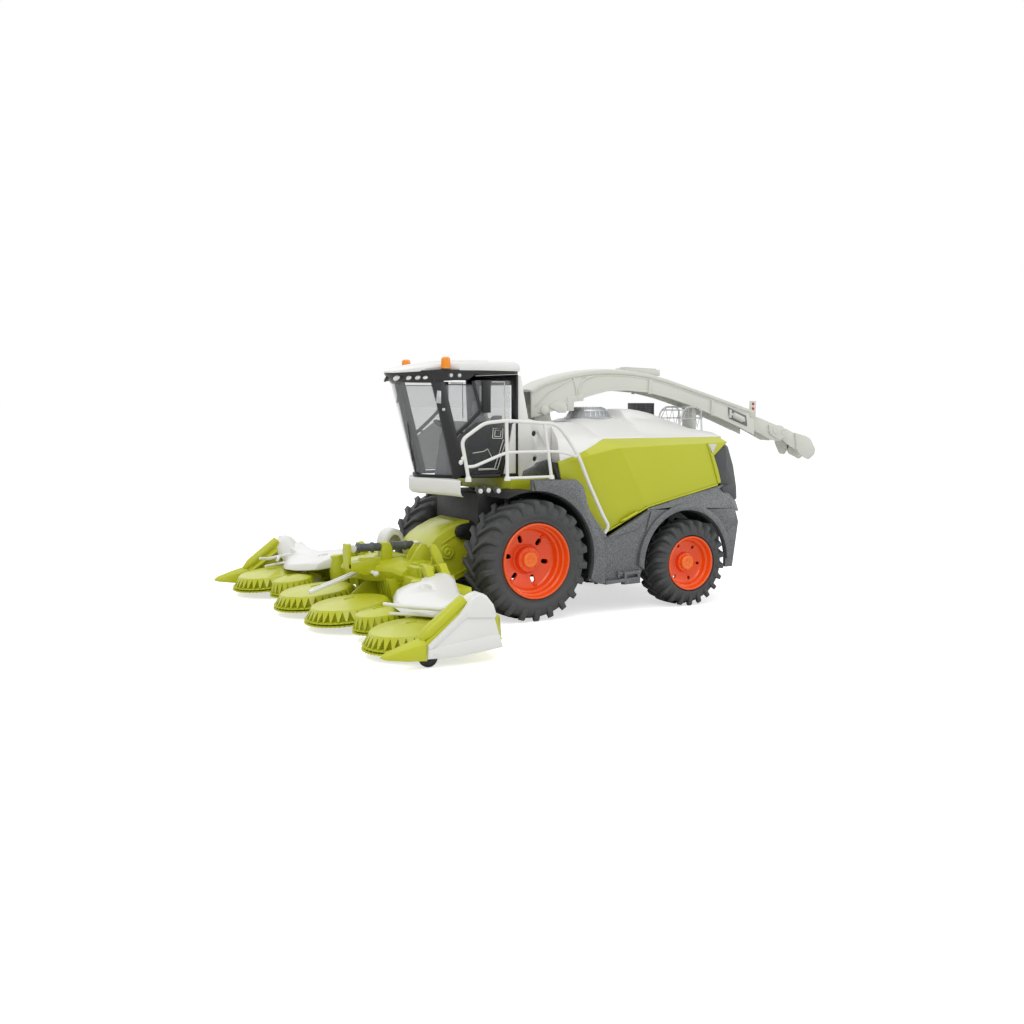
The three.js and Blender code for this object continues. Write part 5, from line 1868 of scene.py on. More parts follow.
        self.shop.piece("visor_skirt", self._narrow(visor), self.paints.black, "chassis",
            Slot.BLACK, ["cab_visor"], Finishing(edge=0.4))
        lamps, bezels = Form(), Form()
        for sign in (1, -1):
            for x, y, wide, aim in ((104.3, 17.0, 4.6, 14.0), (100.0, 35.0, 3.4, 20.0),
                    (96.4, 46.6, 3.1, 24.0), (92.6, 54.6, 2.7, 30.0)):
                t = math.radians(aim)
                for form, big, deep in ((bezels, 1.24, 0.0), (lamps, 1.0, 0.9)):
                    face = Form().lathe([(0.0, -1.2), (wide * big, -1.2),
                            (wide * big, 0.6 + deep * 0.4), (wide * big * 0.7, 1.0 + deep),
                            (0.0, 1.2 + deep)], (0.0, 0.0, 0.0), Axis.X, 28)
                    face.warp(lambda p: (p[0] - p[2] * 0.32, p[1], p[2] * 0.62))
                    face.warp(lambda p: (x + 0.2 + p[0] * math.cos(t) - p[1] * math.sin(t),
                            y + p[0] * math.sin(t) + p[1] * math.cos(t), 230.4 + p[2]))
                    form.join(face.on(Side.LEFT if sign > 0 else Side.RIGHT))
            for x in (70.4, 61.6):
                for form, big in ((bezels, 1.25), (lamps, 1.0)):
                    round_lamp = Form().lathe([(0.0, 60.6), (2.3 * big, 60.6), (2.3 * big, 62.4),
                            (1.8 * big, 63.0), (0.0, 63.2 if big > 1.1 else 63.8)],
                        (x, 0.0, 232.6), Axis.Y, 24)
                    form.join(round_lamp.on(Side.LEFT if sign > 0 else Side.RIGHT))
        self.shop.piece("visor_bezels", self._narrow(bezels), self.paints.dark, "chassis",
            Slot.BLACK, finish=Finishing(edge=0.0))
        self.shop.piece("visor_lamps", self._narrow(lamps), self.paints.lens, "chassis",
            Slot.SILVER, finish=Finishing(edge=0.0))

    def _roof(self) -> None:
        """The white roof, thin at the front and deep at the rear, with a low hatch."""
        spine = [(109.0, 9.0, 235.2, 236.0), (107.6, 17.0, 235.2, 236.8),
            (103.4, 35.6, 235.6, 238.6), (98.4, 48.0, 236.0, 240.2), (93.4, 54.4, 236.6, 241.4),
            (84.6, 54.2, 236.9, 243.2), (71.6, 54.4, 237.3, 245.0), (66.4, 56.0, 237.3, 245.5),
            (61.0, 63.2, 237.5, 245.8), (40.0, 64.4, 237.6, 246.2), (16.0, 64.4, 237.4, 246.2),
            (0.0, 63.6, 237.2, 245.9), (-5.4, 60.0, 237.0, 245.0), (-7.0, 54.0, 237.2, 243.6)]
        sections = []
        for x, wide, low, top in spine:
            deep = top - low
            half = [(wide, low), (wide + 0.3, low + deep * 0.5), (wide - 1.4, top - deep * 0.16),
                (wide - 6.0, top), (wide * 0.5, top + 0.5), (0.0, top + 0.6)]
            ring = [(x, y, z) for y, z in half]
            sections.append(ring + [(x, -y, z) for _, y, z in reversed(ring) if y > 0])
        self.shop.piece("roof_shell", self._narrow(Form().loft(sections)), self.paints.white,
            "chassis", Slot.WHITE, ["cab_roof"], Finishing(edge=0.6, facet=30))
        hatch = Form().loft([[(x, y, z) for x, y in self._whole(
                    [(12.0 + g, 30.0 - g), (56.0 - g, 27.0 - g)])]
                for z, g in ((246.0, 0.0), (247.3, 0.4), (247.7, 1.4))])
        self.shop.piece("roof_hatch", hatch, self.paints.white, "chassis", Slot.WHITE,
            finish=Finishing(edge=0.4))

    def _inside(self) -> None:
        """Driver's seat, second seat, console and steering wheel."""
        low = DECK + 0.3
        seat = Form().loft([[(x, y, z) for x, z in ((7.0, low), (40.0, low), (44.0, low + 13.0),
                    (42.0, low + 18.0), (14.0, low + 17.0), (8.0, low + 10.0))]
                for y in (-17.0, 17.0)])
        seat.loft([[(4.6, -15.0 + g, z), (4.6, 15.0 - g, z), (13.4, 15.0 - g, z),
                    (13.4, -15.0 + g, z)] for z, g in ((low + 14.0, 1.0), (low + 34.0, 0.0),
                    (low + 52.0, 2.0), (low + 59.0, 5.0))])
        seat.loft([[(5.4, -8.5 + g, z), (5.4, 8.5 - g, z), (12.4, 8.5 - g, z), (12.4, -8.5 + g, z)]
                for z, g in ((low + 58.0, 2.0), (low + 62.0, 0.0), (low + 70.0, 0.4),
                    (low + 73.6, 2.6))])
        for y in (-19.5, 19.5):
            seat.loft([[(12.0, y - 2, z), (12.0, y + 2, z), (34.0, y + 2, z + 0.6),
                        (34.0, y - 2, z + 0.6)] for z in (low + 26.0, low + 29.6)])
        second = Form().loft([[(x, y, z) for x, z in ((2.0, low), (24.0, low), (26.0, low + 22.0),
                    (10.0, low + 24.0), (9.0, low + 50.0), (6.0, low + 58.5), (1.6, low + 60.0))]
                for y in (22.0, 38.0)])
        self.shop.piece("cab_seats", seat.join(second), self.paints.seat, "chassis", Slot.DARK,
            ["cab_seat"], Finishing(edge=1.5, edge_steps=3))
        console = Form().loft([[(x0, -w, z), (x1, -w, z), (x1, w, z), (x0, w, z)]
                for z, x0, x1, w in ((low, 27.0, 52.0, 13.0), (low + 16.0, 30.0, 50.0, 11.0),
                    (low + 34.0, 34.0, 48.0, 9.0), (low + 44.0, 38.0, 47.0, 7.0))])
        self.shop.piece("steering_column", console, self.paints.seat, "chassis", Slot.DARK,
            ["steering_console"], Finishing(edge=1.6, edge_steps=3))
        lean = math.radians(28.0)

        def tilt(p: Spot) -> Spot:
            """Puts a point of the flat wheel in its slanted place."""
            x, z = p[0], p[2]
            return (45.0 + x * math.cos(lean) - z * math.sin(lean), p[1],
                low + 49.0 + x * math.sin(lean) + z * math.cos(lean))

        ring = [(12.0 + 1.15 * math.cos(a), 1.15 * math.sin(a))
            for a in (math.tau * i / 10 for i in range(10))]
        wheel = Form().lathe(ring, (0.0, 0.0, 0.0), Axis.Z, 48)
        wheel.lathe([(0.0, -5.0), (1.8, -5.0), (3.2, -0.8), (3.2, 0.9), (0.0, 1.2)],
            (0.0, 0.0, 0.0), Axis.Z, 24)
        spoke = Form().tube([(2.6, 0.0, 0.0), (11.8, 0.0, 0.0)], 0.9, 8)
        wheel.join(self.shop.repeat.ring(spoke, 3, Axis.Z, (0.0, 0.0, 0.0)))
        self.shop.piece("steering_wheel", wheel.warp(tilt), self.paints.dark, "chassis", Slot.DARK,
            finish=Finishing(edge=0.0))

    def _door(self, side: Side) -> None:
        """A door: clear upper pane, smoked lower panel, kinked bar, mirror and grip.

        Args:
            side: Side of the machine to make it for.
        """
        body = f"door_{side.tag}"
        outline = [(16.6, 138.3), (5.0, 188.0), (4.4, 228.2), (42.4, 228.2), (44.0, 224.4),
            (76.4, 224.4), (62.4, 170.0), (54.6, 138.3)]
        pane = Form().prism(outline, Plane.XZ, 57.4, 58.8)
        self.shop.piece(f"door_pane_{side.tag}", self._narrow(pane).on(side), self.paints.glass,
            body, Slot.CLEAR, [f"cab_door_{side.tag}"], Finishing(edge=0.3))
        lower = Form().prism([(16.9, 138.8), (5.8, 187.2), (34.0, 188.6), (43.0, 187.6),
                (62.8, 173.4), (54.3, 138.8)], Plane.XZ, 58.85, 59.5)
        self.shop.piece(f"door_smoked_{side.tag}", self._narrow(lower).on(side),
            self.paints.smoked, body, Slot.CLEAR, finish=Finishing(edge=0.2))
        y = 59.3
        bar = Form().tube([(45.2, y, 227.4), (42.6, y, 218.0), (38.4, y, 203.6), (38.0, y, 200.0),
                (39.8, y, 197.0), (50.0, y, 187.6), (63.6, y, 176.4)], 1.9, 8, 0.4)
        bar.box((27.0, 36.2), (58.9, 60.9), (197.2, 228.0)).box((27.6, 35.6), (60.6, 61.4),
            (197.8, 227.4))
        bar.tube([(27.6, 61.3, 218.4), (35.6, 61.3, 218.4)], 0.35,
            6).tube([(27.6, 61.3, 214.6), (35.6, 61.3, 214.6)], 0.35, 6)
        bar.tube([(76.0, y, 224.0), (62.2, y, 170.0), (54.5, y, 139.0)], 1.0, 8, 0.5)
        bar.tube([(17.0, y, 139.2), (54.2, y, 139.2)], 0.9, 8, 0.5)
        bar.tube([(44.0, y, 224.0), (75.6, y, 224.0)], 0.9, 8, 0.5)
        bar.lathe([(0.0, 59.0), (1.5, 59.0), (1.5, 60.4), (0.0, 60.8)], (57.6, 0.0, 178.0), Axis.Y,
            16)
        self.shop.piece(f"door_bars_{side.tag}", self._narrow(bar).on(side), self.paints.black,
            body, Slot.BLACK, finish=Finishing(edge=0.3))
        grip = Form()
        for g in (0.0, 2.2):
            grip.tube([(24.6 - g, 59.7, 172.6 + g * 0.8), (13.8 + g, 59.7, 172.2 + g * 0.8),
                    (13.0 + g, 59.7, 181.6 - g * 0.8), (23.8 - g, 59.7, 182.2 - g * 0.8),
                    (24.6 - g, 59.7, 172.6 + g * 0.8)], 0.42, 6)
        for g in (0.0, 3.2):
            grip.tube([(9.4 + g, 59.6, 171.0), (19.2 + g, 59.6, 142.4 + g * 0.3),
                    (40.0, 59.6, 142.2 + g * 0.3)], 0.4, 6)
        grip.tube([(24.0, 59.6, 152.0), (30.0, 59.6, 162.4), (34.0, 59.6, 160.0),
                (46.0, 59.6, 158.6)], 0.4, 6)
        grip.tube([(24.6, 59.2, 226.8), (11.0, 59.2, 226.8), (10.6, 59.2, 190.6)], 0.6, 6)
        self.shop.piece(f"door_grip_{side.tag}", self._narrow(grip).on(side), self.paints.spout,
            body, Slot.CLEAR, finish=Finishing(edge=0.0))

    def _beacon(self, side: Side) -> None:
        """A rotating beacon: dark foot and ribbed amber lens.

        Args:
            side: Side of the machine to make it for.
        """
        place = (66.6, self.true_half - 0.5, 0.0)
        foot = Form().lathe([(0.0, 237.0), (4.7, 237.0), (4.7, 238.4), (4.2, 239.0), (0.0, 239.0)],
            place, Axis.Z, 32)
        self.shop.piece(f"beacon_foot_{side.tag}", foot.on(side), self.paints.black, "chassis",
            Slot.BLACK, finish=Finishing(edge=0.2))
        lens = Form().lathe([(0.0, 239.0), (4.2, 239.0), (4.25, 240.2), (4.0, 240.6), (4.1, 248.2),
                (3.6, 249.4), (2.4, 250.0), (0.0, 250.1)], place, Axis.Z, 40)
        rib = Form().box((3.9, 4.3), (-0.2, 0.2), (240.4, 248.2))
        lens.join(self.shop.repeat.ring(rib, 20, Axis.Z, place))
        self.shop.piece(f"beacon_lens_{side.tag}", lens.on(side), self.paints.amber, "chassis",
            Slot.AMBER, [f"beacon_{side.tag}"], Finishing(edge=0.15))

    def _rear_panel(self, side: Side) -> None:
        """The white panel behind the door, with its two holes, black discs of painted shade at
        their bottoms, recess and grey box.

        Args:
            side: Side of the machine to make it for.
        """
        low = DECK + 0.3
        panel = Form().prism([(-4.6, low), (-4.6, 233.0), (-8.0, 233.0), (-16.6, 191.0),
                (-30.0, 188.0), (-42.6, 186.0), (-42.6, low)], Plane.XZ, 50.0, 57.6)
        panel.prism([(12.6, low), (1.8, 186.0), (-6.0, 188.4), (-6.0, low)], Plane.XZ, 56.2, 58.6)
        cuts = [Form().lathe([(0.0, 54.0), (r, 54.0), (r, 60.0), (0.0, 60.0)], (x, 0.0, z), Axis.Y,
                32) for x, z, r in ((-23.4, 176.4, 2.9), (-24.4, 151.4, 2.7))]
        cuts.append(Form().prism([(-26.6, 180.0), (-27.6, 161.6), (-39.0, 160.0)], Plane.XZ, 55.4,
                60.0))
        self.shop.piece(f"cab_side_panel_{side.tag}", self._narrow(panel).on(side),
            self.paints.white, "chassis", Slot.WHITE, [f"cab_rear_panel_{side.tag}"],
            Finishing(edge=0.5, cut=tuple(self._narrow(c).on(side) for c in cuts)))
        # Black discs at the bottom of the two blind holes: painted shade inside the holes.
        hole_shade = Form()
        for x, z, r in ((-23.4, 176.4, 2.8), (-24.4, 151.4, 2.6)):
            hole_shade.lathe([(0.0, 54.1), (r, 54.1), (r, 55.0), (0.0, 55.6)], (x, 0.0, z), Axis.Y, 20)
        self.shop.piece(f"panel_plugs_{side.tag}", self._narrow(hole_shade).on(side), self.paints.black,
            "chassis", Slot.BLACK, finish=Finishing(edge=0.2))
        box = Form().prism([(-9.0, low), (-10.4, 140.0), (-22.6, 144.8), (-24.4, 147.6),
                (-40.6, 151.6), (-41.6, low)], Plane.XZ, 57.8, 63.0)
        self.shop.piece(f"side_box_{side.tag}", self._narrow(box).on(side), self.paints.fleck,
            "chassis", Slot.GREY, finish=Finishing(edge=0.6))

    def _railing(self, side: Side) -> None:
        """The white tube rail beside the platform, with its posts and the long slanted hand rail.

        Args:
            side: Side of the machine to make it for.
        """
        y, r = 96.0, self.rail_r
        low = DECK + 0.3
        rail = Form().tube(rounded([(66.0, y - 4, low), (73.5, y - 4, 173.0), (52.0, y, 188.4),
                    (29.0, y, 190.4), (-24.0, y, 186.8), (-34.0, y, 178.0), (-50.5, y, 155.0),
                    (-62.0, y, 129.0), (-77.0, y + 1.6, 98.0), (-84.6, y + 1.4, 86.0),
                    (-80.4, y - 1.4, 78.6)], 6.0, 5), r, 14)
        rail.tube([(28.0, y, low), (29.0, y, 190.0)], r, 14)
        rail.tube([(-20.0, y, low), (-12.0, y, 187.0)], r * 0.95, 14)
        rail.tube(rounded([(68.6, y - 4, 148.4), (62.0, y - 2, 148.6), (29.0, y, 161.0),
                    (-16.5, y, 161.0), (-30.0, y, 160.4), (-47.6, y, 155.6)], 6.0), r * 0.85, 14)
        rail.tube([(30.0, y, low + 2.2), (-22.0, y, low + 2.2)], r * 0.85, 12)
        for x, z, back in ((66.8, 137.0, 4.0), (28.2, 136.2, 0.0), (-19.6, 136.2, 0.0)):
            rail.lathe([(0.0, low - z), (3.0, low - z), (2.8, 1.0), (r + 0.3, 2.6), (0.0, 2.6)],
                (x, y - back, z), Axis.Z, 20)
        for x, z in ((73.0, 156.0), (75.4, 152.6)):
            rail.ball((x - 1.0, y - 4.0, z), (2.0, 1.8, 2.4), 12)
        self.shop.piece("side_rail", rail.on(side), self.paints.white, "chassis", Slot.WHITE,
                        ["side_railing"], Finishing(edge=0.0, facet=50))


# ---------------------------------------------------------------- spout


@dataclass
class Spout:
    """The discharge spout: turret, turning ring, arched trough and the jointed deflector."""

    paints: Paints
    shop: Workshop
    axis_x: float = -64.0
    wall: float = 1.8
    lip: float = 1.0
    curve: tuple[tuple[float, float, float, float], ...] = ((-44.2, 219.4, 191.5, 15.0),
        (-56.0, 227.2, 194.0, 15.4), (-71.0, 231.6, 198.6, 15.6), (-87.1, 235.9, 204.8, 15.6),
        (-112.0, 239.8, 213.5, 15.4), (-136.5, 241.4, 219.0, 15.0), (-162.0, 240.6, 219.4, 14.8),
        (-188.0, 237.8, 217.4, 14.6), (-215.0, 231.8, 211.8, 14.3), (-241.6, 224.4, 204.4, 14.0),
        (-270.0, 216.6, 195.2, 13.7), (-297.6, 208.6, 185.4, 13.4), (-336.0, 197.8, 170.6, 13.0))

    def build(self) -> None:
        """Makes every piece of the spout."""
        self._turret()
        self._trough()
        self._trough_details()
        self._deflector()

    def _edge(self, x: float) -> tuple[float, float, float]:
        """Top height, foot height and half width of the trough at a place along it.

        Args:
            x: Place along the trough.

        Returns:
            Top height, foot height and half width there.
        """
        for (x0, t0, b0, h0), (x1, t1, b1, h1) in zip(self.curve, self.curve[1:]):
            if x >= x1:
                k = (x - x0) / (x1 - x0)
                k = min(max(k, 0.0), 1.0)
                return (t0 + (t1 - t0) * k, b0 + (b1 - b0) * k, h0 + (h1 - h0) * k)
        return self.curve[-1][1:]

    def _band(self, form: Form, places: Sequence[float], low: Callable[[float], float],
            high: Callable[[float], float], out: float) -> None:
        """Adds a raised strip along both side walls.

        Args:
            form: The form that gets the strips.
            places: Places along the trough, front to rear.
            low: Height of the strip's lower edge at a place.
            high: Height of the strip's upper edge at a place.
            out: How far the strip stands out of the wall.
        """
        for sign in (1.0, -1.0):
            sections = []
            for x in places:
                half = self._edge(x)[2]
                sections.append([(x, sign * (half - 0.6), low(x)),
                        (x, sign * (half + out), low(x)), (x, sign * (half + out), high(x)),
                        (x, sign * (half - 0.6), high(x))])
            form.loft(sections)

    def _turret(self) -> None:
        """The dark turret on the deck and the pale turning ring with its ears."""
        x, low = self.axis_x, DECK + 0.3
        turret = Form().box((-84.0, -44.0), (-22.0, 22.0), (low, 170.6))
        turret.lathe([(0.0, 170.0), (21.0, 170.0), (21.0, 177.4), (19.0, 178.0), (12.0, 178.0),
                (12.0, 187.0), (0.0, 187.0)], (x, 0.0, 0.0), Axis.Z, 56)
        for y in (-18.0, -6.0, 6.0, 18.0):
            turret.box((-85.0, -43.6), (y - 0.8, y + 0.8), (low, 168.0))
        self.shop.piece("spout_turret_block", turret, self.paints.dark, "chassis", Slot.DARK,
            ["spout_turret"], Finishing(edge=0.7))
        ring = Form().lathe([(12.4, 178.4), (19.0, 178.4), (19.0, 183.4), (17.6, 184.2),
                (16.0, 188.4), (12.4, 188.4)], (x, 0.0, 0.0), Axis.Z, 56)
        tooth = Form().box((18.4, 19.8), (-0.9, 0.9), (179.0, 182.8))
        ring.join(self.shop.repeat.ring(tooth, 30, Axis.Z, (x, 0.0, 0.0)))
        for sign in (1, -1):
            y0, y1 = sorted((sign * 8.0, sign * 11.0))
            ring.prism(rounded([(-71.0, 186.0), (-68.0, 199.0), (-63.0, 204.6), (-54.0, 204.6),
                        (-50.0, 198.0), (-49.6, 186.0)], 3.0), Plane.XZ, y0, y1)
        ring.lathe([(0.0, -12.8), (2.0, -12.8), (2.0, 12.8), (0.0, 12.8)], (-59.0, 0.0, 199.0),
            Axis.Y, 20)
        self.shop.piece("spout_turning_ring", ring, self.paints.spout, "spout_ring", Slot.SPOUT,
            ["spout_ring"], Finishing(edge=0.5))

    def _trough(self) -> None:
        """The arched trough, open below, with its rounded back."""
        sections = []
        for i in range(37):
            x = self.curve[0][0] + (self.curve[-1][0] - self.curve[0][0]) * i / 36
            top, foot, half = self._edge(x)
            w, r = self.wall, 2.6
            ring = [(half, foot), (half, top - r), (half - r * 0.3, top - r * 0.3),
                (half - r, top), (half * 0.4, top + 0.7)]
            back = [(half - w, foot), (half - w, top - r - 0.4), (half - w - 1.4, top - w)]
            outer = ring + [(-y, z) for y, z in reversed(ring)]
            inner = [(-y, z) for y, z in back] + list(reversed(back))
            sections.append([(x, y, z) for y, z in outer + inner])
        self.shop.piece("spout_trough", Form().loft(sections), self.paints.spout, "spout",
            Slot.SPOUT, ["spout_arm"], Finishing(edge=0.0, facet=32))

    def _trough_details(self) -> None:
        """Lips, ribs, joint plates, neck brackets, top box, cylinder and reflector."""
        trim = Form()
        whole = [self.curve[0][0] - 0.4 - 7.28 * i for i in range(40)] + [-335.6]
        panel = [-104.0 - 7.6 * i for i in range(30)]
        self._band(trim, whole, lambda x: self._edge(x)[0] - 4.4, lambda x: self._edge(x)[0] - 1.0,
            self.lip)
        self._band(trim, panel, lambda x: self._edge(x)[0] - 6.6, lambda x: self._edge(x)[0] - 5.6,
            0.5)
        self._band(trim, [-98.0, *panel], lambda x: self._edge(x)[1] - 0.2,
            lambda x: self._edge(x)[1] + 2.0, self.lip)
        for sign in (1, -1):
            y = sign * 15.7
            trim.tube([(-100.0, y, 213.0), (-100.4, y, 220.0), (-103.4, y, 227.0),
                    (-109.0, y, 231.6), (-118.0, y, 234.2)], 1.1, 8)
            trim.tube([(-93.6, y, 232.6), (-96.6, y, 222.0), (-98.6, y, 210.0)], 1.2, 8)
            trim.tube([(-49.0, y * 0.98, 203.0), (-62.0, y, 217.0), (-92.0, y, 231.6)], 0.9, 8)
            trim.tube([(-52.0, y * 0.98, 196.6), (-70.0, y, 203.0), (-88.0, y, 206.6)], 0.9, 8)
            for outline, lift in (([(-86.0, 212.6), (-86.0, 198.0), (-94.0, 198.4), (-94.0, 207.6),
                            (-105.6, 208.6), (-105.6, 215.6)], 1.1),
                    ([(-64.0, 203.0), (-76.0, 196.4), (-84.6, 196.4), (-84.6, 205.0),
                            (-74.0, 209.0)], 1.4)):
                y0, y1 = sorted((sign * 14.9, sign * (15.5 + lift)))
                trim.prism(outline, Plane.XZ, y0, y1)
            trim.lathe([(0.0, 13.4 * sign), (5.0, 13.4 * sign), (4.8, 17.2 * sign),
                    (2.4, 17.8 * sign), (0.0, 17.8 * sign)], (-59.0, 0.0, 199.0), Axis.Y, 28)
            for x in (-189.6, -274.4):
                top, foot, half = self._edge(x)
                y0, y1 = sorted((sign * (half - 0.4), sign * (half + 1.9)))
                trim.prism([(x + 0.6, top - 6.4), (x + 2.0, foot - 1.2), (x - 1.4, foot - 1.4),
                        (x - 2.2, top - 6.8)], Plane.XZ, y0, y1)
        trim.loft([[(x, -9.0 + g, z + (x + 164.0) * 0.03)
                    for x, g in ((-162.0, 0.0), (-207.5, 0.0))]
                + [(x, 9.0 - g, z + (x + 164.0) * 0.03) for x, g in ((-207.5, 0.0),
                    (-162.0, 0.0))] for z, g in ((236.6, 0.0), (243.0, 0.0))])
        trim.loft([[(-166.0, -7.0, z), (-204.0, -7.0, z - 1.4), (-204.0, 7.0, z - 1.4),
                    (-166.0, 7.0, z)] for z in (242.6, 244.4)])
        trim.prism([(-328.6, 195.0), (-329.0, 208.4), (-337.6, 208.4), (-337.4, 190.0),
                (-330.0, 190.0)], Plane.XZ, 12.4, 13.8)
        self.shop.piece("spout_trim", trim, self.paints.spout, "spout", Slot.SPOUT,
            finish=Finishing(edge=0.25))
        recess = Form()
        for sign in (1, -1):
            y0, y1 = sorted((sign * 12.6, sign * 14.0))
            recess.prism([(-297.4, 201.6), (-323.6, 192.0), (-325.4, 180.0), (-299.4, 189.0)],
                Plane.XZ, y0, y1)
        self.shop.piece("spout_recess", recess, self.paints.fleck, "spout", Slot.SPOUT,
            finish=Finishing(edge=0.3))
        rod = Form()
        for sign in (1, -1):
            y = sign * 14.0
            rod.tube([(-304.6, y, 193.0), (-318.6, y, 187.4)], 3.3, 18)
            rod.tube([(-301.4, y, 194.2), (-321.4, y, 186.2)], 1.4, 12)
            rod.box((-301.6, -299.0), (y - 1.4, y + 1.4), (189.6, 198.8))
        self.shop.piece("spout_cylinder", rod, self.paints.spout, "spout", Slot.SPOUT,
            finish=Finishing(edge=0.2))
        dots = Form()
        for z in (205.2, 199.8):
            dots.lathe([(0.0, 13.4), (1.7, 13.4), (1.6, 14.2), (0.0, 14.3)], (-333.2, 0.0, z),
                Axis.Y, 20)
        self.shop.piece("spout_reflectors", dots, self.paints.red, "spout", Slot.ORANGE,
            finish=Finishing(edge=0.0))

    def _deflector(self) -> None:
        """The two hinged parts at the end of the spout, with their hinge discs."""
        upper = Form()
        hollow = Form().prism([(-334.0, 191.0), (-352.0, 185.2), (-386.0, 173.0), (-386.0, 150.0),
                (-334.0, 150.0)], Plane.XZ, -8.8, 8.8)
        upper.prism([(-328.4, 193.0), (-345.0, 189.8), (-372.0, 180.6), (-382.6, 176.4),
                (-383.6, 171.0), (-378.0, 162.4), (-364.0, 163.6), (-334.0, 177.0)], Plane.XZ,
            -10.6, 10.6)
        plates = Form()
        for sign in (1, -1):
            y0, y1 = sorted((sign * 10.4, sign * 11.4))
            plates.prism(arc((-331.0, 190.0), 3.4, 0, 342, 19), Plane.XZ, y0, y1)
            y0, y1 = sorted((sign * 10.4, sign * 12.4))
            plates.prism(rounded([(-358.0, 181.4), (-378.0, 180.4), (-384.0, 175.0),
                        (-383.0, 166.6), (-374.0, 163.4), (-360.0, 171.0)], 4.0), Plane.XZ, y0, y1)
            for x, z, r in ((-368.0, 174.6, 3.8), (-379.0, 173.0, 3.0)):
                plates.lathe([(0.0, 12.0 * sign), (r, 12.0 * sign), (r * 0.8, 13.2 * sign),
                        (r * 0.35, 12.6 * sign), (0.0, 13.0 * sign)], (x, 0.0, z), Axis.Y, 24)
        self.shop.piece("deflector_upper", upper, self.paints.spout, "flap_upper", Slot.SPOUT,
            ["spout_flap_upper"], Finishing(edge=0.5, cut=(hollow,)))
        self.shop.piece("deflector_upper_plates", plates, self.paints.spout, "flap_upper",
            Slot.SPOUT, finish=Finishing(edge=0.4))
        lower = Form().prism([(-377.0, 177.4), (-388.0, 176.6), (-403.0, 169.8), (-408.0, 164.0),
                (-404.0, 151.6), (-390.0, 158.4), (-378.0, 167.0)], Plane.XZ, -8.4, 8.4)
        scoop = Form().prism([(-380.0, 172.0), (-402.0, 164.4), (-434.0, 151.0), (-434.0, 130.0),
                (-380.0, 140.0)], Plane.XZ, -6.6, 6.6)
        tip = Form().prism([(-400.0, 171.6), (-417.0, 167.6), (-424.0, 164.0), (-431.6, 152.0),
                (-430.0, 145.6), (-422.0, 140.4), (-408.0, 146.4), (-403.0, 152.6)], Plane.XZ,
            -9.6, 9.6)
        for sign in (1, -1):
            y0, y1 = sorted((sign * 8.2, sign * 9.8))
            lower.prism(rounded([(-386.0, 173.0), (-398.0, 170.4), (-407.0, 156.0),
                        (-401.0, 145.6), (-393.0, 147.0), (-386.0, 160.0)], 3.0), Plane.XZ, y0, y1)
            lower.lathe([(0.0, 9.6 * sign), (3.4, 9.6 * sign), (2.8, 10.5 * sign),
                    (0.0, 10.3 * sign)], (-399.0, 0.0, 152.6), Axis.Y, 24)
            tip.prism([(-404.0, 168.4), (-425.6, 162.6), (-426.4, 160.0), (-404.0, 165.6)],
                Plane.XZ, y0, y1)
        self.shop.piece("deflector_lower", lower, self.paints.spout, "flap_lower", Slot.SPOUT,
            ["spout_flap_lower"], Finishing(edge=0.4, cut=(scoop,)))
        self.shop.piece("deflector_tip", tip, self.paints.spout, "flap_lower", Slot.SPOUT,
                        finish=Finishing(edge=0.5, cut=(scoop.copy(),)))


# --------------------------------------------------------------- header


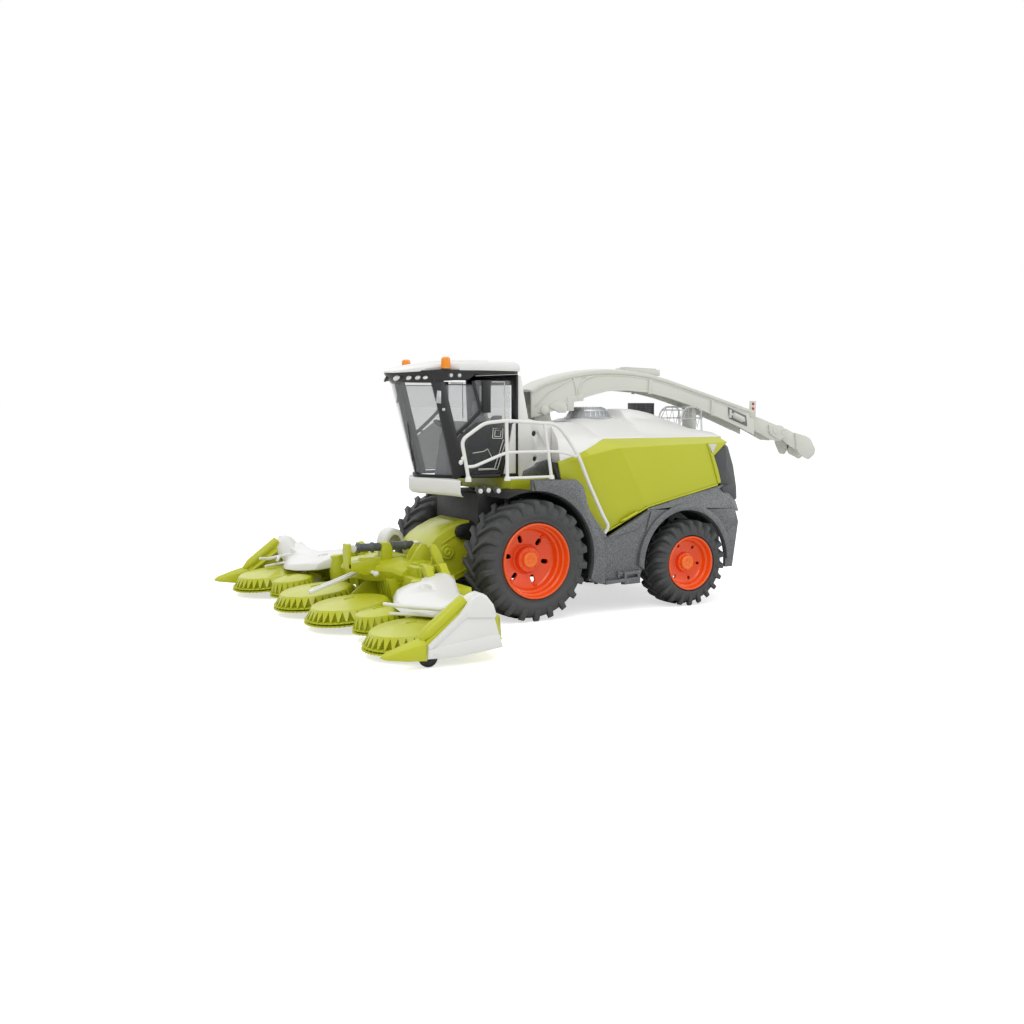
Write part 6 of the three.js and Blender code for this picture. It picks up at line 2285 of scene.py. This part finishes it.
@dataclass
class Header:
    """Feeder housing and the folding rotary maize header with its two wings."""

    paints: Paints
    shop: Workshop
    fold_y: float = 88.4
    fold_z: float = 47.0
    big_r: float = 43.0
    small_r: float = 24.8
    rotor_low: float = 11.0
    rotors: tuple[tuple[str, float, bool], ...] = (("inner", 44.5, True), ("middle", 114.2, False),
        ("outer", 183.1, True))

    def build(self) -> None:
        """Makes every piece of the feeder and the header."""
        self._feeder()
        self._frame()
        self._rams()
        self._drive_hood()
        self._guide()
        for side in Side:
            self._wing(side)
            self._wing_cover(side)
            self._crop_rods(side)
            self._divider(side)
            self._support_wheel(side)
            for name, y, big in self.rotors:
                self._rotor(name, y, big, side)

    def _feeder(self) -> None:
        """The lime feeder housing with its bulged top, ribs and round bosses."""
        shell = Form().prism([(35.2, 92.6), (48.0, 89.0), (62.0, 82.6), (71.0, 76.8), (79.4, 68.4),
                (74.8, 24.4), (35.4, 40.4)], Plane.XZ, -32.0, 32.0)
        shell.loft([[(40.0, y, 90.0), (60.0, y, 82.0), (68.0, y, 77.0), (60.0, y, 84.6),
                    (46.0, y, 91.6)] for y in (-20.0, 20.0)])
        for sign in (1, -1):
            y0, y1 = sorted((sign * 31.6, sign * 33.0))
            shell.prism([(36.0, 84.0), (52.0, 79.4), (66.0, 71.4), (66.0, 69.4), (52.0, 77.2),
                    (36.0, 81.6)], Plane.XZ, y0, y1)
            shell.prism([(36.0, 47.0), (72.0, 33.6), (72.0, 31.6), (36.0, 44.8)], Plane.XZ, y0, y1)
            place = (60.0, 0.0, 63.0)
            shell.lathe([(0.0, 31.0 * sign), (7.4, 31.0 * sign), (7.2, 34.4 * sign),
                    (5.8, 34.8 * sign), (5.6, 33.8 * sign), (4.2, 33.8 * sign), (4.0, 35.6 * sign),
                    (1.4, 35.8 * sign), (1.2, 34.6 * sign), (0.0, 34.6 * sign)], place, Axis.Y, 40)
        self.shop.piece("feeder_shell", shell, self.paints.lime, "header", Slot.LIME,
            ["feeder_housing"], Finishing(edge=0.7))

    def _frame(self) -> None:
        """The lime middle frame: beam, floor, comb ribs, housing and the uprights for the fold
        pins."""
        frame = Form().box((75.4, 108.0), (-86.0, 86.0), (11.0, 38.0)).box((78.0, 103.0),
            (-63.0, 63.0), (37.6, 47.0))
        frame.prism([(106.0, -85.8), (106.0, 85.8), (128.0, 82.0), (170.0, 58.0), (173.0, 40.0),
                (176.0, 8.0), (176.0, -8.0), (173.0, -40.0), (170.0, -58.0), (128.0, -82.0)],
            Plane.XY, 8.4, 10.6)
        frame.loft([[(96.0, y, 32.0), (96.0, y, top), (front - 12.0, y, top + 0.6),
                    (front - 2.0, y, top - 4.0), (front, y, top - 8.0), (front - 3.0, y, 33.0)]
                for y, front, top in ((-54.0, 124.0, 46.0), (-46.0, 136.0, 48.6),
                    (-20.0, 138.0, 50.0), (12.0, 132.0, 51.6), (34.0, 116.0, 50.0),
                    (44.0, 110.0, 46.0))])
        frame.lathe([(0.0, 48.0), (14.0, 48.0), (12.4, 53.0), (5.0, 53.6), (4.4, 54.6),
                (0.0, 54.8)], (112.0, -2.0, 0.0), Axis.Z, 36)
        frame.box((84.0, 97.0), (-60.0, 50.0), (46.0, 49.0))
        frame.prism([(108.0, 8.8), (120.0, 8.8), (150.0, 11.0), (176.0, 11.0), (150.0, 19.0),
                (128.0, 34.0), (108.0, 38.0)], Plane.XZ, -0.9, 0.9)
        rib = Form().prism([(107.0, 10.4), (118.4, 10.4), (120.4, 36.0), (107.0, 36.0)], Plane.XZ,
            -48.4, -46.8)
        frame.join(self.shop.repeat.row(rib, 15, (0.0, 5.9, 0.0)))
        panel = Form().box((107.6, 109.4), (52.0, 84.0), (14.0, 34.0))
        frame.join(panel.copy().on(Side.LEFT)).join(panel.on(Side.RIGHT))
        for low_y, high_y, lean in ((22.0, 25.0, 0.0), (35.0, 38.4, 3.0)):
            frame.prism([(76.0, 46.0), (76.6, 58.0), (79.0, 63.4), (84.0, 63.8), (90.0, 58.0),
                    (97.0 + lean, 46.0), (108.0 + lean, 30.0), (96.0, 30.0)], Plane.XZ, low_y,
                high_y)
        frame.prism([(84.0, 44.0), (82.0, 60.0), (84.6, 61.0), (92.0, 44.0)], Plane.XZ, 24.0, 36.0)
        frame.prism([(78.0, 36.0), (84.0, 60.0), (88.0, 68.6), (92.4, 69.4), (93.6, 64.0),
                (88.0, 44.0), (86.0, 36.0)], Plane.XZ, 77.6, 80.8)
        frame.prism([(80.0, 38.0), (84.0, 56.0), (90.0, 56.0), (92.0, 38.0)], Plane.XZ, 70.0, 73.0)
        for sign in (1, -1):
            a, b = sorted((sign * 70.0, sign * 85.4))
            frame.prism([(97.2, 38.0), (97.2, 52.0), (102.8, 52.0), (102.8, 38.0)], Plane.XZ, a, b)
            frame.lathe([(0.0, 97.2), (4.6, 97.2), (4.6, 102.8), (0.0, 102.8)],
                (0.0, sign * self.fold_y, self.fold_z), Axis.X, 28)
            a, b = sorted((sign * 60.0, sign * 86.0))
            frame.prism([(78.0, 37.4), (80.0, 43.6), (94.0, 43.6), (96.0, 37.4)], Plane.XZ, a, b)
        frame.warp(tipped)
        bracket = Form().prism([(111.4, 56.0), (110.6, 68.0), (113.0, 73.8), (119.6, 73.8),
                (121.6, 68.0), (121.0, 54.0)], Plane.XZ, 6.0, 18.0)
        bracket.prism([(153.4, 50.0), (153.4, 74.0), (156.6, 74.0), (156.6, 52.0)], Plane.XZ, 5.0,
            19.0)
        bracket.prism([(126.0, 44.0), (126.0, 56.0), (134.0, 58.6), (156.0, 55.6), (156.0, 50.0),
                (140.0, 44.0)], Plane.XZ, 5.0, 19.0)
        bracket.prism([(92.0, 50.0), (94.0, 60.0), (142.0, 60.0), (148.0, 50.0)], Plane.XZ, 9.0,
            15.0)
        self.shop.piece("header_beam", frame.join(bracket), self.paints.lime, "header", Slot.LIME,
            ["header_frame"], Finishing(edge=0.5))

    def _rams(self) -> None:
        """The two grey folding rams, back to back, with silver rods and pale eyes."""
        y, z = 12.0, 69.5
        barrel = Form()
        for x0, x1 in ((87.4, 111.0), (121.6, 145.0)):
            barrel.lathe([(0.0, x0), (4.0, x0), (4.0, x0 + 6.0), (4.9, x0 + 6.6), (4.9, x0 + 9.0),
                    (4.0, x0 + 9.6), (4.0, x1 - 3.4), (4.9, x1 - 2.8), (4.9, x1), (0.0, x1)],
                (0.0, y, z), Axis.X, 32)
        barrel.lathe([(0.0, 110.6), (2.6, 110.6), (2.6, 122.0), (0.0, 122.0)], (0.0, y, z), Axis.X,
            24)
        self.shop.piece("fold_ram_barrels", barrel, self.paints.barrel, "header", Slot.GREY,
            ["fold_rams"], Finishing(edge=0.25))
        rods = Form()
        rods.lathe([(0.0, 80.0), (2.3, 80.0), (2.3, 88.0), (0.0, 88.0)], (0.0, y, z), Axis.X, 24)
        rods.lathe([(0.0, 144.6), (2.3, 144.6), (2.3, 153.8), (0.0, 153.8)], (0.0, y, z), Axis.X,
            24)
        self.shop.piece("fold_ram_rods", rods, self.paints.silver, "header", Slot.SILVER,
            finish=Finishing(edge=0.2))
        eyes = Form()
        for x in (82.0, 150.4):
            eyes.lathe([(0.0, y - 4.4), (3.6, y - 4.4), (3.6, y + 4.4), (0.0, y + 4.4)],
                (x, 0.0, z), Axis.Y, 28)
            eyes.box((x - 2.6, x + 4.4), (y - 3.0, y + 3.0), (z - 2.8, z + 2.8))
        self.shop.piece("fold_ram_eyes", eyes, self.paints.white, "header", Slot.SILVER,
            finish=Finishing(edge=0.4))

    def _drive_hood(self) -> None:
        """The white domed hood over the drive, right of the feeder."""
        turns = [math.pi * i / 14 for i in range(15)]
        sections = []
        for y, k in ((-48.2, 0.86), (-49.6, 0.98), (-56.0, 1.0), (-64.0, 1.0), (-70.4, 0.96),
                (-72.0, 0.84)):
            outer = [(79.0 + 11.8 * k * math.cos(a), y, 57.4 + 22.0 * k * abs(math.sin(a)) ** 0.7)
                for a in turns]
            inner = [(79.0 + 8.4 * k * math.cos(a), y, 57.4 + 17.6 * k * abs(math.sin(a)) ** 0.7)
                for a in reversed(turns)]
            sections.append(outer + inner)
        shell = Form().loft(sections)
        shell.loft([[(79.0 + 8.8 * math.cos(a), y, 57.4 + 18.0 * abs(math.sin(a)) ** 0.7)
                    for a in turns] for y in (-61.0, -59.0)])
        self.shop.piece("drive_hood_shell", shell, self.paints.white, "header", Slot.WHITE,
            ["drive_hood"], Finishing(edge=0.4))

    def _guide(self) -> None:
        """The white wishbone over the middle: a grooved bar with a cross piece."""
        guide = Form()
        for y0, y1, up in ((-4.6, -1.5, 1.5), (1.5, 4.6, 1.5), (-1.8, 1.8, 0.2)):
            guide.loft([[(x, y0 * k, z - 1.3), (x, y1 * k, z - 1.3), (x, y1 * k, z + up),
                        (x, y0 * k, z + up)] for x, z, k in ((187.4, 29.0, 0.8),
                        (183.0, 30.6, 1.0), (134.0, 46.6, 1.0))])
        guide.tube([(188.4, 0.0, 28.6), (184.0, 0.0, 30.4)], 3.7, 14, 0.5)
        for sign in (1, -1):
            guide.tube([(134.0, 0.0, 47.0), (132.6, 9.0 * sign, 47.2), (131.4, 27.0 * sign, 45.6)],
                [3.0, 2.6, 2.2], 12, 0.8)
            guide.ball((131.4, 27.0 * sign, 45.6), (2.9, 2.9, 2.9), 12)
        guide.box((129.4, 138.0), (-6.0, 6.0), (44.6, 48.8))
        self.shop.piece("guide_bar", guide, self.paints.white, "header", Slot.WHITE,
            ["centre_guide"], Finishing(edge=0.35))

    def _rotor(self, name: str, y: float, big: bool, side: Side) -> None:
        """A crop disc: shallow cone, skirt of hanging teeth and two fine saw rings.

        Args:
            name: Which of a wing's discs it is.
            y: Distance of its axis from the middle plane.
            big: Whether it is one of the large discs.
            side: The side of the header.
        """
        r = self.big_r if big else self.small_r
        k = r / 43.0
        place = (ROTOR_X, y, 0.0)
        top = 25.6 if big else 27.4
        low = self.rotor_low
        disc = Form().lathe([(0.0, low), (r * 0.78, low), (r * 0.8, 20.0), (r * 0.815, top - 2.4),
                (r * 0.8, top - 1.4), (r * 0.5, top + 0.7), (r * 0.12, top + 2.0),
                (0.0, top + 2.1)], place, Axis.Z, 72)
        disc.box((ROTOR_X - 5.0, ROTOR_X + 5.0), (y - 0.5, y + 0.5), (top + 1.0, top + 2.8))
        for z0, z1, cut in ((low - 0.4, low + 0.8, 1.0), (low + 2.4, low + 3.6, 0.985)):
            disc.lathe([(0.0, z0), (r * cut - 1.6, z0), (r * cut - 1.8, z1), (0.0, z1)], place,
                Axis.Z, 72)
        count = 34 if big else 22
        half = 3.3 * k ** 0.3
        tooth = Form().loft([[(r * 0.76, -half, top - 1.6), (r * 0.76, half, top - 1.6),
                    (r * 0.82, half, top - 2.2), (r * 0.82, -half, top - 2.2)],
                [(r * 0.9, -0.5, low + 3.6), (r * 0.9, 0.5, low + 3.6),
                    (r * 0.945, 0.5, low + 4.2), (r * 0.945, -0.5, low + 4.2)]])
        disc.join(self.shop.repeat.ring(tooth, count, Axis.Z, place))
        for z0, z1, cut, many in ((low - 0.3, low + 0.7, 1.0, 60),
                (low + 2.5, low + 3.5, 0.985, 48)):
            saw = Form().prism([(r * cut - 2.6, -1.5 * k ** 0.4), (r * cut, 0.0),
                    (r * cut - 2.6, 1.5 * k ** 0.4)], Plane.XY, z0, z1)
            disc.join(self.shop.repeat.ring(saw, many if big else round(many * 0.66), Axis.Z,
                    place))
        disc.warp(tipped)
        self.shop.piece(f"disc_{name}_{side.tag}", disc.on(side), self.paints.lime,
            f"rotor_{name}_{side.tag}", Slot.LIME, [f"rotor_{name}_{side.tag}"],
            Finishing(edge=0.0, facet=30))

    def _wing(self, side: Side) -> None:
        """The folding wing: beam, floor, hinge eyes, gear posts and scraper blades.

        Args:
            side: Side of the machine to make it for.
        """
        wing = Form().box((88.6, 109.6), (97.0, 146.0), (10.4, 37.6))
        wing.prism([(88.6, 142.0), (109.6, 142.0), (109.6, 222.0), (121.6, 222.0), (121.6, 232.0),
                (110.4, 232.0), (104.2, 224.0)], Plane.XY, 10.4, 27.6)
        wing.prism([(106.0, 92.0), (106.0, 228.0), (150.0, 228.0), (174.0, 214.0), (176.0, 186.0),
                (168.0, 150.0), (170.0, 112.0), (160.0, 96.0), (128.0, 90.6)], Plane.XY, 8.4, 10.4)
        for low_x, high_x in ((89.4, 96.2), (103.8, 110.6)):
            wing.prism([(84.6, 43.0), (84.4, 51.4), (92.4, 51.4), (98.0, 40.0), (98.0, 34.0),
                    (92.4, 34.0)], Plane.YZ, low_x, high_x)
            wing.prism([(92.4, 34.0), (92.4, 51.4), (96.0, 54.0), (101.0, 54.0), (110.0, 38.0),
                    (110.0, 34.0)], Plane.YZ, low_x, high_x)
        for y in (126.0, 158.0, 206.0):
            wing.prism([(108.8, 12.0), (118.0, 12.0), (119.6, 24.0), (108.8, 27.0)], Plane.XZ,
                y - 0.9, y + 0.9)
        rib = Form().prism([(108.6, 12.0), (115.0, 12.0), (116.6, 28.0), (108.6, 30.0)], Plane.XZ,
            129.4, 130.8)
        wing.join(self.shop.repeat.row(rib, 5, (0.0, 5.6, 0.0)))
        wing.lathe([(0.0, 10.0), (9.4, 10.0), (9.0, 34.0), (6.4, 41.0), (6.2, 44.0), (0.0, 44.4)],
            (119.4, 101.0, 0.0), Axis.Z, 12)
        wing.prism([(110.0, 110.0), (110.0, 118.0), (134.0, 116.4), (134.0, 112.0)], Plane.XY,
            29.8, 32.2)
        wing.warp(tipped)
        self.shop.piece(f"wing_beam_{side.tag}", wing.on(side), self.paints.lime,
            f"wing_{side.tag}", Slot.LIME, [f"wing_frame_{side.tag}"], Finishing(edge=0.45))

    def _wing_cover(self, side: Side) -> None:
        """The white cover over a wing's gears, with its oval dimple, sloped front and leg.

        Args:
            side: Side of the machine to make it for.
        """
        sections = []
        for y, rear, high, edge, reach, foot in ((98.6, 93.0, 44.0, 40.0, 130.0, 33.6),
                (100.0, 92.2, 46.6, 41.4, 140.0, 33.0), (116.0, 92.6, 46.4, 41.0, 147.0, 31.6),
                (130.0, 96.0, 44.6, 39.6, 153.0, 31.0), (150.0, 104.0, 42.0, 38.0, 156.0, 30.4),
                (170.0, 112.0, 40.6, 37.4, 152.0, 30.0), (190.0, 113.6, 41.0, 37.6, 143.0, 30.0),
                (206.0, 114.0, 43.0, 38.4, 138.0, 30.6), (219.0, 114.4, 46.0, 39.4, 136.0, 32.0)):
            ring = [(rear + 0.6, 31.0 if y > 148.0 else 38.3), (rear, high - 1.4),
                (rear + 2.4, high), (rear + 18.0, high - 1.4), (reach - 6.0, edge - 1.0),
                (reach, edge - 3.0), (reach + 4.0, foot), (reach + 2.0, foot - 1.0),
                (rear + 22.0, min(foot, 31.0))]
            sections.append([(x, y, z) for x, z in ring])
        cover = Form().loft(sections)
        cover.prism([(96.0, 99.4), (96.0, 118.0), (112.0, 114.0), (114.0, 99.4)], Plane.XY, 44.0,
            49.0)
        cover.prism([(124.0, 170.0), (124.0, 186.0), (134.0, 184.0), (134.0, 174.0)], Plane.XY,
            27.8, 36.0)
        dimple = Form().lathe([(0.0, -2.6), (5.6, -2.4), (7.6, 3.4), (0.0, 3.4)], (0.0, 0.0, 0.0),
            Axis.Z, 28)
        dimple.warp(lambda p: (124.0 + p[0] * 0.7, 128.0 + p[1] * 1.5, p[2] + 41.8))
        self.shop.piece(f"wing_hood_{side.tag}", cover.warp(tipped).on(side), self.paints.white,
            f"wing_{side.tag}", Slot.WHITE, [f"wing_cover_{side.tag}"],
            Finishing(edge=0.6, facet=35, cut=(dimple.warp(tipped).on(side),)))

    def _crop_rods(self, side: Side) -> None:
        """Thin white forked rods that guide the crop over a wing.

        Args:
            side: Side of the machine to make it for.
        """
        rods = Form().tube([(140.0, 202.0, 38.4), (156.0, 190.0, 39.6), (172.0, 172.0, 40.0),
                (184.0, 166.0, 42.0)], [1.9, 1.8, 1.7, 1.4], 10)
        rods.tube([(138.0, 196.0, 31.6), (158.0, 180.0, 33.0), (178.0, 166.0, 33.2)],
            [1.8, 1.6, 1.3], 10)
        rods.tube([(156.0, 190.0, 39.6), (160.0, 178.0, 38.4), (163.0, 172.0, 38.2)], 1.7, 10)
        rods.prism([(134.0, 192.0), (134.0, 214.0), (146.0, 204.0), (146.0, 196.0)], Plane.XY,
            29.6, 40.4)
        self.shop.piece(f"crop_rods_{side.tag}", rods.on(side), self.paints.white,
            f"wing_{side.tag}", Slot.WHITE, finish=Finishing(edge=0.0))

    def _divider(self, side: Side) -> None:
        """The crop divider at a wing's end: lime nose and tube, white side panel and crown.

        Args:
            side: Side of the machine to make it for.
        """
        nose = Form().loft([[(x, y0, z0), (x, y1, z0), (x, y1 - g, z1), (x, 0.5 * (y0 + y1), z2),
                    (x, y0 + g, z1)] for x, y0, y1, z0, z1, z2, g in (
                    (214.6, 231.0, 236.0, 11.4, 12.6, 13.4, 0.6),
                    (211.0, 229.0, 238.6, 10.4, 14.4, 16.0, 1.0),
                    (196.0, 226.8, 240.2, 8.4, 17.4, 21.0, 1.6),
                    (178.6, 224.8, 240.8, 7.2, 20.4, 26.0, 2.2))])
        nose.prism([(178.8, 8.0), (178.8, 21.4), (146.0, 46.0), (137.0, 52.0), (127.0, 50.0),
                (116.0, 36.0), (111.0, 12.4)], Plane.XZ, 228.4, 238.0)
        nose.tube([(181.0, 232.6, 22.6), (174.0, 232.6, 28.2), (143.0, 232.6, 51.6)],
            [3.0, 5.4, 5.4], 16)
        nose.tube([(178.0, 226.4, 18.0), (141.0, 226.4, 44.0)], 2.2, 10)
        self.shop.piece(f"divider_nose_{side.tag}", nose.on(side), self.paints.lime,
            f"wing_{side.tag}", Slot.LIME, finish=Finishing(edge=0.5))
        panel = Form().prism([(178.4, 8.4), (177.2, 19.4), (150.0, 41.4), (144.0, 48.6),
                (138.0, 56.6), (128.6, 56.4), (118.6, 36.0), (111.4, 11.6), (150.0, 7.8)],
            Plane.XZ, 238.2, 239.8)
        panel.prism([(178.2, 8.6), (177.2, 16.0), (119.0, 22.8), (114.6, 22.0), (111.6, 11.8),
                (150.0, 8.0)], Plane.XZ, 239.6, 240.9)
        panel.prism([(177.2, 16.0), (177.2, 19.2), (149.6, 41.2), (144.6, 47.0), (137.0, 54.6),
                (129.6, 54.4), (126.0, 47.0), (136.6, 48.0), (143.0, 39.6), (174.0, 16.4)],
            Plane.XZ, 239.6, 240.7)
        panel.lathe([(0.0, 240.4), (1.5, 240.4), (1.4, 241.4), (0.0, 241.5)], (171.6, 0.0, 12.6),
            Axis.Y, 16)
        crown = []
        for y, k, lift in ((241.0, 0.86, -1.6), (239.4, 1.0, 0.0), (232.0, 1.0, 0.8),
                (224.0, 0.96, -1.6), (216.0, 0.84, -6.0), (208.0, 0.66, -10.4)):
            crown.append([(131.0 + (x - 131.0) * k, y, z + lift)
                    for x, z in ((116.6, 38.0), (119.6, 47.0), (126.0, 54.6), (133.0, 57.2),
                        (139.0, 54.6), (144.4, 47.0), (146.0, 40.0))])
        self.shop.piece(f"divider_panel_{side.tag}", panel.loft(crown).on(side), self.paints.white,
            f"wing_{side.tag}", Slot.WHITE, [f"divider_cover_{side.tag}"],
            Finishing(edge=0.4, facet=35))

    def _support_wheel(self, side: Side) -> None:
        """The small black wheel below a divider.

        Args:
            side: Side of the machine to make it for.
        """
        wheel = Form().lathe([(0.0, 227.5), (5.4, 227.5), (5.8, 227.9), (7.2, 227.9), (8.0, 228.8),
                (8.0, 231.2), (7.2, 232.1), (5.8, 232.1), (5.4, 232.5), (2.4, 232.5), (2.2, 231.4),
                (0.0, 231.4)], (173.0, 0.0, 8.0), Axis.Y, 40)
        self.shop.piece(f"gauge_wheel_{side.tag}", wheel.on(side), self.paints.black,
            f"support_wheel_{side.tag}", Slot.BLACK, [f"support_wheel_{side.tag}"],
            Finishing(edge=0.0))


def write_size() -> None:
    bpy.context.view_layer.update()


def dress_frame(frame: dict, paints: Paints) -> None:
    """Gives every CAD piece that stays in view the finish of its slot.

    Args:
        paints: The finishes.
    """
    by_slot = {Slot.LIME: paints.lime, Slot.WHITE: paints.white, Slot.GREY: paints.fleck,
        Slot.DARK: paints.dark, Slot.BLACK: paints.black, Slot.CLEAR: paints.glass,
        Slot.AMBER: paints.amber, Slot.TYRE: paints.tyre, Slot.ORANGE: paints.rim,
        Slot.SPOUT: paints.spout, Slot.SILVER: paints.silver}
    slots = {row["node"]: row["material_slot"] for row in frame["record"]["subparts"]}
    for name, obj in frame["nodes"].items():
        obj.data.materials.clear()
        obj.data.materials.append(by_slot[Slot(slots[name])])


ASSEMBLIES = (RunningGear, Bodywork, Cab, Spout, Header)


def main() -> None:
    """Builds the toy, sub-assembly by sub-assembly, round the shared frame."""
    logging.basicConfig(level=logging.INFO, format="%(message)s")
    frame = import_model()
    write_size()
    paints, shop = Paints(), Workshop()
    dress_frame(frame, paints)
    for part in ASSEMBLIES:
        part(paints, shop).build()
    Studio().build()
    log.info("%d pieces made", shop.made)
    write_size()


if __name__ == "__main__":
    main()
